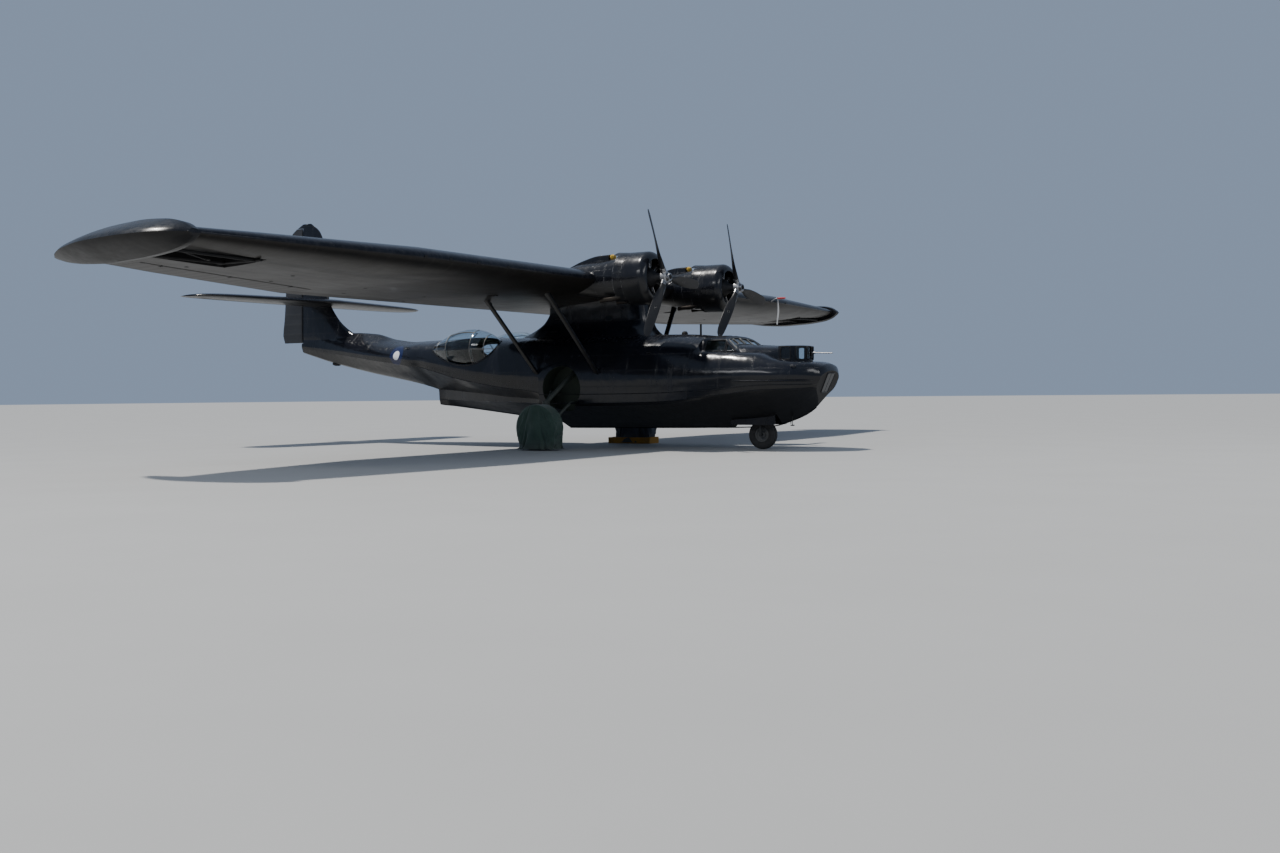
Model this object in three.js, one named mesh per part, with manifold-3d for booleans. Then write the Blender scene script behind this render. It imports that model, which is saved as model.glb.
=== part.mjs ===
// A twin-engine flying boat parked on its own wheels, at full size, in millimetres.
// +X points to the bow, +Y to port and +Z up. The origin is on the ground, under the middle of the length.
// A station is a distance aft of the tip of the bow. Pieces of the port side are mirrored to starboard.

import * as THREE from "three";
import { mergeVertices } from "three/addons/utils/BufferGeometryUtils.js";
import Module from "manifold-3d";

const wasm = await Module();
wasm.setup();

// Driving dimensions
const LENGTH = 19400;
const HALF_SPAN = 15850;
const TOUCH = 0.3; // gap between pieces that touch
const RUNNING = 0.5; // gap between a shaft and its bore
const SIDES = { port: 1, starboard: -1 };

const HULL = {
  endStation: 18450,
  bowSplit: 3250, // bow and cockpit section ends here
  centreSplit: 9000, // centre section ends and the waist begins
  secondStep: 12800,
  wall: 70,
  bowFloor: 1560,
  waistFloor: 1800,
};

const WING = {
  kinkY: 9100, // the chord is constant inboard of this
  joinY: 5500, // where the outer panels bolt on
  tipY: 14900,
  camber: 0.02,
};

const ENGINE = {
  y: 2075,
  z: 4450,
  cowlRadius: 680,
  lipStation: 3960,
  flapStation: 5040,
  propStation: 3710,
};
const FIRST_BLADE_DEG = { port: -20, starboard: -27 }; // from straight up, towards port

const MAIN_WHEEL = { station: 7350, y: 2510, radius: 597, width: 400 };
const NOSE_WHEEL = { station: 1960, radius: 381, width: 250 };
const MAIN_WELL = { station: 7280, z: 1640, radius: 620, depth: 480 };
const NOSE_WELL = { front: 1400, rear: 2760, halfWidth: 380, top: 1480 };

const FLOAT = { deckY: 14930, hingeY: 12950, hingeZ: 4160, legStations: [6750, 7600], pin: 30, pinSides: 24 };
const FLOAT_BAY = { front: 6600, rear: 7800, innerY: 12750, roof: 4330 };
const CANOPY = { front: 1980, rear: 3240, base: 2540, roof: 2985, wall: 30 };
const WINDSHIELD = { foot: 1990, footZ: 2400, lean: 1.24, frame: 60 };
const BOW_HOUSE = { front: 580, rear: 1250, halfWidth: 570, base: 2275, roof: 2690, wall: 30 };
const BOW_PANE = { front: 0, top: 2040, rear: 420, foot: 1095 };
const BLISTER = { front: 9560, rear: 12250, y: 1080, z: 2790, wall: 12 };
// The hatch of a blister: its angles are above level, and its arms turn on pins held by the glazing.
const HATCH = { front: 10320, rear: 11380, low: -74, high: 64, inset: 45, lap: 6, pin: 15, arm: 40 };
const HARDPOINT = { station: 7350, y: 4500, length: 240, width: 120, depth: 8 };
const SCOOP = { front: 5300, recess: 5380, halfWidth: 150, top: 5110, floor: 4990 };
const PITOT = { y: 8100, z: 4560, tip: 4980, bend: 5270, radius: 14, sleeve: 28 };
const TAIL = { z: 4480 };

// Finishes: colour, roughness, metalness
const FINISHES = {
  paint: [0x101218, 0.25, 0.2],
  blade: [0x2b2d30, 0.5, 0.3],
  steel: [0x8a8c8f, 0.4, 0.8],
  rubber: [0x161616, 0.9, 0],
  glass: [0x9fb6c4, 0.08, 0],
  canvas: [0x2c4239, 0.9, 0],
  red: [0xa01818, 0.7, 0],
  yellow: [0xd8b020, 0.6, 0],
  engine: [0x3a3a3a, 0.6, 0.5],
};
const materials = Object.fromEntries(
  Object.entries(FINISHES).map(([name, [color, roughness, metalness]]) => [
    name,
    new THREE.MeshStandardMaterial({ color, roughness, metalness }),
  ]),
);

const xOf = (station) => LENGTH / 2 - station;
const at = (station, y, z) => new THREE.Vector3(xOf(station), y, z);
const radians = THREE.MathUtils.degToRad;

// Solids: every shape below is a manifold solid, made from three.js geometry by solidOf

function solidOf(geometry) {
  const source = geometry.index ? geometry.toNonIndexed() : geometry;
  const bare = new THREE.BufferGeometry();
  bare.setAttribute("position", source.getAttribute("position").clone());
  const merged = mergeVertices(bare, 1e-3);
  const corners = merged.index.array;
  const kept = [];
  for (let i = 0; i < corners.length; i += 3) {
    const [a, b, c] = corners.slice(i, i + 3);
    if (a !== b && b !== c && c !== a) kept.push(a, b, c);
  }
  const make = (triangles) =>
    new wasm.Manifold(
      new wasm.Mesh({
        numProp: 3,
        vertProperties: merged.attributes.position.array,
        triVerts: new Uint32Array(triangles),
      }),
    );
  const made = make(kept);
  if (made.volume() >= 0) return made;
  return make(kept.reverse());
}

function geometryOf(solid) {
  const mesh = solid.getMesh();
  const geometry = new THREE.BufferGeometry();
  geometry.setAttribute("position", new THREE.BufferAttribute(mesh.vertProperties, 3));
  geometry.setIndex(new THREE.BufferAttribute(mesh.triVerts, 1));
  return geometry;
}

const joined = (...solids) => solids.reduce((sum, next) => sum.add(next));
const cut = (solid, ...tools) => tools.reduce((rest, tool) => rest.subtract(tool), solid);

// The same solid on the other side of the aircraft, or unchanged on the port side.
function onSide(solid, side) {
  if (side > 0) return solid;
  return solidOf(geometryOf(solid).scale(1, -1, 1));
}

function box(low, high) {
  const size = new THREE.Vector3().subVectors(high, low);
  const geometry = new THREE.BoxGeometry(Math.abs(size.x), Math.abs(size.y), Math.abs(size.z));
  const middle = new THREE.Vector3().addVectors(low, high).multiplyScalar(0.5);
  return solidOf(geometry.translate(middle.x, middle.y, middle.z));
}

// A round bar from one point to another, or a cone where the end radius differs.
function bar(from, to, radius, sides = 12, endRadius = radius) {
  const along = new THREE.Vector3().subVectors(to, from);
  const geometry = new THREE.CylinderGeometry(endRadius, radius, along.length(), sides);
  geometry.rotateY(Math.PI / sides); // a flat of the polygon faces down
  const turn = new THREE.Quaternion().setFromUnitVectors(
    new THREE.Vector3(0, 1, 0),
    along.clone().normalize(),
  );
  const middle = new THREE.Vector3().addVectors(from, to).multiplyScalar(0.5);
  return solidOf(geometry.applyQuaternion(turn).translate(middle.x, middle.y, middle.z));
}

// The radius of a faceted bore whose flats clear the corners of a pin inside it.
const boreRadius = (pin, sides) => (pin + RUNNING) / Math.cos(Math.PI / sides);

// A flattened bar, its long side turned fore and aft, as a faired strut has.
function strut(from, to, chord, thickness, sides = 12) {
  const along = new THREE.Vector3().subVectors(to, from);
  const geometry = new THREE.CylinderGeometry(0.5, 0.5, along.length(), sides);
  geometry.scale(thickness, 1, chord);
  const up = along.clone().normalize();
  const aft = new THREE.Vector3(1, 0, 0).projectOnPlane(up).normalize();
  const across = new THREE.Vector3().crossVectors(up, aft);
  geometry.applyMatrix4(new THREE.Matrix4().makeBasis(across, up, aft));
  const middle = new THREE.Vector3().addVectors(from, to).multiplyScalar(0.5);
  return solidOf(geometry.translate(middle.x, middle.y, middle.z));
}

// A body of revolution about a fore-and-aft line; the profile is pairs of station and radius.
function turned(profile, y, z, sides = 24) {
  const points = profile.map(([station, radius]) => new THREE.Vector2(radius, station));
  const geometry = new THREE.LatheGeometry(points, sides);
  return solidOf(geometry.rotateZ(Math.PI / 2).translate(LENGTH / 2, y, z));
}

// A body of revolution about an athwartships line; the profile is pairs of y and radius.
function turnedAcross(profile, station, z, sides = 32) {
  const points = profile.map(([y, radius]) => new THREE.Vector2(radius, y));
  const geometry = new THREE.LatheGeometry(points, sides, Math.PI / sides);
  return solidOf(geometry.translate(xOf(station), 0, z));
}

// The triangles of a flat end, wound as its ring runs.
function capOf(flat) {
  const direction = Math.sign(THREE.ShapeUtils.area(flat));
  return THREE.ShapeUtils.triangulateShape(flat, []).map(([a, b, c]) => {
    const turn = Math.sign(THREE.ShapeUtils.area([flat[a], flat[b], flat[c]]));
    return turn === direction ? [a, b, c] : [a, c, b];
  });
}

// A closed solid through rings of as many points each, with flat ends. The axes name the two
// directions that the ends lie in. The two halves of a ring are split into mirrored triangles.
function loft(rings, axes = ["y", "z"]) {
  const count = rings[0].length;
  const index = [];
  for (let i = 0; i + 1 < rings.length; i++) {
    for (let j = 0; j < count; j++) {
      const a = i * count + j;
      const b = i * count + ((j + 1) % count);
      const c = a + count;
      const d = b + count;
      if (j < count / 2) index.push(a, b, c, b, d, c);
      else index.push(a, b, d, a, d, c);
    }
  }
  const flatten = (ring) => ring.map((p) => new THREE.Vector2(p[axes[0]], p[axes[1]]));
  const last = (rings.length - 1) * count;
  for (const [a, b, c] of capOf(flatten(rings[0]))) index.push(a, c, b);
  for (const [a, b, c] of capOf(flatten(rings.at(-1)))) index.push(last + a, last + b, last + c);
  const geometry = new THREE.BufferGeometry();
  const positions = rings.flat().flatMap((p) => [p.x, p.y, p.z]);
  geometry.setAttribute("position", new THREE.Float32BufferAttribute(positions, 3));
  geometry.setIndex(index);
  return solidOf(geometry);
}

// Straight-line reading of a table whose first column rises.
function readTable(table, value) {
  let i = 0;
  while (i + 2 < table.length && table[i + 1][0] <= value) i++;
  const share = (value - table[i][0]) / (table[i + 1][0] - table[i][0]);
  return table[i].map((number, k) => number + (table[i + 1][k] - number) * share);
}

// Hull
// Each line is one cross-section: its station, then y and z of the keel's height, the lower chine,
// the foot of the side, the upper chine, the widest point, the shoulder, the crown and the deck.
//   station  keel   lower chine    foot          upper chine   widest        shoulder      crown        deck
const HULL_SECTIONS = [
  [0, 1790, 190, 1810, 290, 1850, 350, 1900, 370, 1990, 290, 2080, 150, 2125, 2140],
  [120, 1480, 430, 1580, 520, 1640, 600, 1720, 650, 1920, 540, 2120, 280, 2195, 2215],
  [350, 1190, 680, 1530, 770, 1590, 850, 1680, 900, 1950, 770, 2190, 400, 2255, 2265],
  [700, 930, 900, 1500, 1000, 1570, 1080, 1680, 1130, 1980, 930, 2235, 450, 2268, 2272],
  [1150, 745, 1130, 1490, 1220, 1560, 1290, 1680, 1330, 2000, 1080, 2300, 520, 2330, 2335],
  [1620, 615, 1290, 1470, 1370, 1540, 1420, 1660, 1450, 2020, 1190, 2420, 650, 2520, 2530],
  [2300, 580, 1400, 1400, 1460, 1460, 1500, 1600, 1520, 2030, 1240, 2480, 700, 2530, 2535],
  [3200, 565, 1470, 1300, 1510, 1360, 1540, 1540, 1550, 2040, 1240, 2560, 700, 2535, 2535],
  [3260, 565, 1475, 1290, 1515, 1350, 1543, 1540, 1550, 2040, 1230, 2640, 700, 2945, 3000],
  [4200, 555, 1500, 1200, 1540, 1270, 1555, 1500, 1560, 2060, 1260, 2720, 720, 3010, 3070],
  [6000, 545, 1500, 1160, 1545, 1240, 1558, 1480, 1560, 2080, 1290, 2780, 760, 3040, 3090],
  [8045, 535, 1490, 1160, 1530, 1240, 1545, 1480, 1550, 2100, 1290, 2800, 760, 3050, 3100],
  [8055, 680, 1360, 1230, 1380, 1330, 1500, 1520, 1550, 2100, 1290, 2800, 760, 3050, 3100],
  [9400, 840, 1040, 1270, 1060, 1420, 1460, 1690, 1530, 2150, 1280, 2820, 750, 3065, 3115],
  [10900, 1015, 600, 1310, 620, 1540, 1390, 1930, 1450, 2330, 1220, 2870, 700, 3120, 3185],
  [12200, 1160, 190, 1345, 210, 1630, 1230, 2230, 1290, 2520, 1080, 2920, 600, 3110, 3165],
  [12795, 1220, 40, 1360, 50, 1660, 1130, 2330, 1190, 2590, 1000, 2930, 550, 3090, 3145],
  [12805, 1655, 40, 1660, 60, 1665, 1130, 2330, 1190, 2590, 1000, 2930, 550, 3090, 3145],
  [13600, 1850, 60, 1860, 180, 1890, 1000, 2430, 1050, 2650, 870, 2930, 470, 3080, 3130],
  [14500, 2020, 70, 2035, 190, 2075, 830, 2530, 870, 2730, 700, 2970, 360, 3140, 3220],
  [15300, 2160, 70, 2175, 190, 2215, 660, 2630, 690, 2810, 540, 3050, 260, 3270, 3420],
  [16300, 2360, 60, 2375, 160, 2415, 450, 2760, 470, 2930, 360, 3150, 170, 3340, 3480],
  [17300, 2580, 50, 2595, 120, 2630, 270, 2900, 280, 3030, 220, 3200, 130, 3340, 3460],
  [18450, 2890, 30, 2900, 70, 2930, 120, 3060, 125, 3130, 110, 3220, 90, 3330, 3430],
];

// One closed ring of the hull: up the port side from the keel to the deck, and down to starboard.
function hullRing(station, inset = 0) {
  const [, keel, ...rest] = readTable(HULL_SECTIONS, station);
  const half = [];
  for (let i = 0; i + 1 < rest.length; i += 2) half.push([rest[i], rest[i + 1]]);
  const deck = rest.at(-1);
  const ring = [[0, keel], ...half, [0, deck], ...half.map(([y, z]) => [-y, z]).reverse()];
  const moved = inset === 0 ? ring : insetRing(ring, inset);
  return moved.map(([y, z]) => at(station, y, z));
}

// The ring moved inwards by an even distance, or outwards where that is negative.
function insetRing(ring, distance) {
  return ring.map(([y, z], i) => {
    const [y0, z0] = ring[(i + ring.length - 1) % ring.length];
    const [y1, z1] = ring[(i + 1) % ring.length];
    const before = new THREE.Vector2(y - y0, z - z0).normalize();
    const after = new THREE.Vector2(y1 - y, z1 - z).normalize();
    const inwards = new THREE.Vector2(-(before.y + after.y), before.x + after.x).normalize();
    const spread = Math.max(0.5, inwards.dot(new THREE.Vector2(-before.y, before.x)));
    return [y + (inwards.x * distance) / spread, z + (inwards.y * distance) / spread];
  });
}

function hullBetween(from, to, inset = 0) {
  const inside = HULL_SECTIONS.map(([station]) => station).filter((s) => s > from + 1 && s < to - 1);
  return loft([from, ...inside, to].map((station) => hullRing(station, inset)));
}

// A box that spans the hull between two stations and two heights.
const wholeSpace = (fromStation, toStation, lowZ, highZ, halfWidth = 3000) =>
  box(at(toStation, -halfWidth, lowZ), at(fromStation, halfWidth, highZ));

// Bow enclosure and cockpit canopy: each is a shell with its windows cut, and a glass skin inside it

// Plan of the bow enclosure: straight sides that end in a half circle at the front.
function bowHousePlan(inset) {
  const shape = new THREE.Shape();
  const radius = BOW_HOUSE.halfWidth - inset;
  const centre = BOW_HOUSE.front + BOW_HOUSE.halfWidth;
  const rear = BOW_HOUSE.rear - inset;
  shape.moveTo(xOf(rear), -radius);
  shape.lineTo(xOf(centre), -radius);
  for (let i = 1; i < 14; i++) {
    const angle = -Math.PI / 2 + (Math.PI * i) / 14;
    shape.lineTo(xOf(centre) + radius * Math.cos(angle), radius * Math.sin(angle));
  }
  shape.lineTo(xOf(centre), radius);
  shape.lineTo(xOf(rear), radius);
  return shape;
}

function upright(shape, lowZ, highZ) {
  const settings = { depth: highZ - lowZ, bevelEnabled: false };
  return solidOf(new THREE.ExtrudeGeometry(shape, settings).translate(0, 0, lowZ));
}

// A window opening through a curved wall, seen along a bearing from a centre point.
function windowCutter(centre, bearingDeg, width, lowZ, highZ, reach) {
  const geometry = new THREE.BoxGeometry(reach, width, highZ - lowZ);
  geometry.translate(reach / 2, 0, 0).rotateZ(radians(bearingDeg));
  return solidOf(geometry.translate(centre.x, centre.y, (lowZ + highZ) / 2));
}

const bowWindows = () => {
  const centre = at(BOW_HOUSE.front + BOW_HOUSE.halfWidth, 0, 0);
  const low = BOW_HOUSE.base + 55;
  const high = BOW_HOUSE.roof - 40;
  // Columns: bearing from dead ahead, width
  const windows = [
    [12.5, 190],
    [-12.5, 190],
    [41, 250],
    [-41, 250],
    [81, 250],
    [-81, 250],
  ];
  return windows.map(([bearing, width]) => windowCutter(centre, bearing, width, low, high, 1000));
};

const canopySection = (station, halfBase, halfRoof, roof, inset) => {
  const base = CANOPY.base - 60;
  const half = [
    [halfBase, base],
    [halfBase, CANOPY.base],
    [halfRoof + 60, roof - 110],
    [halfRoof * 0.72, roof - 20],
    [halfRoof * 0.3, roof],
  ];
  const ring = [...half, ...half.map(([y, z]) => [-y, z]).reverse()];
  return insetRing(ring, inset).map(([y, z]) => at(station, y, z));
};

// Columns: station, half width at the base, half width at the roof, height of the roof
const CANOPY_SECTIONS = [
  [CANOPY.front, 970, 800, CANOPY.roof - 20],
  [2250, 1010, 820, CANOPY.roof],
  [CANOPY.rear, 1080, 830, CANOPY.roof],
];

// The rounded deck between the bow enclosure and the windshield.
// Each line is a station, then y and z from the foot of its side to its crown.
const FOREDECK_SECTIONS = [
  [1222, 560, 2240, 550, 2480, 470, 2600, 270, 2672, 0, 2689],
  [1450, 700, 2300, 670, 2480, 550, 2610, 300, 2682, 0, 2700],
  [1750, 850, 2400, 800, 2515, 640, 2640, 340, 2702, 0, 2718],
  [2100, 950, 2440, 890, 2550, 720, 2665, 390, 2722, 0, 2736],
  [2420, 990, 2450, 930, 2570, 750, 2680, 400, 2730, 0, 2742],
];

const foredeckRing = ([station, ...rest]) => {
  const half = [];
  for (let i = 0; i < rest.length; i += 2) half.push([rest[i], rest[i + 1]]);
  const ring = [...half, ...half.slice(0, -1).map(([y, z]) => [-y, z]).reverse()];
  return ring.map(([y, z]) => at(station, y, z));
};

// The station of the windshield's slope at a height.
const windshieldStation = (z) => WINDSHIELD.foot + WINDSHIELD.lean * (z - WINDSHIELD.footZ);

// The canopy's outer or inner form: its front is cut back along the windshield's slope.
function canopyShell(inset, rearMargin) {
  const slope = inset * Math.hypot(1, WINDSHIELD.lean);
  const behindWindshield = sideWindow([
    [windshieldStation(2300) + slope, 2300],
    [windshieldStation(3100) + slope, 3100],
    [3400, 3100],
    [3400, 2300],
  ]);
  const body = loft(
    CANOPY_SECTIONS.map(([station, base, roof, height], i) => {
      const shift = i === CANOPY_SECTIONS.length - 1 ? -rearMargin : 0;
      return canopySection(station + shift, base, roof, height, inset);
    }),
  );
  return body.intersect(behindWindshield);
}

// A pane opening cut straight across both sides: corners are pairs of station and height.
function sideWindow(corners) {
  const shape = new THREE.Shape(corners.map(([station, z]) => new THREE.Vector2(xOf(station), z)));
  const geometry = new THREE.ExtrudeGeometry(shape, { depth: 3000, bevelEnabled: false });
  return solidOf(geometry.rotateX(Math.PI / 2).translate(0, 1500, 0));
}

// A pane opening cut straight fore and aft through the port half of the windshield: corners are y and height.
function frontWindow(corners) {
  const shape = new THREE.Shape(corners.map(([y, z]) => new THREE.Vector2(y, z)));
  const geometry = new THREE.ExtrudeGeometry(shape, { depth: 900, bevelEnabled: false });
  return solidOf(geometry.rotateX(Math.PI / 2).rotateZ(Math.PI / 2).translate(xOf(2800), 0, 0));
}

function canopyWindows() {
  const low = CANOPY.base + 25;
  const post = 2500;
  const peak = WINDSHIELD.footZ + (post - WINDSHIELD.frame - WINDSHIELD.foot) / WINDSHIELD.lean;
  const quarter = [
    [windshieldStation(low) + WINDSHIELD.frame, low],
    [post, low],
    [post, peak],
  ];
  const rear = [
    [2560, low],
    [3120, low],
    [3120, 2850],
    [2560, 2850],
  ];
  const pane = frontWindow([
    [45, 2775],
    [400, 2765],
    [740, 2715],
    [890, 2610],
    [700, 2890],
    [45, 2925],
  ]);
  const hatch = box(at(3180, 120, 2900), at(2790, 560, 3100));
  return [sideWindow(quarter), sideWindow(rear), pane, onSide(pane, -1), hatch, onSide(hatch, -1)];
}

// Wing

// One airfoil ring, from the trailing edge over the top to the leading edge and back underneath.
const CHORD_SHARES = [1, 0.8, 0.6, 0.4, 0.22, 0.1, 0.025];
function airfoilRing(place, chord, thickness, camber) {
  const halfThickness = (x) =>
    5 * thickness * (0.2969 * Math.sqrt(x) - 0.126 * x - 0.3516 * x ** 2 + 0.2843 * x ** 3 - 0.1015 * x ** 4);
  const camberAt = (x) => 4 * camber * x * (1 - x);
  const upper = CHORD_SHARES.map((x) => [x, camberAt(x) + halfThickness(x)]);
  const lower = CHORD_SHARES.map((x) => [x, camberAt(x) - halfThickness(x)]).reverse();
  return [...upper, [0, 0], ...lower].map(([x, z]) => place(x * chord, z * chord));
}

// Columns: y, station of the leading edge, its height, chord, drop of the trailing edge, thickness share
const WING_SECTIONS = [
  [0, 5480, 4480, 4570, 560, 0.155],
  [WING.kinkY, 5480, 4480, 4570, 560, 0.15],
  [13300, 5900, 4470, 3420, 420, 0.14],
  [WING.tipY, 6120, 4480, 2800, 380, 0.13],
];

function wingRing(y) {
  const [, leading, height, chord, drop, thickness] = readTable(WING_SECTIONS, Math.abs(y));
  const place = (along, above) => at(leading + along, y, height - (drop * along) / chord + above);
  return airfoilRing(place, chord, thickness, WING.camber);
}

function wingBetween(from, to) {
  const inside = WING_SECTIONS.map(([y]) => y).filter((y) => y > from + 1 && y < to - 1);
  return loft([from, ...inside, to].map(wingRing), ["x", "z"]);
}
// The centre panel is one half and its mirror image, so that both sides are cut alike.
const wingCentre = joined(wingBetween(0, WING.joinY), onSide(wingBetween(0, WING.joinY), -1));

// Control surfaces: each hangs on bearings, brackets of the fixed part that carry a pin through a slot
// in its nose.
const HINGE = { gap: 45, endGap: 12, pinBehind: 30, pin: 14, slot: 64, plate: 40, nose: 95, recede: 110 };

// Everything aft of a line between two points, as a prism. Its front is flat over the given half
// height, and slopes back from there so that a moving part clears the fixed one when it turns.
function behindLine(from, to, shift, axis, flatHalf = 470, recede = 30) {
  const back = shift + recede;
  const corners = [
    [shift, -flatHalf],
    [back, -500],
    [shift + 4000, -500],
    [shift + 4000, 500],
    [back, 500],
    [shift, flatHalf],
  ];
  const aside = axis === "y" ? new THREE.Vector3(0, 0, 1) : new THREE.Vector3(0, 1, 0);
  const ring = (p) =>
    corners.map(([aft, off]) => new THREE.Vector3(p.x - aft, p.y, p.z).addScaledVector(aside, off));
  return loft([ring(from), ring(to)], axis === "y" ? ["x", "z"] : ["x", "y"]);
}

// Splits a solid at a hinge line into the fixed part and the moving part, with a bearing at each share
// of the line's length. The axis names the direction that the line runs in.
function hingedPair(whole, from, to, axis, shares) {
  const step = new THREE.Vector3().subVectors(to, from).normalize();
  const along = (point, distance) => point.clone().addScaledVector(step, distance);
  let fixed = cut(whole, behindLine(from, to, -HINGE.gap, axis));
  const ends = [along(from, HINGE.endGap), along(to, -HINGE.endGap)];
  const zone = behindLine(...ends, 0, axis, HINGE.nose, HINGE.recede);
  let moving = whole.intersect(zone);
  // A box about a point: reach ahead and behind, half length along the line, half height across it
  const block = (point, ahead, behind, half, across) => {
    const low = new THREE.Vector3(point.x - behind, point.y - across, point.z - across);
    const high = new THREE.Vector3(point.x + ahead, point.y + across, point.z + across);
    low[axis] = point[axis] - half;
    high[axis] = point[axis] + half;
    return box(low, high);
  };
  const shaft = (point, half, radius) => {
    const centre = point.clone().add(new THREE.Vector3(-HINGE.pinBehind, 0, 0));
    return bar(along(centre, -half), along(centre, half), radius, 12);
  };
  for (const share of shares) {
    const point = new THREE.Vector3().lerpVectors(from, to, share);
    const slot = block(point, 60, 130, HINGE.slot / 2, 400);
    const bracket = block(point, HINGE.gap + 60, 60, HINGE.plate / 2, 26);
    moving = cut(moving, slot, shaft(point, 72, boreRadius(HINGE.pin, 12)));
    fixed = joined(fixed, bracket, shaft(point, 70, HINGE.pin));
  }
  return { fixed, moving };
}

// Wing-tip floats, folded up and out so that their decks close the wing tips.
// Columns: station, half height of the deck, y of the chine, half height there, y of the keel
const FLOAT_SECTIONS = [
  [5970, 50, 15080, 70, 15200],
  [6200, 190, 15100, 210, 15480],
  [6600, 270, 15150, 300, 15690],
  [7300, 310, 15180, 345, 15820],
  [8000, 310, 15180, 340, HALF_SPAN],
  [8800, 240, 15150, 265, 15690],
  [9400, 130, 15100, 150, 15420],
  [9780, 30, 15040, 40, 15150],
];
const floatRise = (station) => 4450 - 0.062 * (station - 5970) + 30 * Math.sin((station - 5970) / 1200);

function floatSolid() {
  return loft(
    FLOAT_SECTIONS.map(([station, deckHalf, chineY, chineHalf, keelY]) => {
      const z = floatRise(station);
      return [
        [FLOAT.deckY, -deckHalf],
        [chineY, -chineHalf],
        [(chineY + keelY) / 2, -chineHalf * 0.82],
        [keelY, 0],
        [(chineY + keelY) / 2, chineHalf * 0.82],
        [chineY, chineHalf],
        [FLOAT.deckY, deckHalf],
      ].map(([y, rise]) => at(station, y, z + rise));
    }),
  );
}

// The frame that carries a float: two legs in a shallow bay under the wing, hinged at their inner ends
// on a pin that runs from one end wall of the bay to the other.
const floatPin = (overrun, radius) =>
  bar(
    at(FLOAT_BAY.front - overrun, FLOAT.hingeY, FLOAT.hingeZ),
    at(FLOAT_BAY.rear + overrun, FLOAT.hingeY, FLOAT.hingeZ),
    radius,
    FLOAT.pinSides,
  );

function floatFrame() {
  const legs = FLOAT.legStations.map((station) =>
    strut(
      at(station, FLOAT.hingeY, FLOAT.hingeZ),
      at(station, FLOAT.deckY + 20, floatRise(station) - 220),
      110,
      60,
      8,
    ),
  );
  return joined(...legs, floatPin(40, FLOAT.pin));
}

function floatBay() {
  const space = box(
    at(FLOAT_BAY.rear, FLOAT_BAY.innerY, 3000),
    at(FLOAT_BAY.front, FLOAT.deckY, FLOAT_BAY.roof),
  );
  return joined(space, floatPin(42, boreRadius(FLOAT.pin, FLOAT.pinSides)));
}

// Height of the wing's lower surface at a station and a distance from the centreline.
function wingUnderside(station, y) {
  const ring = wingRing(y);
  const lower = ring.slice(CHORD_SHARES.length);
  const x = xOf(station);
  for (let i = 0; i + 1 < lower.length; i++) {
    const [a, b] = [lower[i], lower[i + 1]];
    if (x <= a.x && x >= b.x) return a.z + ((b.z - a.z) * (a.x - x)) / (a.x - b.x);
  }
  return lower[0].z;
}

// Group and placing

const aircraft = new THREE.Group();
function add(name, solid, finish) {
  const mesh = new THREE.Mesh(geometryOf(solid), materials[finish]);
  mesh.name = name;
  aircraft.add(mesh);
}

// Hull pieces

const blisterProfile = (share) => Math.sin(Math.PI * share ** 0.78) ** 0.85 * 590;
const BLISTER_STEPS = 8;
function blisterBody(outset, front = 0, rear = 1) {
  const length = BLISTER.rear - BLISTER.front;
  const profile = [];
  for (let i = 0; i <= BLISTER_STEPS; i++) {
    const share = front + ((rear - front) * i) / BLISTER_STEPS;
    const radius = Math.max(0, blisterProfile(share) + outset);
    profile.push([BLISTER.front + length * share, radius]);
  }
  const ends = [profile[0][0], profile.at(-1)[0]];
  return turned([[ends[0], 0], ...profile, [ends[1], 0]], BLISTER.y, BLISTER.z, 22);
}

const blisterOpening = blisterBody(-22, 0.04, 0.93);

const noseWell = wholeSpace(NOSE_WELL.front, NOSE_WELL.rear, 0, NOSE_WELL.top, NOSE_WELL.halfWidth);
const mainWell = bar(
  at(MAIN_WELL.station, 1560 - MAIN_WELL.depth, MAIN_WELL.z),
  at(MAIN_WELL.station, 1800, MAIN_WELL.z),
  MAIN_WELL.radius,
  28,
);

// The outer form of each hull piece, before it is hollowed.
const hullOutside = {
  bow: hullBetween(0, HULL.bowSplit),
  centre: hullBetween(HULL.bowSplit + TOUCH, HULL.centreSplit),
  waist: hullBetween(HULL.centreSplit + TOUCH, HULL.secondStep + 5),
  tail: hullBetween(HULL.secondStep + 5 + TOUCH, HULL.endStation),
};
// The hull with its joints filled, to cut what sits on it.
const hullFilled = joined(
  hullOutside.bow,
  hullOutside.centre,
  hullOutside.waist,
  hullOutside.tail,
  hullBetween(HULL.centreSplit - 1, HULL.centreSplit + 1),
);

// Everything ahead of the flat pane in the stem, through which the bow crew member looks down.
const aheadOfPane = () =>
  sideWindow([
    [-500, BOW_PANE.top],
    [BOW_PANE.front, BOW_PANE.top],
    [BOW_PANE.rear, BOW_PANE.foot],
    [BOW_PANE.rear, 800],
    [-500, 800],
  ]);

function hullBow() {
  const rear = HULL.bowSplit - 90;
  const hollow = hullBetween(320, rear, HULL.wall).intersect(
    wholeSpace(320, rear, HULL.bowFloor, 2480),
  );
  const bowHatch = upright(bowHousePlan(BOW_HOUSE.wall + 60), HULL.bowFloor, 2900);
  const cockpitHatch = box(at(3180, -800, 2000), at(1800, 800, 2900));
  return cut(hullOutside.bow, hollow, bowHatch, cockpitHatch, noseWell, aheadOfPane());
}

function hullWaist() {
  const front = HULL.centreSplit + 90;
  const rear = HULL.secondStep + 6;
  const hollow = hullBetween(front, rear, HULL.wall).intersect(
    wholeSpace(front, rear, HULL.waistFloor, 3300),
  );
  return cut(hullOutside.waist, hollow, blisterOpening, onSide(blisterOpening, -1));
}

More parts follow.
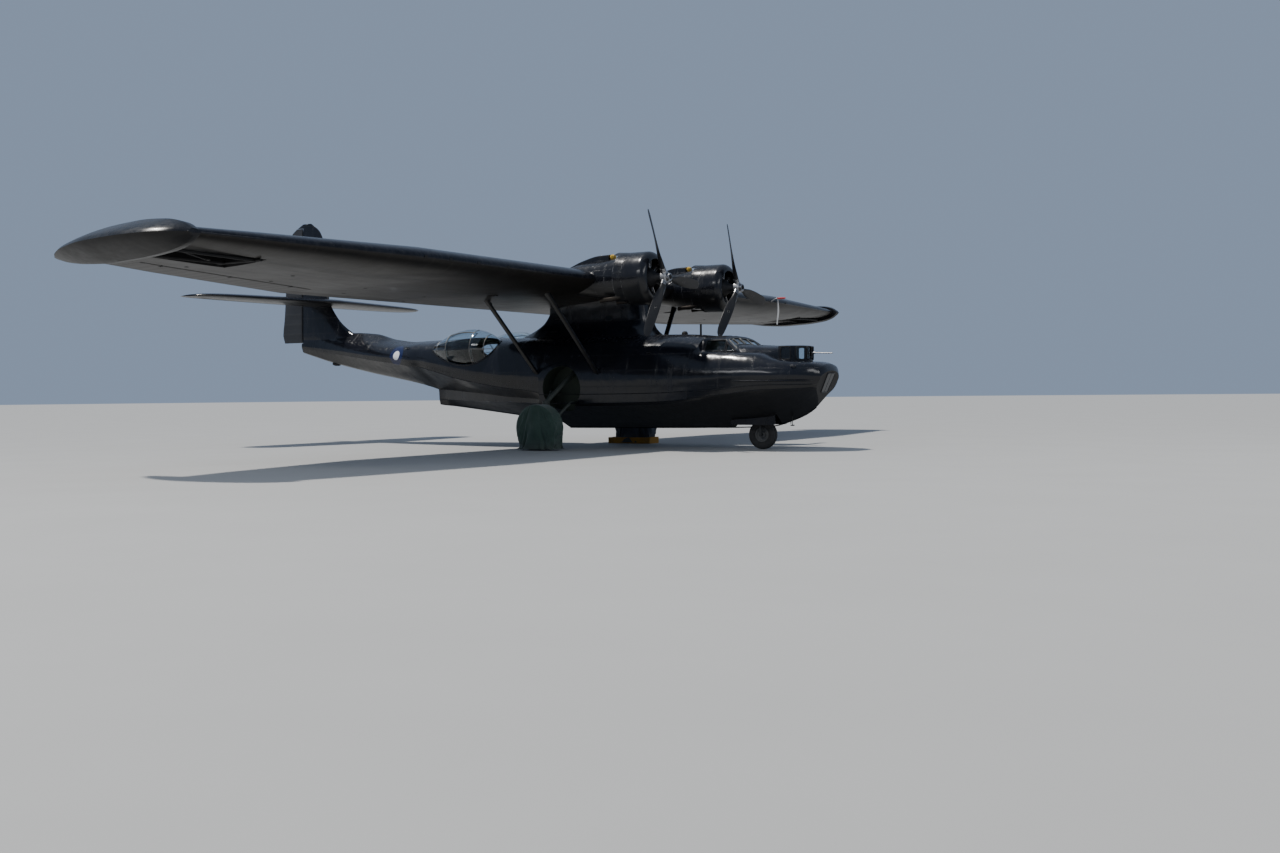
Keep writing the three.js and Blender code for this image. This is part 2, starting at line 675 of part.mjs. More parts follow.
function hullTail() {
  const front = HULL.secondStep + 5;
  const hollow = hullBetween(front, 17300, HULL.wall - 10).intersect(
    wholeSpace(front - 1, 17300, 1000, 3120),
  );
  const rudderNotch = wholeSpace(RUDDER.hingeStation - HINGE.gap, 19000, RUDDER.foot - HINGE.endGap, 4000);
  return cut(hullOutside.tail, hollow, rudderNotch);
}

// Pylon between the hull and the wing.
// Columns: height, station of the front, station of the rear, half width
const PYLON_SECTIONS = [
  [3000, 4900, 10000, 900],
  [3120, 5100, 9700, 800],
  [3300, 5260, 9250, 640],
  [3550, 5340, 8860, 560],
  [3830, 5380, 8700, 560],
  [4300, 5420, 8700, 600],
];

function pylonRing([z, front, rear, half]) {
  const steps = 7;
  const ring = [];
  const shape = (share) => half * Math.min(1, Math.sin(Math.PI * share ** 0.62) ** 0.6 + 0.02);
  for (let i = 0; i <= steps; i++) ring.push([i / steps, 1]);
  for (let i = steps - 1; i > 0; i--) ring.push([i / steps, -1]);
  return ring.map(([share, side]) => at(front + (rear - front) * share, side * shape(share), z));
}

function buildHull() {
  add("hull_bow", hullBow(), "paint");
  add("hull_centre", cut(hullOutside.centre, mainWell, onSide(mainWell, -1)), "paint");
  add("hull_waist", hullWaist(), "paint");
  add("hull_tail", hullTail(), "paint");
  const pylon = cut(
    loft(PYLON_SECTIONS.map(pylonRing), ["x", "y"]),
    raised(hullFilled),
    lowered(wingCentre),
  );
  add("pylon", largest(pylon), "paint");
}

// The same solid moved a little, to cut its neighbour clear of it by the touching gap.
const moved = (solid, x, y, z) => solidOf(geometryOf(solid).translate(x, y, z));
const raised = (solid) => moved(solid, 0, 0, TOUCH);
const lowered = (solid) => moved(solid, 0, 0, -TOUCH);

// The biggest of the bodies that a cut has left.
function largest(solid) {
  return solid.decompose().reduce((best, body) => (body.volume() > best.volume() ? body : best));
}

function buildBowHouse() {
  const { base, roof, wall } = BOW_HOUSE;
  const behind = moved(canopyShell(0, 0), TOUCH, 0, 0);
  const outside = joined(
    upright(bowHousePlan(0), base - 120, roof),
    loft(FOREDECK_SECTIONS.map(foredeckRing)),
  );
  const inside = upright(bowHousePlan(wall), base - 200, roof - wall);
  const shell = cut(outside, inside, ...bowWindows(), raised(hullOutside.bow), behind);
  add("bow_enclosure", largest(shell), "paint");
  const glassOutside = upright(bowHousePlan(wall + TOUCH), base - 100, roof - wall - TOUCH);
  const glassInside = upright(bowHousePlan(wall + 8), base - 200, roof - wall - 8);
  const glass = cut(glassOutside, glassInside, raised(hullOutside.bow), behind);
  add("bow_glazing", largest(glass), "glass");
}

function buildCanopy() {
  const { wall } = CANOPY;
  const seat = raised(hullOutside.bow);
  const shell = cut(canopyShell(0, 0), canopyShell(wall, wall), ...canopyWindows(), seat);
  add("cockpit_canopy", largest(shell), "paint");
  const glass = cut(canopyShell(wall + TOUCH, wall + 2), canopyShell(wall + 8, wall + 10), seat);
  add("cockpit_glazing", largest(glass), "glass");
}

// The space between two angles above level, seen from a blister's centre line, and two stations.
function sector(lowDeg, highDeg, fromStation, toStation) {
  const steps = 8;
  const ring = (station) => {
    const arc = Array.from({ length: steps + 1 }, (_, i) => {
      const angle = radians(lowDeg + ((highDeg - lowDeg) * i) / steps);
      return at(station, BLISTER.y + 900 * Math.cos(angle), BLISTER.z + 900 * Math.sin(angle));
    });
    return [at(station, BLISTER.y, BLISTER.z), ...arc];
  };
  return loft([ring(fromStation), ring(toStation)]);
}

// The arms of one end of a hatch: the one that turns with it, and the fixed one with the pin.
function hatchArms(end, way) {
  const { pin, arm } = HATCH;
  const reach = blisterProfile((end - BLISTER.front) / (BLISTER.rear - BLISTER.front));
  const centre = (station) => at(station, BLISTER.y, BLISTER.z);
  const plate = (from, to, outer) => {
    const low = at(Math.max(from, to), BLISTER.y, BLISTER.z - arm);
    const high = at(Math.min(from, to), BLISTER.y + outer, BLISTER.z + arm);
    return joined(box(low, high), bar(centre(from), centre(to), arm, 16));
  };
  const bore = bar(centre(end - 40), centre(end + 40), boreRadius(pin, 16), 16);
  const turning = cut(plate(end + way * 5, end + way * 20, reach - HATCH.inset - 6), bore);
  const fixed = joined(
    plate(end - way * 20, end - way * 40, reach - 16),
    bar(centre(end - way * 40), centre(end + way * 22), pin, 16),
  );
  return { turning, fixed };
}

// Waist blisters: a glazed shell on each side, and a hatch that turns up and inwards inside it.
function buildBlisters() {
  const seat = moved(joined(hullOutside.centre, hullOutside.waist), 0, TOUCH, TOUCH);
  const inboard = box(at(13000, -500, 1500), at(9000, 400, 4200));
  const shell = cut(blisterBody(0), blisterBody(-BLISTER.wall, 0.02, 0.97));
  const { front, rear, low, high, inset, lap } = HATCH;
  const opening = sector(low + lap, high - lap, front + 60, rear - 60);
  const inner = cut(blisterBody(-inset), blisterBody(-inset - BLISTER.wall));
  const arms = [hatchArms(front, 1), hatchArms(rear, -1)];
  const hatch = joined(inner.intersect(sector(low, high, front, rear)), ...arms.map((one) => one.turning));
  const glass = joined(largest(cut(shell, seat, inboard, opening)), ...arms.map((one) => one.fixed));
  for (const [name, side] of Object.entries(SIDES)) {
    add("blister_glass_" + name, onSide(glass, side), "glass");
    add("blister_hatch_" + name, onSide(largest(hatch), side), "glass");
  }
}

// Wing, ailerons, floats
const AILERON = { innerY: 9160, outerY: 14300, share: 0.78 };

function chordPoint(y, share) {
  const [, leading, height, chord, drop] = readTable(WING_SECTIONS, y);
  const rise = 4 * WING.camber * chord * share * (1 - share);
  return at(leading + chord * share, y, height - drop * share + rise);
}

// A flat pad under the wing, for whatever is hung there.
function hardpoint() {
  const { station, y, length, width, depth } = HARDPOINT;
  const ends = [-1, 1].map((end) => wingUnderside(station + (end * length) / 2, y));
  const low = at(station + length / 2, y - width / 2, Math.min(...ends) - depth);
  return box(low, at(station - length / 2, y + width / 2, Math.max(...ends) + 60));
}

function buildWing() {
  add("wing_centre", joined(wingCentre, hardpoint(), onSide(hardpoint(), -1)), "paint");
  for (const [name, side] of Object.entries(SIDES)) {
    const panel = wingBetween(WING.joinY + TOUCH, WING.tipY);
    const from = chordPoint(AILERON.innerY, AILERON.share);
    const to = chordPoint(AILERON.outerY, AILERON.share);
    const pair = hingedPair(panel, from, to, "y", [0.12, 0.5, 0.88]);
    add("wing_" + name, onSide(cut(pair.fixed, floatBay()), side), "paint");
    add("aileron_" + name, onSide(pair.moving, side), "paint");
    add("float_" + name, onSide(joined(floatSolid(), floatFrame()), side), "paint");
  }
}

// Tail
// Columns: height, station of the leading edge, station of the trailing edge, thickness share
const FIN_SECTIONS = [
  [3260, 15500, 19330, 0.09],
  [3480, 16300, LENGTH, 0.1],
  [4000, 16980, 19330, 0.1],
  [4600, 17330, 19270, 0.1],
  [5600, 17450, 19190, 0.09],
  [6350, 17500, 19080, 0.085],
  [6800, 17690, 18900, 0.08],
  [7080, 18060, 18420, 0.08],
];

function finRing([z, front, rear, thickness]) {
  return airfoilRing((along, aside) => at(front + along, aside, z), rear - front, thickness, 0);
}

// Columns: y, station of the leading edge, chord, thickness share
const TAILPLANE_SECTIONS = [
  [0, 16780, 2220, 0.11],
  [2200, 17080, 1930, 0.11],
  [4200, 17380, 1570, 0.1],
  [4650, 17560, 1240, 0.09],
  [4850, 17900, 620, 0.09],
];

function tailplaneRing([y, front, chord, thickness]) {
  return airfoilRing((along, above) => at(front + along, y, TAIL.z + above), chord, thickness, 0);
}

const RUDDER = { hingeStation: 18440, foot: 3215, head: 6950, bearings: [0.12, 0.86] };
const ELEVATOR = { hingeStation: 18020, innerY: 330, outerY: 4560, bearings: [0.15, 0.85] };

function buildTail() {
  const fin = loft(FIN_SECTIONS.map(finRing), ["x", "y"]);
  const half = loft(TAILPLANE_SECTIONS.map(tailplaneRing), ["x", "z"]);
  const rudderFoot = at(RUDDER.hingeStation, 0, RUDDER.foot);
  const rudderHead = at(RUDDER.hingeStation, 0, RUDDER.head);
  const vertical = hingedPair(fin, rudderFoot, rudderHead, "z", RUDDER.bearings);
  const inner = at(ELEVATOR.hingeStation, ELEVATOR.innerY, TAIL.z);
  const outer = at(ELEVATOR.hingeStation, ELEVATOR.outerY, TAIL.z);
  const level = hingedPair(half, inner, outer, "y", ELEVATOR.bearings);
  const rudderSpace = box(
    at(20000, -ELEVATOR.innerY - 12, 4000),
    at(ELEVATOR.hingeStation - HINGE.gap, ELEVATOR.innerY + 12, 5000),
  );
  const fixedHalf = cut(level.fixed, rudderSpace);
  const finFixed = largest(cut(vertical.fixed, raised(hullOutside.tail)));
  const tailplane = cut(
    joined(fixedHalf, onSide(fixedHalf, -1)),
    moved(finFixed, 0, TOUCH, 0),
    moved(finFixed, 0, -TOUCH, 0),
    moved(finFixed, TOUCH, 0, 0),
  );
  add("fin", finFixed, "paint");
  add("tailplane", largest(tailplane), "paint");
  add("rudder", largest(cut(vertical.moving, raised(hullOutside.tail))), "paint");
  for (const [name, side] of Object.entries(SIDES)) {
    add("elevator_" + name, onSide(largest(level.moving), side), "paint");
  }
}

// Nacelles, engines and propellers

function buildNacelles() {
  const { y, z, cowlRadius, lipStation, flapStation, propStation } = ENGINE;
  const outer = [
    [lipStation, cowlRadius - 190],
    [lipStation + 30, cowlRadius - 90],
    [lipStation + 320, cowlRadius],
    [flapStation, cowlRadius],
    [flapStation, cowlRadius - 25],
    [lipStation + 320, cowlRadius - 25],
    [lipStation + 60, cowlRadius - 190],
    [lipStation, cowlRadius - 190],
  ];
  // Columns: station, radius across, top above the engine line, bottom below it
  const body = [
    [5100, 540, 520, 540],
    [5480, 540, 515, 510],
    [6140, 490, 470, 400],
    [6760, 380, 310, 300],
    [7300, 120, 120, 120],
  ];
  const bodyRing = ([station, half, top, bottom]) => {
    const sides = 16;
    return Array.from({ length: sides }, (_, i) => {
      const angle = (2 * Math.PI * i) / sides;
      const rise = Math.cos(angle);
      return at(station, y + half * Math.sin(angle), z + rise * (rise > 0 ? top : bottom));
    });
  };
  // Air scoop on top. Columns: station, half width, top
  const scoop = [
    [SCOOP.front, SCOOP.halfWidth, SCOOP.top],
    [5600, SCOOP.halfWidth, SCOOP.top - 8],
    [6140, 120, 4995],
    [6700, 60, 4800],
  ];
  const scoopRing = ([station, half, top]) => [
    at(station, y + half, 4700),
    at(station, y + half, top - 40),
    at(station, y + half - 40, top),
    at(station, y - half + 40, top),
    at(station, y - half, top - 40),
    at(station, y - half, 4700),
  ];
  const mouth = box(
    at(SCOOP.recess, y - SCOOP.halfWidth + 30, SCOOP.floor),
    at(SCOOP.front - 60, y + SCOOP.halfWidth - 30, SCOOP.top - 25),
  );
  const fairing = cut(
    joined(loft(body.map(bodyRing)), loft(scoop.map(scoopRing))),
    mouth,
    raised(wingCentre),
    lowered(wingCentre),
    moved(wingCentre, TOUCH, 0, 0),
  );
  const mount = turned(
    [
      [flapStation + 60 - TOUCH, 0],
      [flapStation + 60 - TOUCH, 540],
      [flapStation - 320, 540],
      [flapStation - 320, 0],
    ],
    y,
    z,
    24,
  );
  const block = (extra) =>
    turned(
      [
        [propStation + 90, 0],
        [propStation + 90, 80],
        [lipStation + 130, 330],
        [lipStation + 260, 600 + extra],
        [flapStation - 320, 600 + extra],
        [flapStation - 320, 0],
      ],
      y,
      z,
      24,
    );
  const shaft = turned(
    [
      [propStation - 60, 0],
      [propStation - 60, 45],
      [propStation + 95, 45],
      [propStation + 95, 0],
    ],
    y,
    z,
    24,
  );
  for (const [name, side] of Object.entries(SIDES)) {
    const ears = [0, 120, 240].map((deg) => {
      const inner = at(lipStation + 480, y + 590 * Math.sin(radians(deg)), z + 590 * Math.cos(radians(deg)));
      const outerPoint = at(
        lipStation + 480,
        y + (cowlRadius - 10) * Math.sin(radians(deg)),
        z + (cowlRadius - 10) * Math.cos(radians(deg)),
      );
      return bar(inner, outerPoint, 20, 8);
    });
    const cowl = turned(outer, y, z, 28);
    add("cowling_" + name, onSide(cut(joined(cowl, ...ears), block(TOUCH)), side), "paint");
    add("engine_" + name, onSide(joined(block(0), mount, shaft), side), "engine");
    add("nacelle_" + name, onSide(largest(fairing), side), "paint");
    add("intake_plug_" + name, onSide(intakePlug(), side), "yellow");
    add("propeller_" + name, propeller(name), "blade");
  }
}

// A soft plug that closes the air scoop, its wider head outside.
function intakePlug() {
  const { y } = ENGINE;
  const { front, recess, halfWidth, top, floor } = SCOOP;
  const head = box(
    at(front - TOUCH, y - halfWidth + 10, floor - 15),
    at(front - 95, y + halfWidth - 10, top - 2),
  );
  const body = box(
    at(recess - TOUCH, y - halfWidth + 30 + TOUCH, floor + TOUCH),
    at(front - 1, y + halfWidth - 30 - TOUCH, top - 25 - TOUCH),
  );
  return joined(head, body);
}

// Columns: radius, chord, thickness, pitch in degrees
const BLADE_SECTIONS = [
  [110, 130, 130, 60],
  [330, 150, 120, 52],
  [650, 290, 70, 40],
  [1150, 330, 40, 28],
  [1700, 260, 24, 21],
  [1830, 90, 14, 20],
];

function blade() {
  const sides = 8;
  const rings = BLADE_SECTIONS.map(([radius, chord, thickness, pitch]) => {
    const turn = radians(pitch);
    return Array.from({ length: sides }, (_, i) => {
      const angle = (2 * Math.PI * i) / sides;
      const along = (chord / 2) * Math.cos(angle);
      const off = (thickness / 2) * Math.sin(angle);
      return new THREE.Vector3(
        -(along * Math.sin(turn) + off * Math.cos(turn)),
        along * Math.cos(turn) - off * Math.sin(turn),
        radius,
      );
    });
  });
  return geometryOf(loft(rings, ["x", "y"]));
}

function propeller(name) {
  const { y, z, propStation } = ENGINE;
  const blades = [0, 120, 240].map((deg) => {
    // A blade starts straight up and leans towards port as its angle grows
    const geometry = blade().rotateX(-radians(FIRST_BLADE_DEG[name] + deg));
    return solidOf(geometry.translate(xOf(propStation), SIDES[name] * y, z));
  });
  const hub = turned(
    [
      [propStation - 260, 0],
      [propStation - 250, 60],
      [propStation - 190, 95],
      [propStation - 90, 100],
      [propStation - 80, 150],
      [propStation + 80, 150],
      [propStation + 85, 60],
      [propStation + 85, 0],
    ],
    SIDES[name] * y,
    z,
    24,
  );
  const bore = turned(
    [
      [propStation - 65, 0],
      [propStation - 65, 45 + RUNNING],
      [propStation + 90, 45 + RUNNING],
      [propStation + 90, 0],
    ],
    SIDES[name] * y,
    z,
    24,
  );
  return cut(joined(hub, ...blades), bore);
}

// Wing struts, in pairs to the hull's sides

function buildStruts() {
  const seat = moved(hullFilled, 0, TOUCH, 0);
  // Columns: name, upper station, upper y, lower station, lower y, lower z
  const struts = [
    ["front", 6480, 3380, 6120, 1470, 1960],
    ["rear", 8300, 3560, 8120, 1470, 2010],
  ];
  for (const [name, side] of Object.entries(SIDES)) {
    for (const [place, upperStation, upperY, lowerStation, lowerY, lowerZ] of struts) {
      const top = at(upperStation, upperY, wingUnderside(upperStation, upperY) + 60);
      const made = strut(top, at(lowerStation, lowerY, lowerZ), 150, 60, 12);
      const body = largest(cut(made, lowered(wingCentre), seat));
      add("strut_" + place + "_" + name, onSide(body, side), "paint");
    }
  }
}

// Landing gear

function tyreProfile({ radius, width }, middle) {
  const half = width / 2;
  const rim = radius * 0.5;
  return [
    [middle - half * 0.62, rim],
    [middle - half, rim + (radius - rim) * 0.3],
    [middle - half, radius * 0.86],
    [middle - half * 0.5, radius],
    [middle + half * 0.5, radius],
    [middle + half, radius * 0.86],
    [middle + half, rim + (radius - rim) * 0.3],
    [middle + half * 0.62, rim],
    [middle - half * 0.62, rim],
  ];
}

function hubProfile({ radius, width }, middle, bore) {
  const rim = radius * 0.5 - TOUCH;
  const half = width * 0.3;
  return [
    [middle - half, bore],
    [middle - half * 0.5, rim * 0.8],
    [middle - half, rim],
    [middle + half, rim],
    [middle + half * 0.5, rim * 0.8],
    [middle + half, bore],
    [middle - half, bore],
  ];
}

// A polygon's flats lie inside its circle, so the radius is grown until the lowest flat is true.
const WHEEL_SIDES = 28;
const flatGrown = (wheel) => ({ ...wheel, radius: wheel.radius / Math.cos(Math.PI / WHEEL_SIDES) });

function wheelPieces(wheel, y, axleRadius) {
  const grown = flatGrown(wheel);
  const tyre = turnedAcross(tyreProfile(grown, y), wheel.station, wheel.radius, WHEEL_SIDES);
  const rim = hubProfile(grown, y, axleRadius + RUNNING);
  const hub = turnedAcross(rim, wheel.station, wheel.radius, WHEEL_SIDES);
  return { tyre, hub };
}

function buildMainGear() {
  const seat = moved(cut(hullOutside.centre, mainWell), 0, TOUCH, 0);
  const wheel = MAIN_WHEEL;
  for (const [name, side] of Object.entries(SIDES)) {
    const { tyre, hub } = wheelPieces(wheel, wheel.y, 50);
    add("main_tyre_" + name, onSide(tyre, side), "rubber");
    add("main_hub_" + name, onSide(hub, side), "steel");
    add("main_leg_" + name, onSide(largest(cut(mainLeg(0), seat)), side), "paint");
    add("wheel_cover_" + name, onSide(cut(wheelCover(), mainLeg(TOUCH)), side), "canvas");
  }
  add("wheel_chock_port", wheelChock(), "yellow");
}

// The main leg: an axle, an upright and a slanting arm into the well, with a link and a drag strut.
// The extra is added all round, to cut a neighbour clear of it.
function mainLeg(extra) {
  const { station, y, radius } = MAIN_WHEEL;
  const inner = at(station, y - 330, radius);
  const outer = at(station, y + 140, radius);
  const elbow = at(7380, 2190, 1250);
  const foot = at(7340, 2160, 620);
  // Columns: from, to, radius, sides
  const bars = [
    [inner, outer, 50, WHEEL_SIDES],
    [inner, elbow, 75, 12],
    [elbow, at(7200, 1040, 2090), 60, 12],
    [at(7660, 1500, 1550), at(7390, 2180, 1200), 35, 8],
    [at(7660, 1040, 1550), at(7660, 1520, 1550), 40, 8],
    [at(7020, 1500, 1250), foot, 40, 8],
    [at(7020, 1040, 1250), at(7020, 1520, 1250), 40, 8],
  ];
  const made = bars.map(([from, to, size, sides]) => {
    const step = new THREE.Vector3().subVectors(to, from).setLength(extra);
    return bar(from.clone().sub(step), to.clone().add(step), size + extra, sides);
  });
  return joined(...made);
}

// A canvas bag drawn down over the wheel, open below and slit on its inner side for the leg.
function wheelCover() {
  const wheel = MAIN_WHEEL;
  const thickness = 8;
  const outline = (inset) => {
    const shape = new THREE.Shape();
    const half = 700 - inset;
    const top = 1270 - inset;
    const shoulder = 620;
    shape.moveTo(-half, 40);
    shape.lineTo(-half, shoulder);
    const steps = 12;
    for (let i = 1; i < steps; i++) {
      const angle = Math.PI - (Math.PI * i) / steps;
      shape.lineTo(half * Math.cos(angle), shoulder + (top - shoulder) * Math.sin(angle));
    }
    shape.lineTo(half, shoulder);
    shape.lineTo(half, 40);
    return shape;
  };
  const slab = (inset, halfWidth, lowZ) => {
    const geometry = new THREE.ExtrudeGeometry(outline(inset), { depth: 2 * halfWidth, bevelEnabled: false });
    geometry.rotateX(Math.PI / 2).translate(xOf(wheel.station), wheel.y + halfWidth, lowZ);
    return solidOf(geometry);
  };
  return cut(slab(0, 300, 0), slab(thickness, 300 - thickness, -thickness - 40));
}

// A rail along the wheel's inner side, with a wedge before the tyre and one behind it.
function wheelChock() {
  const { station, y } = MAIN_WHEEL;
  const wedge = (way) => {
    const outline = [
      [670, 0],
      [670, 190],
      [590, 190],
      [250, 35],
      [250, 0],
    ].map(([reach, z]) => [station + way * reach, z]);
    return moved(sideWindow(way > 0 ? outline.reverse() : outline), 0, y, 0);
  };
  // The wedges stand inside the wheel's cover, and a low strip of each passes under its hem to the rail
  const underCover = box(at(station + 2000, y - 285, 0), at(station - 2000, y + 200, 500));
  const lowStrip = box(at(station + 2000, y - 400, 0), at(station - 2000, y + 200, 34));
  const wedges = joined(wedge(1), wedge(-1)).intersect(joined(underCover, lowStrip));
  const rail = box(at(station + 720, y - 430, 0), at(station - 720, y - 300 - TOUCH, 180));
  return joined(wedges, rail);
}

function buildNoseGear() {
  const wheel = NOSE_WHEEL;
  const { tyre, hub } = wheelPieces(wheel, 0, 32);
  add("nose_tyre", tyre, "rubber");
  add("nose_hub", hub, "steel");
  const half = wheel.width / 2 + 40;
  const crown = wheel.radius * 2 + 70;
  const outside = half + 20;
  const foot = wheel.radius - 45;
  const fork = joined(
    bar(at(wheel.station, -outside, wheel.radius), at(wheel.station, outside, wheel.radius), 32, WHEEL_SIDES),
    box(at(wheel.station + 45, -outside, foot), at(wheel.station - 45, -half + 10, crown + 60)),
    box(at(wheel.station + 45, half - 10, foot), at(wheel.station - 45, outside, crown + 60)),
    box(at(wheel.station + 60, -outside, crown), at(wheel.station - 60, outside, crown + 60)),
    bar(at(wheel.station, 0, crown + 30), at(wheel.station, 0, 1180), 45, 24),
  );
  add("nose_fork", fork, "paint");
  const sleeve = cut(
    joined(
      bar(at(wheel.station, 0, 930), at(wheel.station, 0, NOSE_WELL.top - TOUCH), 75, 24),
      bar(at(2600, 0, NOSE_WELL.top - TOUCH - 60), at(wheel.station + 20, 0, 1010), 35, 8),
      box(at(2700, -120, NOSE_WELL.top - TOUCH - 60), at(2400, 120, NOSE_WELL.top - TOUCH)),
    ),
    bar(at(wheel.station, 0, 900), at(wheel.station, 0, 1181), 45 + RUNNING, 24),
  );
  add("nose_leg", sleeve, "paint");
  for (const [name, side] of Object.entries(SIDES)) {
    const door = box(
      at(NOSE_WELL.rear - 20, NOSE_WELL.halfWidth - 30, 640),
      at(NOSE_WELL.front + 20, NOSE_WELL.halfWidth - TOUCH, 1000),
    );
    add("nose_door_" + name, onSide(door, side), "paint");
  }
}

// Small fittings that show: the bow barrel, the deck mast, and the pitot tube with its red cover

function buildFittings() {
  const barrel = joined(
    bar(at(640, 0, 2500), at(1, 0, 2475), 16, 10),
    bar(at(640, 0, 2500), at(480, 0, 2494), 28, 10),
  );
  const front = upright(bowHousePlan(0), 2200, 2700);
  add("bow_barrel", cut(barrel, moved(front, TOUCH, 0, 0)), "steel");
  const mast = strut(at(3790, 0, 3030), at(3790, 0, 3340), 60, 24, 8);
  add("deck_mast", cut(mast, raised(hullOutside.centre)), "paint");

  const { y, z, tip, bend, radius, sleeve } = PITOT;
  const tube = joined(
    bar(at(bend + 20, y, z), at(tip, y, z), radius, 12),
    bar(at(bend, y, z), at(5540, y, 4440), radius + 4, 12),
  );
  const panel = wingBetween(WING.joinY + TOUCH, WING.tipY);
  add("pitot_tube", largest(cut(tube, moved(panel, TOUCH, 0, 0), raised(panel))), "steel");
  const cover = joined(
    bar(at(bend - 30, y, z), at(tip - 30, y, z), sleeve, 12),
    box(at(bend - 40, y - 30, 3700), at(bend - 48, y + 30, z - sleeve + 12)),
  );
  const inside = bar(at(bend + 100, y, z), at(tip - TOUCH, y, z), boreRadius(radius, 12), 12);
  add("pitot_cover", cut(cover, inside), "red");
}

buildHull();
buildBowHouse();
buildCanopy();
buildBlisters();
buildWing();
buildTail();
buildNacelles();
buildStruts();
buildMainGear();
buildNoseGear();
buildFittings();

export default aircraft;
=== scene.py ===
"""A twin-engine flying boat parked on its own wheels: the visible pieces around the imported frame.

Lengths are in metres, with +X to the bow, +Y to port and +Z up. A station is a distance aft of the tip
of the bow. Each sub-assembly is a class whose fields are its sizes and whose build method makes it.
"""

import logging
import math
import time
from dataclasses import dataclass
from enum import Enum
from typing import Any, ClassVar, Iterable, Sequence

import bmesh
import bpy
import numpy as np
from mathutils import Matrix, Vector


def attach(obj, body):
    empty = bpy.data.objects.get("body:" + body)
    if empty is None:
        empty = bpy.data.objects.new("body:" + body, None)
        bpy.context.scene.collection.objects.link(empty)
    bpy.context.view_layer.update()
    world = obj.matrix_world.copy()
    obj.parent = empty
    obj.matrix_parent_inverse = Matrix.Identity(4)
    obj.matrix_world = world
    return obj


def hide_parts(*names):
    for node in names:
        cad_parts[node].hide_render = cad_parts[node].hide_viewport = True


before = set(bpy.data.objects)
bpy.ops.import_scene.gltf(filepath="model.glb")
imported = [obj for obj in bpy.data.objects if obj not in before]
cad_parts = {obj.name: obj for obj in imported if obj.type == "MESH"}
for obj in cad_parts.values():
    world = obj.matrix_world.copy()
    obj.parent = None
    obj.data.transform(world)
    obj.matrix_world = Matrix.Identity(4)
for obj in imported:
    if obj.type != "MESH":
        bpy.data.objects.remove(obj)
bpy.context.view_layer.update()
log = logging.getLogger("flying_boat")

Array = np.ndarray
HALF_LENGTH = 9.7
SIDES = {"port": 1.0, "starboard": -1.0}
MIRROR = np.array([1.0, -1.0, 1.0])
FLIP = np.array([-1.0, 1.0])
ENGINE_Y, ENGINE_Z = 2.075, 4.45


class Axis(Enum):
    """The axis that a body of revolution turns about."""

    X = 0
    Y = 1
    Z = 2


# Numbers and curves


def x_of(station: float | Array) -> float | Array:
    """The X of a station."""
    return HALF_LENGTH - station


def at(station: float, y: float, z: float) -> Array:
    """The point at a station, a distance to port and a height."""
    return np.array([HALF_LENGTH - station, y, z], float)


def upright(outline: Sequence[Sequence[float]], y: float | Sequence[float]) -> Array:
    """The points of an outline of stations and heights, at one distance to port or one for each."""
    p = np.array(outline, float)
    return np.stack([x_of(p[:, 0]), np.broadcast_to(y, len(p)), p[:, 1]], axis=1)


def monotone(table: Array, where: Array) -> Array:
    """Reads a table's columns along its first one, smoothly and with no overshoot.

    Between two rows each column is the cubic whose slopes at the rows are the harmonic means of the
    straight slopes on either side, or zero where those differ in sign.

    Args:
        table: rows of numbers, the first column rising.
        where: the values of the first column to read at.

    Returns:
        An array with one row for each value and the table's other columns.
    """
    x, y = table[:, 0], table[:, 1:]
    step = np.diff(x)[:, None]
    slope = np.diff(y, axis=0) / step
    product = slope[:-1] * slope[1:]
    total = slope[:-1] + slope[1:]
    inner = np.where(product > 0, 2 * product / np.where(total == 0, 1, total), 0)
    knots = np.vstack([slope[:1], inner, slope[-1:]])
    i = np.clip(np.searchsorted(x, where, side="right") - 1, 0, len(x) - 2)
    h = step[i]
    t = (where[:, None] - x[i][:, None]) / h
    t2, t3 = t * t, t * t * t
    return (
        (2 * t3 - 3 * t2 + 1) * y[i]
        + (t3 - 2 * t2 + t) * h * knots[i]
        + (3 * t2 - 2 * t3) * y[i + 1]
        + (t3 - t2) * h * knots[i + 1]
    )


def straight(table: Array, where: Array) -> Array:
    """Reads a table's columns along its first one by straight lines between its rows."""
    return np.stack([np.interp(where, table[:, 0], column) for column in table[:, 1:].T], axis=1)


def smooth_run(points: Array, steps: int, before: Array, after: Array) -> Array:
    """A smooth curve through points, each point a column of positions in the second axis.

    Between two points the curve is the cubic whose tangent at each is half the way from its
    neighbour before to its neighbour after.

    Args:
        points: shape (rows, points, 2).
        steps: samples for each stretch.
        before: the imagined point before the first, shape (rows, 2).
        after: the imagined point after the last, shape (rows, 2).

    Returns:
        Shape (rows, samples, 2), from the first point to the last.
    """
    p = np.concatenate([before[:, None], points, after[:, None]], axis=1)
    t = np.linspace(0, 1, steps, endpoint=False)[None, None, :, None]
    a, b, c, d = (p[:, k : p.shape[1] - 3 + k, None, :] for k in range(4))
    curve = 0.5 * (
        2 * b
        + (c - a) * t
        + (2 * a - 5 * b + 4 * c - d) * t**2
        + (3 * b - a - 3 * c + d) * t**3
    )
    rows = len(points)
    return np.concatenate([curve.reshape(rows, -1, 2), points[:, -1:]], axis=1)


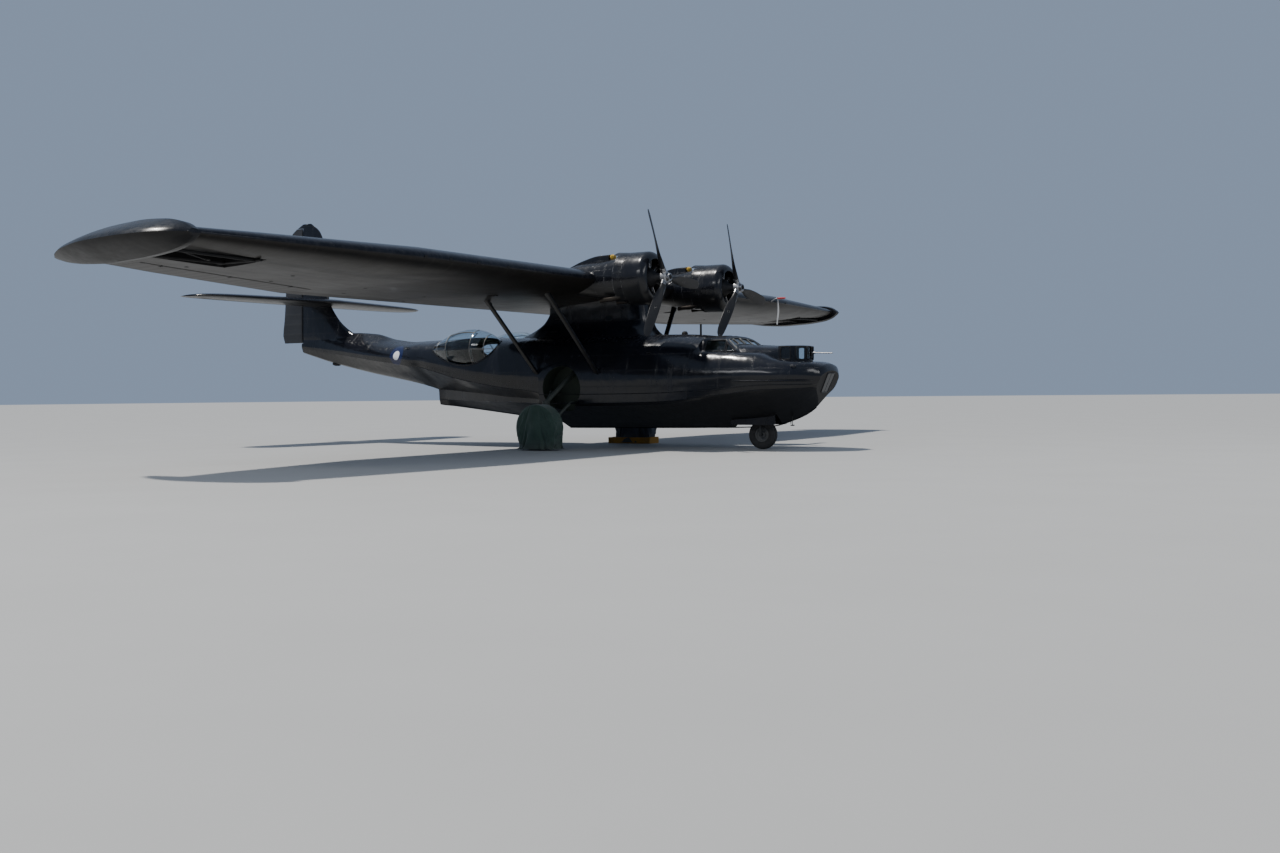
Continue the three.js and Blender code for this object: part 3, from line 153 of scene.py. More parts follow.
def smooth_path(points: Sequence[Array], steps: int) -> Array:
    """A smooth curve through points in space.

    Args:
        points: the points that it passes.
        steps: samples for each stretch.

    Returns:
        Shape (samples, 3), from the first point to the last.
    """
    p = np.array(points, float)
    p = np.concatenate([[2 * p[0] - p[1]], p, [2 * p[-1] - p[-2]]])
    t = np.linspace(0, 1, steps, endpoint=False)[None, :, None]
    a, b, c, d = (p[k : len(p) - 3 + k, None] for k in range(4))
    curve = 0.5 * (2 * b + (c - a) * t + (2 * a - 5 * b + 4 * c - d) * t**2 + (3 * b - a - 3 * c + d) * t**3)
    return np.concatenate([curve.reshape(-1, 3), p[-2:-1]])


def fine_steps(stops: Sequence[float], spacing: float) -> Array:
    """Values from the first stop to the last that hit each stop, no further apart than the spacing.

    Args:
        stops: rising values.
        spacing: the widest step.

    Returns:
        The values, as one array.
    """
    runs = []
    for a, b in zip(stops[:-1], stops[1:]):
        runs.append(np.linspace(a, b, max(1, math.ceil((b - a) / spacing)), endpoint=False))
    return np.concatenate([*runs, [stops[-1]]])


def turned_frame(direction: Array) -> tuple[Array, Array]:
    """Two unit vectors across a direction, for the sections of a tube.

    Args:
        direction: any vector but zero.

    Returns:
        The two unit vectors, square to it and to each other.
    """
    d = direction / np.linalg.norm(direction)
    helper = np.array([0.0, 0.0, 1.0]) if abs(d[2]) < 0.9 else np.array([1.0, 0.0, 0.0])
    u = np.cross(helper, d)
    u /= np.linalg.norm(u)
    return u, np.cross(d, u)


# Meshes


class Maker:
    """Collects surfaces worked out as arrays, and turns them into one Blender mesh."""

    def __init__(self) -> None:
        """Starts with no points and no faces."""
        self.points: list[Array] = []
        self.faces: list[list[int]] = []
        self.count = 0

    def _keep(self, points: Array) -> int:
        """Adds points and returns the number of the first of them.

        Args:
            points: any shape that ends in 3.

        Returns:
            The number of the first point added.
        """
        first = self.count
        self.points.append(points.reshape(-1, 3))
        self.count += len(self.points[-1])
        return first

    def grid(self, points: Array, around: bool = False, caps: bool = False, loop: bool = False) -> "Maker":
        """Adds a surface over a grid of points.

        Args:
            points: shape (rows, columns, 3).
            around: joins the last column to the first.
            caps: closes the first and last rows with flat faces.
            loop: joins the last row to the first.

        Returns:
            The maker itself.
        """
        rows, columns = points.shape[:2]
        first = self._keep(points)
        number = np.arange(rows * columns).reshape(rows, columns) + first
        if loop:
            number = np.vstack([number, number[:1]])
        if around:
            number = np.hstack([number, number[:, :1]])
        quads = np.stack(
            [number[:-1, :-1], number[:-1, 1:], number[1:, 1:], number[1:, :-1]], axis=-1
        )
        self.faces += quads.reshape(-1, 4).tolist()
        if caps:
            self.faces.append((np.arange(columns) + first)[::-1].tolist())
            self.faces.append((np.arange(columns) + first + (rows - 1) * columns).tolist())
        return self

    def solid(self, rings: Array) -> "Maker":
        """Adds a closed solid through rings of points, shape (rings, points, 3), with flat ends."""
        return self.grid(rings, around=True, caps=True)

    def turned(
        self,
        profile: Sequence[Sequence[float]],
        centre: Sequence[float],
        axis: Axis = Axis.X,
        sides: int = 48,
        close: bool = False,
    ) -> "Maker":
        """Adds a body of revolution.

        Each profile point (d, r) makes the circle of radius r at distance d along the axis.

        Args:
            profile: pairs of distance and radius; a zero radius closes an end.
            centre: the point that the distances are measured from.
            axis: the axis of revolution.
            sides: points in each circle.
            close: joins the last circle to the first, as for a ring.

        Returns:
            The maker itself.
        """
        p = np.array(profile, float)
        angle = np.linspace(0, 2 * math.pi, sides, endpoint=False)
        along = np.repeat(p[:, :1], sides, axis=1)
        out = np.maximum(p[:, 1:2], 2e-6)
        c, s = out * np.cos(angle), out * np.sin(angle)
        order = {Axis.X: (along, c, s), Axis.Y: (s, along, c), Axis.Z: (c, s, along)}[axis]
        points = np.stack(order, axis=-1) + np.array(centre, float)
        return self.grid(points, around=True, caps=not close, loop=close)

    def tube(self, path: Array, radius: float | Array, sides: int = 12, closed: bool = False) -> "Maker":
        """Adds a round tube along a path, with a radius that may change from point to point.

        Each section lies across the mean direction of the path at its point. A closed path runs back
        to its first point.

        Args:
            path: points, shape (points, 3).
            radius: one radius, or one for each point.
            sides: points round each section.
            closed: joins the last section to the first.

        Returns:
            The maker itself.
        """
        path = np.asarray(path, float)
        way = np.roll(path, -1, axis=0) - np.roll(path, 1, axis=0) if closed else np.gradient(path, axis=0)
        way /= np.linalg.norm(way, axis=1, keepdims=True)
        u, _ = turned_frame(way[0])
        angle = np.linspace(0, 2 * math.pi, sides, endpoint=False)
        size = np.broadcast_to(radius, (len(path),))
        rings = []
        for point, d, r in zip(path, way, size):
            u = u - d * np.dot(u, d)
            u /= np.linalg.norm(u)
            v = np.cross(d, u)
            rings.append(point + r * (np.cos(angle)[:, None] * u + np.sin(angle)[:, None] * v))
        return self.grid(np.array(rings), around=True, caps=not closed, loop=closed)

    def bar(
        self, start: Array, end: Array, radius: float, sides: int = 16, far: float | None = None
    ) -> "Maker":
        """Adds a straight round bar, or a taper where the far radius is given.

        Args:
            start: middle of one end.
            end: middle of the other.
            radius: radius at the start.
            sides: points round it.
            far: radius at the end, or None for the same.

        Returns:
            The maker itself.
        """
        return self.tube(
            np.array([start, end]), np.array([radius, far if far is not None else radius]), sides
        )

    def block(self, low: Sequence[float], high: Sequence[float]) -> "Maker":
        """Adds a box between two corners.

        Args:
            low: the lowest corner.
            high: the highest corner.

        Returns:
            The maker itself.
        """
        lo, hi = np.array(low, float), np.array(high, float)
        corner = np.array([[i, j, k] for k in (0, 1) for j in (0, 1) for i in (0, 1)], float)
        first = self._keep(lo + corner * (hi - lo))
        sides = [(0, 2, 3, 1), (4, 5, 7, 6), (0, 1, 5, 4), (2, 6, 7, 3), (0, 4, 6, 2), (1, 3, 7, 5)]
        self.faces += [[first + i for i in side] for side in sides]
        return self

    def prism(self, outline: Array, direction: Sequence[float]) -> "Maker":
        """Adds the solid that a flat closed outline sweeps along a direction."""
        ring = np.asarray(outline, float)
        return self.solid(np.stack([ring, ring + np.array(direction, float)]))

    def mirrored(self) -> "Maker":
        """The same surfaces on the other side of the centre plane.

        Returns:
            A new maker.
        """
        other = Maker()
        other.points = [p * MIRROR for p in self.points]
        other.faces = [face[::-1] for face in self.faces]
        other.count = self.count
        return other

    def on_side(self, side: float) -> "Maker":
        """The maker itself to port, or its mirror image to starboard."""
        return self if side > 0 else self.mirrored()

    def plus(self, other: "Maker") -> "Maker":
        """Adds another maker's surfaces to this one.

        Args:
            other: the maker to add.

        Returns:
            The maker itself.
        """
        first = self.count
        self.points += other.points
        self.faces += [[i + first for i in face] for face in other.faces]
        self.count += other.count
        return self

    def mesh_object(self, name: str, sharp_deg: float = 32.0, finish: Any = None) -> bpy.types.Object:
        """The Blender object of all that was added, its faces turned outwards and shaded smooth.

        Args:
            name: the object's name.
            sharp_deg: edges that turn by more than this stay sharp.
            finish: what it is dressed in at once, for a piece that is cut or cuts another.

        Returns:
            The new object, linked to the scene.
        """
        mesh = bpy.data.meshes.new(name)
        mesh.from_pydata(np.concatenate(self.points).tolist(), [], self.faces)
        thing = bpy.data.objects.new(name, mesh)
        bpy.context.scene.collection.objects.link(thing)
        tidy(thing)
        shade(thing, sharp_deg)
        if finish is not None:
            thing.data.materials.append(SHELF(finish))
        return thing


def tidy(thing: bpy.types.Object) -> None:
    """Merges doubled points, drops empty faces and turns every face outwards.

    Args:
        thing: the object, whose mesh is changed.
    """
    bm = bmesh.new()
    bm.from_mesh(thing.data)
    bmesh.ops.remove_doubles(bm, verts=bm.verts, dist=2e-5)
    bmesh.ops.dissolve_degenerate(bm, edges=bm.edges, dist=1e-6)
    bmesh.ops.recalc_face_normals(bm, faces=bm.faces)
    bm.to_mesh(thing.data)
    bm.free()


def shade(thing: bpy.types.Object, sharp_deg: float) -> None:
    """Smooth shading with edges sharper than an angle kept crisp.

    Args:
        thing: the object.
        sharp_deg: the angle, in degrees.
    """
    mesh = thing.data
    mesh.shade_smooth()
    mesh.set_sharp_from_angle(angle=math.radians(sharp_deg))
    mesh.update()


def applied(thing: bpy.types.Object) -> bpy.types.Object:
    """Bakes an object's modifiers into its mesh.

    Args:
        thing: the object.

    Returns:
        The same object.
    """
    graph = bpy.context.evaluated_depsgraph_get()
    made = bpy.data.meshes.new_from_object(thing.evaluated_get(graph))
    thing.modifiers.clear()
    old = thing.data
    thing.data = made
    made.name = old.name
    bpy.data.meshes.remove(old)
    return thing


def discard(things: Iterable[bpy.types.Object]) -> None:
    """Removes objects and their meshes.

    Args:
        things: the objects.
    """
    for thing in things:
        mesh = thing.data
        bpy.data.objects.remove(thing)
        bpy.data.meshes.remove(mesh)


class Cut(Enum):
    """How one solid works on another."""

    AWAY = "DIFFERENCE"
    KEEP = "INTERSECT"
    JOIN = "UNION"


def carved(
    thing: bpy.types.Object, tools: Iterable[bpy.types.Object], how: Cut = Cut.AWAY, sharp_deg: float = 32.0
) -> bpy.types.Object:
    """Cuts solids out of a solid, or keeps what they share, and removes the tools.

    Args:
        thing: the solid that is worked on.
        tools: the solids that work on it, gone afterwards.
        how: what they do.
        sharp_deg: edges that turn by more than this stay sharp.

    Returns:
        The first solid.
    """
    tools = list(tools)
    for tool in tools:
        change = thing.modifiers.new("cut", "BOOLEAN")
        change.operation = how.value
        change.solver = "EXACT"
        change.object = tool
        change.material_mode = "TRANSFER"
    applied(thing)
    if not thing.data.polygons:
        raise ValueError(f"{thing.name} was cut away altogether")
    discard(tools)
    shade(thing, sharp_deg)
    return thing


# Shader expressions


class Wire:
    """A socket of a shader tree, or a plain number, that is worked with in written expressions."""

    def __init__(self, book: "NodeBook", source: Any) -> None:
        """Wraps an output socket of the book's tree."""
        self.book = book
        self.source = source

    def _math(self, operation: str, *others: Any, **more: Any) -> "Wire":
        """A Math node on this value and others."""
        return self.book.calc(operation, self, *others, **more)

    def __add__(self, other: Any) -> "Wire":
        """The sum."""
        return self._math("ADD", other)

    __radd__ = __add__

    def __sub__(self, other: Any) -> "Wire":
        """The difference."""
        return self._math("SUBTRACT", other)

    def __rsub__(self, other: Any) -> "Wire":
        """The difference, the other way round."""
        return self.book.calc("SUBTRACT", other, self)

    def __mul__(self, other: Any) -> "Wire":
        """The product."""
        return self._math("MULTIPLY", other)

    __rmul__ = __mul__

    def __truediv__(self, other: Any) -> "Wire":
        """The quotient."""
        return self._math("DIVIDE", other)

    def __abs__(self) -> "Wire":
        """The size without its sign."""
        return self._math("ABSOLUTE")

    def __pow__(self, other: Any) -> "Wire":
        """The power."""
        return self._math("POWER", other)

    def most(self, other: Any) -> "Wire":
        """The greater of the two."""
        return self._math("MAXIMUM", other)

    def least(self, other: Any) -> "Wire":
        """The lesser of the two."""
        return self._math("MINIMUM", other)

    def clamped(self) -> "Wire":
        """Held between 0 and 1."""
        return self._math("ADD", 0.0, use_clamp=True)

    def every(self, spacing: float) -> "Wire":
        """The distance to the nearest multiple of a spacing."""
        return self._math("PINGPONG", spacing / 2)

    def band(self, width: float, soft: float = 0.4) -> "Wire":
        """1 where the distance is under half a width, fading to 0 over a share of that width."""
        low, high = width / 2 * (1 - soft), width / 2 * (1 + soft)
        return ((high - self) / (high - low)).clamped()

    def ramp(self, low: float, high: float) -> "Wire":
        """0 below the low value, 1 above the high one and even between."""
        return ((self - low) / (high - low)).clamped()


class NodeBook:
    """One material's shader tree, with a Principled shader that its expressions feed."""

    def __init__(self, name: str) -> None:
        """Makes an empty material of that name, with a Principled shader.

        Args:
            name: the material's name.
        """
        self.material = bpy.data.materials.new(name)
        self.material.use_nodes = True
        self.tree = self.material.node_tree
        self.tree.nodes.clear()
        self.end = self.tree.nodes.new("ShaderNodeOutputMaterial")
        self.shader = self.tree.nodes.new("ShaderNodeBsdfPrincipled")
        self.tree.links.new(self.shader.outputs[0], self.end.inputs[0])
        self._place: dict[str, Wire] = {}

    def make(
        self, kind: str, settings: dict[str, Any] | None = None, inputs: dict[Any, Any] | None = None
    ) -> bpy.types.Node:
        """Adds a node.

        Args:
            kind: the node's type without its ShaderNode prefix.
            settings: properties that are set first, such as a Math node's operation.
            inputs: values or wires for sockets, by name or number.

        Returns:
            The node.
        """
        node = self.tree.nodes.new("ShaderNode" + kind)
        for key, value in (settings or {}).items():
            setattr(node, key, value)
        for key, value in (inputs or {}).items():
            self.feed(node.inputs[key], value)
        return node

    def feed(self, socket: bpy.types.NodeSocket, value: Any) -> None:
        """Links a wire to a socket, or sets the socket's own value.

        Args:
            socket: an input socket.
            value: a wire, a number, a vector or a colour.
        """
        if isinstance(value, Wire):
            self.tree.links.new(value.source, socket)
        elif isinstance(value, (tuple, list)) and len(value) == 3 and socket.type == "RGBA":
            socket.default_value = (*value, 1.0)
        else:
            socket.default_value = value

    def calc(self, operation: str, *values: Any, **settings: Any) -> Wire:
        """A Math node on values or wires."""
        node = self.make("Math", {"operation": operation, **settings}, dict(enumerate(values)))
        return Wire(self, node.outputs[0])

    def mix(self, share: Any, first: Any, second: Any) -> Wire:
        """A blend of two colours: the first where the share is 0, the second where it is 1."""
        node = self.make("Mix", {"data_type": "RGBA"}, {0: share, 6: first, 7: second})
        return Wire(self, node.outputs[2])

    def coordinate(self, axis: str) -> Wire:
        """The X, Y or Z of the surface point in metres, or of its normal after "facing_", or "all".

        Args:
            axis: which of them.

        Returns:
            The coordinate.
        """
        if not self._place:
            where = self.make("TexCoord")
            for prefix, output in (("", "Object"), ("facing_", "Normal")):
                parts = self.make("SeparateXYZ", inputs={0: Wire(self, where.outputs[output])})
                self._place |= {prefix + n: Wire(self, parts.outputs[i]) for i, n in enumerate("XYZ")}
            self._place["all"] = Wire(self, where.outputs["Object"])
        return self._place[axis]

    def stretched(self, scale: Sequence[float]) -> Wire:
        """The surface point scaled along each axis, to draw a pattern out."""
        node = self.make("Mapping", inputs={"Vector": self.coordinate("all"), "Scale": tuple(scale)})
        return Wire(self, node.outputs[0])

    def noise(self, scale: float, detail: float = 4.0, rough: float = 0.5, where: Wire | None = None) -> Wire:
        """Cloudy noise from 0 to 1, with its scale in features to the metre.

        Args:
            scale: features to the metre.
            detail: octaves.
            rough: share of the finer ones.
            where: the point to read at, or None for the surface point.

        Returns:
            The noise.
        """
        place = where if where is not None else self.coordinate("all")
        node = self.make(
            "TexNoise", inputs={"Vector": place, "Scale": scale, "Detail": detail, "Roughness": rough}
        )
        return Wire(self, node.outputs[0])

    def cracks(self, scale: float) -> Wire:
        """The distance to the nearest edge of a Voronoi pattern's cells.

        Args:
            scale: cells to the metre.

        Returns:
            The distance.
        """
        inputs = {"Vector": self.coordinate("all"), "Scale": scale}
        return Wire(
            self, self.make("TexVoronoi", {"feature": "DISTANCE_TO_EDGE"}, inputs).outputs["Distance"]
        )

    def bump(self, *heights: tuple[Wire, float, float]) -> None:
        """Feeds the shader's normal from heights, each with its strength and its depth in metres.

        Args:
            heights: height, strength and depth of each layer, the coarsest first.
        """
        last: Wire | None = None
        for height, strength, distance in heights:
            inputs = {"Height": height, "Strength": strength, "Distance": distance}
            if last is not None:
                inputs["Normal"] = last
            last = Wire(self, self.make("Bump", inputs=inputs).outputs[0])
        if last is not None:
            self.feed(self.shader.inputs["Normal"], last)

    def finish(self, **sockets: Any) -> bpy.types.Material:
        """Feeds the shader's sockets, named with underscores for spaces, and returns the material.

        Args:
            sockets: a value or wire for each socket.

        Returns:
            The material.
        """
        for key, value in sockets.items():
            self.feed(self.shader.inputs[key.replace("_", " ").title().replace("Ior", "IOR")], value)
        return self.material


# Finishes

Colour = tuple[float, float, float]
SEAM_WIDTH = 0.007
RIVET_PITCH = 0.045
RIVET_SIZE = 0.012


def to_rivet(seam: Wire, along: Wire, row: float, pitch: float) -> Wire:
    """The distance to the nearest rivet, in rows that run a little way off each seam.

    Args:
        seam: distance to the nearest seam.
        along: the coordinate that runs along it.
        row: how far off the seam the row runs.
        pitch: distance between rivets.

    Returns:
        The distance.
    """
    return (abs(seam - row) ** 2.0 + along.every(pitch) ** 2.0) ** 0.5


class Seams(Enum):
    """Which way the sheets of a painted surface are laid."""

    HULL = "hull"
    ROUND = "round"
    PLAIN = "plain"


@dataclass(frozen=True)
class GlossPaint:
    """Black paint on riveted sheet: seams, rivets, dents, dust, scuffs and run stains.

    Fields:
        seams: how the sheets are laid.
        frames: distance between frame seams along the length.
        strakes: distance between lengthwise seams.
        disc: centre station, height and radius of the painted disc, or None.
        scuffed: how strongly the paint is worn to grey.
        shine: strength of its reflections.
    """

    name: str
    seams: Seams = Seams.HULL
    frames: float = 0.9
    strakes: float = 0.42
    colour: Colour = (0.0040, 0.0046, 0.0072)
    haze: Colour = (0.0070, 0.0088, 0.0155)
    belly: Colour = (0.0048, 0.0045, 0.0043)
    roughness: float = 0.12
    scuffed: float = 0.35
    shine: float = 0.34
    disc: tuple[float, float, float] | None = None

    def _lines(self, book: NodeBook) -> tuple[Wire, Wire]:
        """Seam and rivet masks: lines every so far along, and dots at an even pitch beside them.

        Args:
            book: the material's shader tree.

        Returns:
            The mask of the seams and the mask of the rivets.
        """
        x, y, z = (book.coordinate(k) for k in "XYZ")
        if self.seams is Seams.PLAIN:
            return x * 0.0, x * 0.0
        if self.seams is Seams.ROUND:
            return self._petals(book)
        flat = abs(book.coordinate("facing_Z")).ramp(0.62, 0.74)
        across = y * flat + z * (1 - flat)
        frame_gap = x.every(self.frames)
        strake_gap = across.every(self.strakes)
        seams = frame_gap.band(SEAM_WIDTH).most(strake_gap.band(0.7 * SEAM_WIDTH) * 0.7)
        rivets = to_rivet(frame_gap, across, 0.02, RIVET_PITCH).band(RIVET_SIZE)
        return seams, rivets.most(to_rivet(strake_gap, x, 0.018, RIVET_PITCH).band(0.8 * RIVET_SIZE))

    def _petals(self, book: NodeBook) -> tuple[Wire, Wire]:
        """Masks for a cowl: ragged worn rings where its sheets meet, and lines between its flaps.

        Args:
            book: the material's shader tree.

        Returns:
            The mask of the seams and the mask of the rivets.
        """
        x, y, z = (book.coordinate(k) for k in "XYZ")
        ragged = x + (book.noise(14, 3, 0.6) - 0.5) * 0.02
        rings = [abs(ragged - x_of(station)) for station in (4.62, 4.87, 5.2, 5.55)]
        nearest = rings[0].least(rings[1]).least(rings[2]).least(rings[3])
        around = book.calc("ARCTAN2", abs(y) - ENGINE_Y, z - ENGINE_Z) * 0.68
        between = around.every(0.1942).band(0.006) * (4.95 - x).ramp(0.0, 0.05)
        rivets = to_rivet(nearest, around, 0.03, 0.05).band(0.010)
        return nearest.band(0.009).most(between * 0.6), rivets

    def material(self) -> bpy.types.Material:
        """The material, built once.

        Returns:
            The material.
        """
        book = NodeBook(self.name)
        facing = book.coordinate("facing_Z")
        seams, rivets = self._lines(book)
        cloud = book.noise(1.1, 5, 0.55)
        fine = book.noise(9.0, 4, 0.6)
        runs = book.noise(6.0, 3, 0.6, book.stretched((1.0, 1.0, 0.12)))
        colour = book.mix(cloud.ramp(0.35, 0.75) * 0.7, self.colour, self.haze)
        under = (0.0 - facing).ramp(0.05, 0.6)
        colour = book.mix(under * (0.55 + 0.45 * fine), colour, self.belly)
        dust = facing.ramp(0.55, 0.98) * fine.ramp(0.35, 0.8) * 0.09
        colour = book.mix(dust, colour, (0.11, 0.11, 0.11))
        stains = runs.ramp(0.56, 0.8) * (1 - abs(facing)) * 0.25
        colour = book.mix(stains, colour, (0.026, 0.026, 0.029))
        wear = (seams * fine.ramp(0.48, 0.62)).most(
            book.noise(30, 3, 0.7).ramp(0.71, 0.75) * cloud.ramp(0.5, 0.6)
        )
        wear = wear * self.scuffed
        colour = book.mix(wear, colour, (0.15, 0.15, 0.155))
        if self.disc is not None:
            colour = self._disc(book, colour, *self.disc)
        if self.seams is not Seams.ROUND:
            colour = book.mix(seams * 0.6, colour, (0.002, 0.002, 0.003))
        roughness = self.roughness + cloud * 0.1 + fine.ramp(0.4, 0.8) * 0.08
        roughness = roughness + dust * 1.5 + stains + under * 0.18
        waves = book.noise(2.6, 2, 0.4)
        book.bump((waves, 0.5, 0.03), (fine, 0.08, 0.004), (0.0 - seams, 0.5, 0.0025), (rivets, 0.55, 0.0025))
        return book.finish(
            base_color=colour, roughness=roughness.clamped(), specular_ior_level=self.shine,
            coat_weight=self.shine * 0.4, coat_roughness=0.06,
        )

    def _disc(self, book: NodeBook, colour: Wire, station: float, height: float, radius: float) -> Wire:
        """Paints a plain blue disc with a white centre where the surface faces sideways.

        Args:
            book: the material's shader tree.
            colour: the colour under the disc.
            station: station of its centre.
            height: height of its centre.
            radius: its radius.

        Returns:
            The colour with the disc on it.
        """
        dx = book.coordinate("X") - x_of(station)
        dz = book.coordinate("Z") - height
        distance = (dx * dx + dz * dz) ** 0.5
        sideways = abs(book.coordinate("facing_Y")).ramp(0.3, 0.5)
        colour = book.mix((radius - distance).ramp(0.0, 0.012) * sideways, colour, (0.008, 0.014, 0.055))
        return book.mix((radius * 0.48 - distance).ramp(0.0, 0.012) * sideways, colour, (0.62, 0.64, 0.66))


@dataclass(frozen=True)
class WingPaint:
    """Paint of the wing: gloss black above, and a soiled brown-grey satin underneath."""

    name: str
    cloth_aft: bool = False
    rib: float = 0.38
    top: Colour = (0.0048, 0.0056, 0.009)
    below: Colour = (0.0155, 0.0132, 0.0112)

    def material(self) -> bpy.types.Material:
        """The material, built once.

        Returns:
            The material.
        """
        book = NodeBook(self.name)
        x, y, facing = book.coordinate("X"), book.coordinate("Y"), book.coordinate("facing_Z")
        under = (0.0 - facing).ramp(0.1, 0.45)
        cloud = book.noise(0.9, 5, 0.55)
        fine = book.noise(8.0, 4, 0.6)
        streaks = book.noise(3.0, 5, 0.65, book.stretched((1.6, 0.28, 1.0)))
        washed = book.noise(5.0, 4, 0.6, book.stretched((0.35, 1.8, 1.0)))
        ribs = y.every(self.rib)
        spans = x.every(0.62)
        seam = ribs.band(0.006).most(spans.band(0.006))
        aft = (0.2 - x).ramp(-0.1, 0.1) if self.cloth_aft else x * 0.0
        tape = ribs.band(0.05, 0.2) * aft
        dot = to_rivet(spans, y, 0.018, 0.05).least(to_rivet(ribs, x, 0.016, 0.05))
        rivets = dot.band(0.011) * (1 - aft)
        low = book.mix(streaks.ramp(0.35, 0.7), (0.0085, 0.0076, 0.0068), self.below)
        low = book.mix(washed.ramp(0.55, 0.8) * 0.6, low, (0.034, 0.030, 0.026))
        low = book.mix((streaks.ramp(0.62, 0.72) * fine) * 0.5, low, (0.006, 0.0055, 0.0055))
        high = book.mix(cloud.ramp(0.4, 0.75) * 0.6, self.top, (0.012, 0.014, 0.022))
        high = book.mix(fine.ramp(0.45, 0.8) * 0.14, high, (0.12, 0.12, 0.12))
        colour = book.mix(under, high, low)
        colour = book.mix(seam * (0.45 + 0.3 * under), colour, (0.006, 0.006, 0.006))
        chips = book.noise(22, 3, 0.7).ramp(0.69, 0.74) * cloud.ramp(0.48, 0.6)
        colour = book.mix(chips * 0.3, colour, (0.17, 0.165, 0.16))
        roughness = 0.17 + cloud * 0.12 + under * (0.12 + 0.16 * streaks) + chips * 0.2 + aft * 0.08
        sag = ribs.ramp(0.0, self.rib / 2) * aft
        waves = book.noise(1.8, 2, 0.4)
        book.bump(
            (waves, 0.45, 0.025), (fine, 0.08, 0.004), (0.0 - sag, 0.35, 0.01), (tape, 0.5, 0.001),
            (0.0 - seam, 0.4, 0.002), (rivets, 0.5, 0.002),
        )
        return book.finish(
            base_color=colour, roughness=roughness.clamped(), specular_ior_level=0.17,
            coat_weight=0.05, coat_roughness=0.06,
        )


@dataclass(frozen=True)
class DopedCloth:
    """Doped and painted fabric over ribs: a weave, rib tapes with stitching, and a sag between ribs."""

    name: str
    rib_axis: str = "Y"
    rib: float = 0.32
    colour: Colour = (0.009, 0.010, 0.014)

    def material(self) -> bpy.types.Material:
        """The material, built once.

        Returns:
            The material.
        """
        book = NodeBook(self.name)
        along = book.coordinate(self.rib_axis)
        other = book.coordinate("X")
        facing = book.coordinate("facing_Z")
        ribs = along.every(self.rib)
        tape = ribs.band(0.055, 0.15)
        stitch = ribs.band(0.008) * other.every(0.05).band(0.03)
        cloud = book.noise(1.6, 5, 0.6)
        fine = book.noise(12, 4, 0.6)
        weave = (book.calc("SINE", along * 900.0) * book.calc("SINE", other * 900.0))
        under = (0.0 - facing).ramp(0.1, 0.5)
        colour = book.mix(cloud.ramp(0.35, 0.75), self.colour, (0.018, 0.020, 0.026))
        colour = book.mix(under * (0.5 + 0.5 * fine), colour, (0.024, 0.021, 0.019))
        colour = book.mix(tape * 0.35, colour, (0.03, 0.031, 0.035))
        colour = book.mix(fine.ramp(0.62, 0.78) * 0.18, colour, (0.14, 0.135, 0.13))
        sag = ribs.ramp(0.0, self.rib / 2)
        book.bump(
            (0.0 - sag, 0.5, 0.012), (fine, 0.1, 0.004), (tape, 0.6, 0.0012), (stitch, 0.6, 0.001),
            (weave, 0.15, 0.0003)
        )
        roughness = 0.46 + cloud * 0.12 + fine * 0.06
        return book.finish(base_color=colour, roughness=roughness.clamped(), coat_weight=0.05)


@dataclass(frozen=True)
class ClearPane:
    """Clear plastic glazing with faint scratches and patches of haze."""

    name: str
    tint: Colour = (0.80, 0.88, 0.92)

    def material(self) -> bpy.types.Material:
        """The material, built once.

        Returns:
            The material.
        """
        book = NodeBook(self.name)
        haze = book.noise(3.0, 4, 0.6)
        scratch = book.noise(60, 3, 0.7, book.stretched((0.2, 1.0, 1.0)))
        roughness = 0.015 + haze.ramp(0.5, 0.85) * 0.05 + scratch.ramp(0.7, 0.8) * 0.06
        book.bump((scratch, 0.03, 0.001))
        return book.finish(
            base_color=self.tint, roughness=roughness.clamped(), transmission_weight=1.0, ior=1.4
        )


@dataclass(frozen=True)
class DarkPane:
    """A small window with nothing lit behind it: opaque near-black glass whose dark colour is painted shade
    for the unlit room behind, with a film of dust.
    """

    name: str
    # painted shade: the near-black colour stands for the unlit room seen through the glass
    colour: Colour = (0.012, 0.016, 0.022)

    def material(self) -> bpy.types.Material:
        """The material, built once.

        Returns:
            The material.
        """
        book = NodeBook(self.name)
        haze = book.noise(7.0, 4, 0.6)
        colour = book.mix(haze.ramp(0.4, 0.85) * 0.25, self.colour, (0.03, 0.034, 0.038))
        book.bump((book.noise(3.0, 2, 0.4), 0.1, 0.01))
        return book.finish(
            base_color=colour, roughness=(0.04 + haze * 0.1).clamped(), specular_ior_level=0.25
        )


@dataclass(frozen=True)
class FloorFinish:
    """A plain pale floor with a little tone in it."""

    name: str
    colour: Colour = (0.36, 0.36, 0.352)

    def material(self) -> bpy.types.Material:
        """The material, built once.

        Returns:
            The material.
        """
        book = NodeBook(self.name)
        cloud = book.noise(0.5, 4, 0.55)
        colour = book.mix(cloud.ramp(0.3, 0.8) * 0.4, self.colour, (0.31, 0.31, 0.305))
        return book.finish(base_color=colour, roughness=(0.62 + cloud * 0.12).clamped())


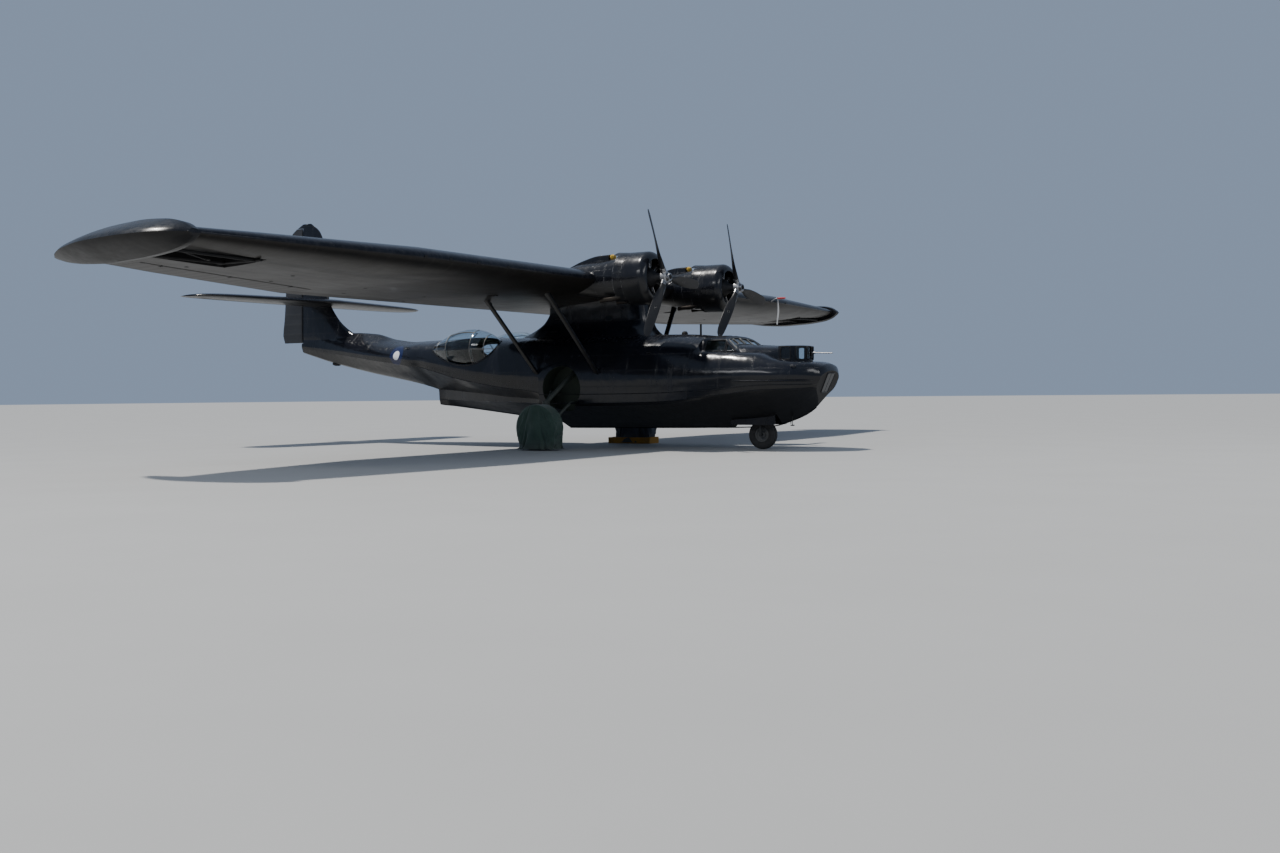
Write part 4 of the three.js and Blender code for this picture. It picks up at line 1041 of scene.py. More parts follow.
@dataclass(frozen=True)
class TyreRubber:
    """Black tyre rubber with ribs round the tread, grey dust, small cracks, and painted shade in the grooves.
    """

    name: str
    height: float = 0.597
    station: float = 7.35
    radius: float = 0.597

    def material(self) -> bpy.types.Material:
        """The material, built once.

        Returns:
            The material.
        """
        book = NodeBook(self.name)
        dx = book.coordinate("X") - x_of(self.station)
        dz = book.coordinate("Z") - self.height
        out = (dx * dx + dz * dz) ** 0.5
        tread = out.ramp(self.radius * 0.94, self.radius * 0.965)
        grooves = book.coordinate("Y").every(0.055).band(0.012) * tread
        fine = book.noise(22, 5, 0.65)
        cloud = book.noise(4, 4, 0.5)
        cracks = book.cracks(60).band(0.08) * fine.ramp(0.5, 0.65) * (1 - tread)
        colour = book.mix(fine.ramp(0.3, 0.8), (0.013, 0.013, 0.013), (0.035, 0.034, 0.033))
        colour = book.mix(tread * cloud * 0.6, colour, (0.085, 0.08, 0.074))
        # painted shade: the grooves of the tread are coloured darker
        colour = book.mix(grooves, colour, (0.005, 0.005, 0.005))
        book.bump((0.0 - grooves, 1.0, 0.006), (fine, 0.25, 0.002), (0.0 - cracks, 0.4, 0.001))
        return book.finish(base_color=colour, roughness=(0.78 + fine * 0.15).clamped())


@dataclass(frozen=True)
class BareMetal:
    """Bare or plated metal with brush marks, oil and a little corrosion."""

    name: str
    colour: Colour = (0.36, 0.36, 0.37)
    roughness: float = 0.32
    oily: float = 0.5

    def material(self) -> bpy.types.Material:
        """The material, built once.

        Returns:
            The material.
        """
        book = NodeBook(self.name)
        fine = book.noise(26, 5, 0.6)
        cloud = book.noise(5, 4, 0.55)
        brushed = book.noise(90, 3, 0.6, book.stretched((1.0, 0.15, 1.0)))
        oil = cloud.ramp(0.5, 0.72) * self.oily
        colour = book.mix(fine.ramp(0.3, 0.75) * 0.5, self.colour, tuple(c * 0.55 for c in self.colour))
        colour = book.mix(oil, colour, (0.03, 0.026, 0.022))
        book.bump((brushed, 0.08, 0.001), (fine, 0.12, 0.001))
        roughness = self.roughness + brushed * 0.14 + fine * 0.12 - oil * 0.1
        return book.finish(
            base_color=colour, roughness=roughness.clamped(), metallic=(1 - oil * 0.8).clamped()
        )


@dataclass(frozen=True)
class DullPaint:
    """Plain satin or matte paint on small fittings, chipped on its high spots, with grime."""

    name: str
    colour: Colour = (0.016, 0.016, 0.018)
    grime: Colour = (0.05, 0.045, 0.04)
    roughness: float = 0.5
    chips: float = 0.4

    def material(self) -> bpy.types.Material:
        """The material, built once.

        Returns:
            The material.
        """
        book = NodeBook(self.name)
        fine = book.noise(18, 5, 0.62)
        cloud = book.noise(3.2, 4, 0.55)
        flakes = book.noise(46, 3, 0.7).ramp(0.66, 0.7) * cloud.ramp(0.45, 0.6) * self.chips
        colour = book.mix(cloud.ramp(0.35, 0.8) * 0.55, self.colour, self.grime)
        colour = book.mix(fine.ramp(0.55, 0.8) * 0.2, colour, (0.01, 0.01, 0.01))
        colour = book.mix(flakes, colour, (0.3, 0.3, 0.3))
        book.bump((fine, 0.12, 0.002), (0.0 - flakes, 0.4, 0.0006))
        roughness = self.roughness + fine * 0.14 + cloud * 0.06
        return book.finish(
            base_color=colour, roughness=roughness.clamped(), metallic=(flakes * 0.8).clamped(),
            specular_ior_level=0.25,
        )


@dataclass(frozen=True)
class Canvas:
    """Proofed canvas: a plain weave, faded folds, seams' dirt and damp stains at the hem."""

    name: str
    colour: Colour = (0.060, 0.105, 0.085)
    faded: Colour = (0.125, 0.175, 0.15)
    weave: float = 700.0

    def material(self) -> bpy.types.Material:
        """The material, built once.

        Returns:
            The material.
        """
        book = NodeBook(self.name)
        x, y, z = (book.coordinate(k) for k in "XYZ")
        fine = book.noise(16, 5, 0.65)
        cloud = book.noise(2.6, 4, 0.55)
        threads = book.calc("SINE", (x + y) * self.weave) * book.calc("SINE", z * self.weave)
        hem = (0.32 - z).ramp(0.0, 0.25)
        colour = book.mix(cloud.ramp(0.3, 0.75), self.colour, self.faded)
        colour = book.mix(fine.ramp(0.5, 0.8) * 0.35, colour, tuple(c * 0.5 for c in self.colour))
        colour = book.mix(hem * (0.35 + 0.5 * fine), colour, (0.05, 0.055, 0.045))
        book.bump((fine, 0.15, 0.004), (threads, 0.35, 0.0006))
        return book.finish(
            base_color=colour, roughness=(0.84 + fine * 0.1).clamped(), sheen_weight=0.25, sheen_roughness=0.5
        )


class FinishShelf:
    """Makes each finish's material once, and hands it out by the finish."""

    def __init__(self) -> None:
        """Starts with nothing made."""
        self._made: dict[Any, bpy.types.Material] = {}

    def __call__(self, finish: Any) -> bpy.types.Material:
        """The material of a finish.

        Args:
            finish: any finish.

        Returns:
            Its material.
        """
        if finish not in self._made:
            self._made[finish] = finish.material()
        return self._made[finish]


SHELF = FinishShelf()

HULL_PAINT = GlossPaint("hull_paint", disc=(13.63, 2.69, 0.3))
COWL_PAINT = GlossPaint(
    "cowl_paint", Seams.ROUND, colour=(0.006, 0.006, 0.0075), roughness=0.15, scuffed=0.95
)
FIN_PAINT = GlossPaint("fin_paint", Seams.HULL, frames=0.55, strakes=0.5)
PLAIN_PAINT = GlossPaint("fitting_paint", Seams.PLAIN, roughness=0.2, shine=0.2)
WING_PAINT = WingPaint("wing_paint")
OUTER_PAINT = WingPaint("outer_wing_paint", cloth_aft=True)
AILERON_CLOTH = DopedCloth("aileron_cloth")
RUDDER_CLOTH = DopedCloth("rudder_cloth", rib_axis="Z")
PANE = ClearPane("clear_pane")
MAIN_RUBBER = TyreRubber("main_rubber")
NOSE_RUBBER = TyreRubber("nose_rubber", 0.381, 1.96, 0.381)
STEEL = BareMetal("bare_steel")
CHROME = BareMetal("plated_steel", (0.42, 0.42, 0.43), 0.16, 0.3)
# Near-black engine casting: partly dark paint, and partly painted shade for the unlit inside of the cowl.
CASTING_DARKENED_FOR_SHADE = BareMetal("engine_casting_darkened_for_shade", (0.045, 0.045, 0.048), 0.5, 0.7)
BLADE_PAINT = DullPaint("blade_paint", (0.012, 0.012, 0.0135), (0.028, 0.028, 0.03), 0.34)
DARK_PAINT = DullPaint("dark_paint", (0.008, 0.008, 0.009), (0.02, 0.019, 0.018))
INSIDE_PAINT = DullPaint("inside_paint", (0.035, 0.045, 0.032), (0.02, 0.02, 0.018), 0.6)
RED_PAINT = DullPaint("red_paint", (0.32, 0.012, 0.010), (0.16, 0.02, 0.015), 0.45)
YELLOW_PAINT = DullPaint("yellow_paint", (0.36, 0.18, 0.02), (0.10, 0.065, 0.03), 0.6)
PALE_PAINT = DullPaint("pale_paint", (0.62, 0.62, 0.60), (0.4, 0.39, 0.37), 0.5, 0.2)
COVER_CANVAS = Canvas("cover_canvas", (0.020, 0.046, 0.034), (0.042, 0.078, 0.060))
COVER_BLUE = Canvas("cover_blue", (0.014, 0.020, 0.034), (0.03, 0.04, 0.06))
SEAT_CLOTH = Canvas("seat_cloth", (0.05, 0.045, 0.035), (0.08, 0.075, 0.06))
PLUG_CLOTH = Canvas("plug_cloth", (0.62, 0.36, 0.02), (0.72, 0.48, 0.08))
RED_CLOTH = Canvas("red_cloth", (0.45, 0.015, 0.015), (0.55, 0.05, 0.04))
WHITE_CLOTH = Canvas("white_cloth", (0.62, 0.6, 0.58), (0.74, 0.73, 0.7))
FRAME_METAL = BareMetal("frame_metal", (0.2, 0.2, 0.19), 0.4)
BURNT_METAL = BareMetal("burnt_metal", (0.06, 0.052, 0.046), 0.4, 0.3)
# painted shade for the unlit rooms behind the sighting pane and the pylon windows
DARK_PANE = DarkPane("dark_pane")
FLOAT_PAINT = GlossPaint(
    "float_paint", Seams.PLAIN, haze=(0.012, 0.0125, 0.0145), roughness=0.2, scuffed=0.7, shine=0.24
)
GEAR_PAINT = DullPaint("gear_paint", (0.062, 0.072, 0.064), (0.035, 0.035, 0.03), 0.45)
GEAR_DARK = DullPaint("gear_dark", (0.025, 0.027, 0.028), (0.05, 0.045, 0.04), 0.42)
GREY_PAINT = DullPaint("grey_paint", (0.10, 0.10, 0.10), (0.06, 0.06, 0.055), 0.45)


def publish(
    thing: bpy.types.Object,
    finish: Any = None,
    replaces: Sequence[str] = (),
    body: str = "airframe",
) -> None:
    """Dresses a finished piece, sets it riding on its body and reports it.

    Args:
        thing: the piece, with its place in its mesh.
        finish: the finish of the whole piece, or None to leave the materials that it has.
        replaces: the CAD nodes that it stands for.
        body: the CAD body that it rides on.
    """
    if finish is not None:
        thing.data.materials.clear()
        thing.data.materials.append(SHELF(finish))
    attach(thing, body)
    if replaces:
        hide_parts(*replaces)
    log.info("%s: %d faces on %s", thing.name, len(thing.data.polygons), body)


def rounded(outline: Sequence[Sequence[float]], radius: float, steps: int = 4) -> Array:
    """An outline with its corners rounded, each by a parabola that starts a radius away from it.

    Args:
        outline: corners, in order.
        radius: how far from a corner its curve starts, or less on a short side.
        steps: stretches in each curve.

    Returns:
        The closed outline.
    """
    p = np.array(outline, float)
    runs = []
    for before, corner, after in zip(np.roll(p, 1, axis=0), p, np.roll(p, -1, axis=0)):
        reach = min(radius, 0.45 * np.linalg.norm(before - corner), 0.45 * np.linalg.norm(after - corner))
        a = corner + (before - corner) / np.linalg.norm(before - corner) * reach
        b = corner + (after - corner) / np.linalg.norm(after - corner) * reach
        t = np.linspace(0, 1, steps + 1)[:, None]
        runs.append((1 - t) ** 2 * a + 2 * t * (1 - t) * corner + t**2 * b)
    return np.concatenate(runs)


def dense(outline: Array, spacing: float) -> Array:
    """A closed outline with points added so that none are further apart than the spacing.

    Args:
        outline: corners, in order.
        spacing: the widest gap.

    Returns:
        The closed outline.
    """
    runs = []
    for a, b in zip(outline, np.roll(outline, -1, axis=0)):
        count = max(1, math.ceil(np.linalg.norm(b - a) / spacing))
        runs.append(a + (b - a) * np.linspace(0, 1, count, endpoint=False)[:, None])
    return np.concatenate(runs)


# How far the rounded nose of a moving surface reaches ahead of its pins
NOSE_REACH = 0.03


def foil_loop(chord: Array, thick: Array, camber: float, start: Array | None = None) -> Array:
    """Closed wing-section outlines, as distances aft and above.

    Half the thickness at share x of the chord is 5 t (0.2969 sqrt x - 0.126 x - 0.3516 x^2 +
    0.2843 x^3 - 0.1015 x^4) and the middle line is 4 camber x (1 - x).

    Args:
        chord: lengths of the chords.
        thick: thickness shares of the chords.
        camber: height share of the middle line.
        start: share of each chord to begin at, closed by a half ellipse, or None for whole sections.

    Returns:
        Shape (sections, points, 2), from the upper trailing edge round the nose to the lower one.
    """
    first = np.zeros(len(chord)) if start is None else start
    t = np.linspace(0, math.pi, 30 if start is None else 16)
    spread = (1 - np.cos(t)) / 2 if start is None else np.linspace(0, 1, 16)
    x = first[:, None] + (1 - first[:, None]) * spread[None]
    shape = 0.2969 * np.sqrt(x) - 0.126 * x - 0.3516 * x**2 + 0.2843 * x**3 - 0.1015 * x**4
    half = 5 * thick[:, None] * shape
    middle = 4 * camber * x * (1 - x)
    upper = np.stack([x, middle + half], axis=2)[:, ::-1]
    lower = np.stack([x, middle - half], axis=2)[:, 1:]
    parts = [upper, lower]
    if start is not None:
        angle = np.linspace(0, math.pi, 13)[None, 1:-1]
        ahead = x[:, :1] - NOSE_REACH / chord[:, None] * np.sin(angle)
        height = middle[:, :1] + half[:, :1] * np.cos(angle)
        lower_start = np.stack([x[:, :1], middle[:, :1] - half[:, :1]], axis=2)
        parts = [upper, np.stack([ahead, height], axis=2), lower_start, lower]
    return np.concatenate(parts, axis=1) * chord[:, None, None]


# Hull

# Each row is one cross-section in millimetres: its station, the keel's height, then y and z of the lower
# chine, the foot of the side, the upper chine, the widest point, the shoulder and the crown, and the deck.
HULL_TABLE = np.array([
    [0, 1790, 190, 1810, 290, 1850, 350, 1900, 370, 1990, 290, 2080, 150, 2125, 2140],
    [120, 1480, 430, 1580, 520, 1640, 600, 1720, 650, 1920, 540, 2120, 280, 2195, 2215],
    [350, 1190, 680, 1530, 770, 1590, 850, 1680, 900, 1950, 770, 2190, 400, 2255, 2265],
    [700, 930, 900, 1500, 1000, 1570, 1080, 1680, 1130, 1980, 930, 2235, 450, 2268, 2272],
    [1150, 745, 1130, 1490, 1220, 1560, 1290, 1680, 1330, 2000, 1080, 2300, 520, 2330, 2335],
    [1620, 615, 1290, 1470, 1370, 1540, 1420, 1660, 1450, 2020, 1190, 2420, 650, 2520, 2530],
    [2300, 580, 1400, 1400, 1460, 1460, 1500, 1600, 1520, 2030, 1240, 2480, 700, 2530, 2535],
    [3200, 565, 1470, 1300, 1510, 1360, 1540, 1540, 1550, 2040, 1240, 2560, 700, 2535, 2535],
    [3260, 565, 1475, 1290, 1515, 1350, 1543, 1540, 1550, 2040, 1230, 2640, 700, 2945, 3000],
    [4200, 555, 1500, 1200, 1540, 1270, 1555, 1500, 1560, 2060, 1260, 2720, 720, 3010, 3070],
    [6000, 545, 1500, 1160, 1545, 1240, 1558, 1480, 1560, 2080, 1290, 2780, 760, 3040, 3090],
    [8045, 535, 1490, 1160, 1530, 1240, 1545, 1480, 1550, 2100, 1290, 2800, 760, 3050, 3100],
    [8055, 680, 1360, 1230, 1380, 1330, 1500, 1520, 1550, 2100, 1290, 2800, 760, 3050, 3100],
    [9400, 840, 1040, 1270, 1060, 1420, 1460, 1690, 1530, 2150, 1280, 2820, 750, 3065, 3115],
    [10900, 1015, 600, 1310, 620, 1540, 1390, 1930, 1450, 2330, 1220, 2870, 700, 3120, 3185],
    [12200, 1160, 190, 1345, 210, 1630, 1230, 2230, 1290, 2520, 1080, 2920, 600, 3110, 3165],
    [12795, 1220, 40, 1360, 50, 1660, 1130, 2330, 1190, 2590, 1000, 2930, 550, 3090, 3145],
    [12805, 1655, 40, 1660, 60, 1665, 1130, 2330, 1190, 2590, 1000, 2930, 550, 3090, 3145],
    [13600, 1850, 60, 1860, 180, 1890, 1000, 2430, 1050, 2650, 870, 2930, 470, 3080, 3130],
    [14500, 2020, 70, 2035, 190, 2075, 830, 2530, 870, 2730, 700, 2970, 360, 3140, 3220],
    [15300, 2160, 70, 2175, 190, 2215, 660, 2630, 690, 2810, 540, 3050, 260, 3270, 3420],
    [16300, 2360, 60, 2375, 160, 2415, 450, 2760, 470, 2930, 360, 3150, 170, 3340, 3480],
    [17300, 2580, 50, 2595, 120, 2630, 270, 2900, 280, 3030, 220, 3200, 130, 3340, 3460],
    [18450, 2890, 30, 2900, 70, 2930, 120, 3060, 125, 3130, 110, 3220, 90, 3330, 3430],
], float) / 1000
NOSE_ROUND = 0.12
NOSE_MIDDLE = np.array([0.0, 1.97])
BOTTOM_POINTS = 14


def ring_normals(rings: Array) -> Array:
    """Outward unit normals of closed (y, z) rings that run from the keel up the port side.

    Args:
        rings: shape (rings, points, 2).

    Returns:
        The normals, in the same shape.
    """
    way = np.roll(rings, -1, axis=1) - np.roll(rings, 1, axis=1)
    length = np.maximum(np.linalg.norm(way, axis=2, keepdims=True), 1e-9)
    return np.stack([way[..., 1], -way[..., 0]], axis=2) / length


def both_sides(half: Array) -> Array:
    """Closed (y, z) rings from their port halves, which end on the centre plane."""
    return np.concatenate([half, half[:, -2::-1] * FLIP], axis=1)


def stood(stations: Array, rings: Array) -> Array:
    """The points in space of (y, z) rings that stand at the stations."""
    x = np.broadcast_to(x_of(stations)[:, None, None], (*rings.shape[:2], 1))
    return np.concatenate([x, rings], axis=2)


def hull_rings(stations: Array, grow: float = 0.0) -> Array:
    """The hull's cross-sections, as rings of points from the keel up the port side.

    The bottom is straight from the keel to the lower chine, the foot and the upper chine; the side is
    one smooth curve from there to a level deck. Ahead of the first full section the ring shrinks as
    the square root of 1 - (1 - s)^2, which rounds the nose.

    Args:
        stations: where to cut.
        grow: moves the rings outwards by this much.

    Returns:
        Shape (stations, points, 3).
    """
    rows = monotone(HULL_TABLE, np.maximum(stations, NOSE_ROUND))
    pairs = rows[:, 1:13].reshape(len(rows), 6, 2)
    keel = np.stack([np.zeros(len(rows)), rows[:, 0]], axis=1)
    deck = np.stack([np.zeros(len(rows)), rows[:, 13]], axis=1)
    corners = np.concatenate([keel[:, None], pairs[:, :3]], axis=1)
    bottom = []
    for k, count in enumerate((8, 3, 3)):
        t = np.linspace(0, 1, count, endpoint=False)[None, :, None]
        bottom.append(corners[:, k, None] * (1 - t) + corners[:, k + 1, None] * t)
    points = np.concatenate([pairs[:, 2:], deck[:, None]], axis=1)
    side = smooth_run(points, 7, 2 * pairs[:, 2] - pairs[:, 3], pairs[:, 5] * FLIP)
    half = np.concatenate([*bottom, side], axis=1)
    rings = np.concatenate([half, half[:, -2:0:-1] * FLIP], axis=1)
    s = np.clip(stations / NOSE_ROUND, 0.0, 1.0)
    shrink = np.sqrt(np.maximum(1 - (1 - s) ** 2, 0.0006))[:, None, None]
    rings = NOSE_MIDDLE + (rings - NOSE_MIDDLE) * shrink + grow * ring_normals(rings)
    return stood(stations, rings)


def chine_line(stations: Array, corner: int) -> Array:
    """A lengthwise edge of the port side: corner 0 is the lower chine and corner 2 the upper one."""
    rows = monotone(HULL_TABLE, stations)
    return np.stack([x_of(stations), rows[:, 1 + 2 * corner], rows[:, 2 + 2 * corner]], axis=1)


def hull_half(station: float, z: float | Array) -> float | Array:
    """The half width of the hull's side at a station and a height.

    Args:
        station: where to cut.
        z: one height or more.

    Returns:
        The half width at each height.
    """
    ring = hull_rings(np.array([station]))[0]
    side = ring[BOTTOM_POINTS : len(ring) // 2 + 1]
    return np.interp(z, side[:, 2], side[:, 1])


@dataclass
class Hull:
    """The stepped hull, from the bow to the tail, with its wells, hatches and compartments.

    Fields:
        spacing: greatest distance between cross-sections.
        length: station of its rear end.
        wall: thickness of the sides round the compartments.
        bow_room, waist_room: first and last station, floor and ceiling of each compartment.
        well: station, height and radius of the round wells for the main wheels.
        cleats: station and height of each mooring cleat.
        posts: station, distance to port, upper and lower end and radius of the posts under the bow.
        stops: stations that a cross-section must stand at.
    """

    spacing: float = 0.12
    length: float = 18.45
    wall: float = 0.05
    bow_room: tuple[float, float, float, float] = (0.35, 3.12, 1.56, 2.46)
    waist_room: tuple[float, float, float, float] = (9.1, 12.7, 1.8, 3.02)
    well: tuple[float, float, float] = (7.28, 1.64, 0.62)
    cleats: tuple[tuple[float, float], ...] = ((0.62, 2.12), (4.6, 2.55), (13.2, 2.9), (15.0, 2.9))
    posts: tuple[tuple[float, ...], ...] = ((1.30, 0.3, 0.95, 0.66, 0.012), (1.05, -0.16, 0.90, 0.64, 0.010))
    stops: tuple[float, ...] = (
        0.004, 0.014, 0.03, 0.055, 0.085, 0.12, 0.35, 3.2, 3.26, 8.045, 8.055, 12.795, 12.805,
    )

    def solid(self, name: str, start: float, end: float) -> bpy.types.Object:
        """A closed length of the hull between two stations.

        Args:
            name: the object's name.
            start: its first station.
            end: its last.

        Returns:
            The solid.
        """
        inner = [s for s in self.stops if start < s < end]
        stations = fine_steps([start, *inner, end], self.spacing)
        return Maker().solid(hull_rings(stations)).mesh_object(name, 24)

    def _hollow(self, start: float, end: float, floor: float, ceiling: float) -> Maker:
        """A compartment: the hull's side moved inwards by the wall, with a flat floor and ceiling.

        Args:
            start: its first station.
            end: its last.
            floor: height of its floor.
            ceiling: height of its ceiling.

        Returns:
            A maker with the space as a solid.
        """
        rings = hull_rings(np.linspace(start, end, 26), -self.wall)
        half = rings[:, BOTTOM_POINTS : rings.shape[1] // 2 + 1].copy()
        half[..., 2] = np.clip(half[..., 2], floor, ceiling)
        half[:, -1, 1] = 0.0
        foot = half[:, :1] * np.array([1.0, 0.0, 1.0])
        ring = np.concatenate([foot, half, half[:, -2::-1] * MIRROR], axis=1)
        return Maker().solid(ring)

    def _spaces(self) -> dict[str, Maker]:
        """The spaces that are taken out of the hull and painted as its inside.

        Returns:
            A solid for each space, by name.
        """
        station, z, radius = self.well
        plan = bow_plan(0.09)
        low = np.column_stack([plan, np.full(len(plan), 2.2)])
        spaces = {
            "bow_compartment": self._hollow(*self.bow_room),
            "waist_compartment": self._hollow(*self.waist_room),
            "cockpit_hatch": Maker().block((x_of(3.1), -0.8, 2.0), (x_of(1.8), 0.8, 2.9)),
            "bow_hatch": Maker().prism(low, (0, 0, 0.6)),
            "nose_well": Maker().block((x_of(2.76), -0.38, 0.0), (x_of(1.4), 0.38, 1.48)),
        }
        for name, side in SIDES.items():
            disc = [(0, 0), (0, radius), (0.8, radius), (0.8, 0)]
            well = Maker().turned(disc, at(station, 1.08, z), Axis.Y, 64)
            spaces["main_well_" + name] = well.on_side(side)
            rim = blister_rim(0.04, 0.93, -0.022)
            hole = Maker().turned([(rim[0][0], 0), *rim, (rim[-1][0], 0)], BLISTER_CENTRE, Axis.X, 64)
            spaces["blister_hole_" + name] = hole.on_side(side)
        return spaces

    def build(self) -> None:
        """Makes the shell, and the strips and fittings that stand on it."""
        shell = self.solid("hull_shell", 0.0, self.length)
        shell.data.materials.append(SHELF(HULL_PAINT))
        tools = [space.mesh_object(name, finish=INSIDE_PAINT) for name, space in self._spaces().items()]
        stem = np.array(
            [[10.2, -2, 2.04], [9.7, -2, 2.04], [9.28, -2, 1.095], [9.28, -2, 0.7], [10.2, -2, 0.7]]
        )
        notch = Maker().block((x_of(19), -1, 3.203), (x_of(18.395), 1, 4))
        ahead = Maker().prism(stem, (0, 4, 0))
        tools += [ahead.mesh_object("ahead_of_pane", finish=DARK_PAINT)]
        tools += [notch.mesh_object("rudder_notch", finish=HULL_PAINT)]
        carved(shell, tools, sharp_deg=26)
        nodes = ["hull_bow", "hull_centre", "hull_waist", "hull_tail"]
        publish(shell, replaces=nodes)
        self._strips()
        self._pane()
        self._fittings()

    def _strips(self) -> None:
        """The rubbing strips along the chines and the keel, and the spray rails of the bow."""
        for name, side in SIDES.items():
            fore, aft = np.linspace(0.24, 8.04, 90), np.linspace(8.06, 12.7, 60)
            strips = Maker().tube(chine_line(fore, 1) + np.array([0, 0.002, -0.004]), 0.011, 8)
            strips.tube(chine_line(fore, 2) + np.array([0, 0.002, 0]), 0.009, 8)
            strips.tube(chine_line(aft, 2) + np.array([0, 0.002, 0]), 0.008, 8)
            stations = np.linspace(0.2, 2.15, 40)
            rail = np.array([at(s, hull_half(s, 1.78) + 0.012, 1.78) for s in stations])
            taper = np.interp(np.linspace(0, 1, 40), [0, 0.1, 0.85, 1], [0.012, 0.024, 0.024, 0.006])
            strips.tube(rail, taper, 10)
            thing = strips.on_side(side).mesh_object("chine_strips_" + name)
            publish(thing, PLAIN_PAINT)
        strip = Maker()
        for start, end, radius in ((0.45, 8.03, 0.016), (8.07, 12.78, 0.013)):
            stations = np.linspace(start, end, 60)
            keel = monotone(HULL_TABLE, stations)[:, 0]
            strip.tube(np.stack([x_of(stations), np.zeros(60), keel - 0.002], axis=1), radius, 10)
        publish(strip.mesh_object("keel_strip"), PLAIN_PAINT)

    def _pane(self) -> None:
        """The flat sighting pane in the stem, with its frame of screwed strips."""
        slope = np.array([-0.42, 0.0, -0.945]) / math.hypot(0.42, 0.945)
        out = np.array([0.945, 0.0, -0.42]) / math.hypot(0.42, 0.945)
        top = at(0.036, 0, 1.96)
        corners = rounded([(0.0, -0.24), (0.0, 0.24), (0.52, 0.20), (0.52, -0.20)], 0.05)
        ring = np.array([top + slope * d + np.array([0, y, 0]) for d, y in corners])
        strips = Maker().tube(ring + out * 0.004, 0.016, 8, closed=True)
        strips.bar(top + out * 0.004, top + slope * 0.52 + out * 0.004, 0.01, 8)
        publish(strips.mesh_object("pane_frame"), PLAIN_PAINT)
        glass = Maker().prism(ring + out * 0.003, out * 0.006)
        publish(glass.mesh_object("sighting_pane"), DARK_PANE)

    def _fittings(self) -> None:
        """Mooring cleats, posts under the bow, the deck dome and the bulge under the tail."""
        bits = Maker()
        for station, z in self.cleats:
            for side in (1, -1):
                y = float(hull_half(station, z))
                lift = np.array([0, 0.045 * side, 0.01])
                ends = [at(station + d, side * y, z) for d in (-0.05, 0.05)]
                bits.bar(ends[0] + lift * 1.2, ends[1] + lift * 1.2, 0.011, 8)
                for end in ends:
                    bits.bar(end - lift * 0.3, end + lift * 1.2, 0.010, 8)
        for station, y, high, low, radius in self.posts:
            bits.bar(at(station, y, high), at(station, y, low), radius, 8)
        bits.block((x_of(1.09), -0.2, 0.62), (x_of(1.01), -0.12, 0.65))
        dome = [(0, 0.085), (0.05, 0.083), (0.08, 0.07), (0.10, 0.045), (0.108, 0)]
        bits.turned(dome, at(4.28, 0, 3.06), Axis.Z, 28)
        bulge = [(-0.22, 0.0), (-0.18, 0.045), (-0.08, 0.07), (0.06, 0.07), (0.2, 0.03), (0.24, 0)]
        bits.turned(bulge, at(17.0, 0, 2.52), Axis.X, 20)
        publish(bits.mesh_object("hull_fittings"), DARK_PAINT)


# Bow enclosure

HOUSE_CENTRE, HOUSE_RADIUS, HOUSE_REAR = 1.15, 0.57, 1.25


def house_point(along: Array, inset: float) -> Array:
    """Points (x, y) on the bow enclosure's wall, a distance along it from its foremost point.

    The wall is a half circle whose ends run straight aft; a positive distance goes to port.

    Args:
        along: distances along the wall.
        inset: how far inside the wall's face.

    Returns:
        Shape (points, 2).
    """
    quarter = HOUSE_RADIUS * math.pi / 2
    angle = np.clip(along / HOUSE_RADIUS, -math.pi / 2, math.pi / 2)
    r = HOUSE_RADIUS - inset
    past = np.maximum(np.abs(along) - quarter, 0)
    x = x_of(HOUSE_CENTRE) + r * np.cos(angle) - past
    return np.stack([x, r * np.sin(angle)], axis=-1)


def bow_plan(inset: float) -> Array:
    """The closed outline (x, y) of the bow enclosure, moved inwards by the inset."""
    reach = HOUSE_RADIUS * math.pi / 2 + HOUSE_REAR - HOUSE_CENTRE
    return house_point(np.linspace(-reach, reach, 49), inset)


# Rows are a station in millimetres, then y and z from the foot of the deck's side to its crown.
FOREDECK_TABLE = np.array([
    [1222, 560, 2240, 550, 2480, 470, 2600, 270, 2672, 0, 2689],
    [1450, 700, 2300, 670, 2480, 550, 2610, 300, 2682, 0, 2700],
    [1750, 850, 2400, 800, 2515, 640, 2640, 340, 2702, 0, 2718],
    [2100, 950, 2440, 890, 2550, 720, 2665, 390, 2722, 0, 2736],
    [2420, 990, 2450, 930, 2570, 750, 2680, 400, 2730, 0, 2742],
], float) / 1000


def windshield_station(z: float) -> float:
    """The station of the windshield's slope at a height."""
    return 1.99 + 1.24 * (z - 2.4)


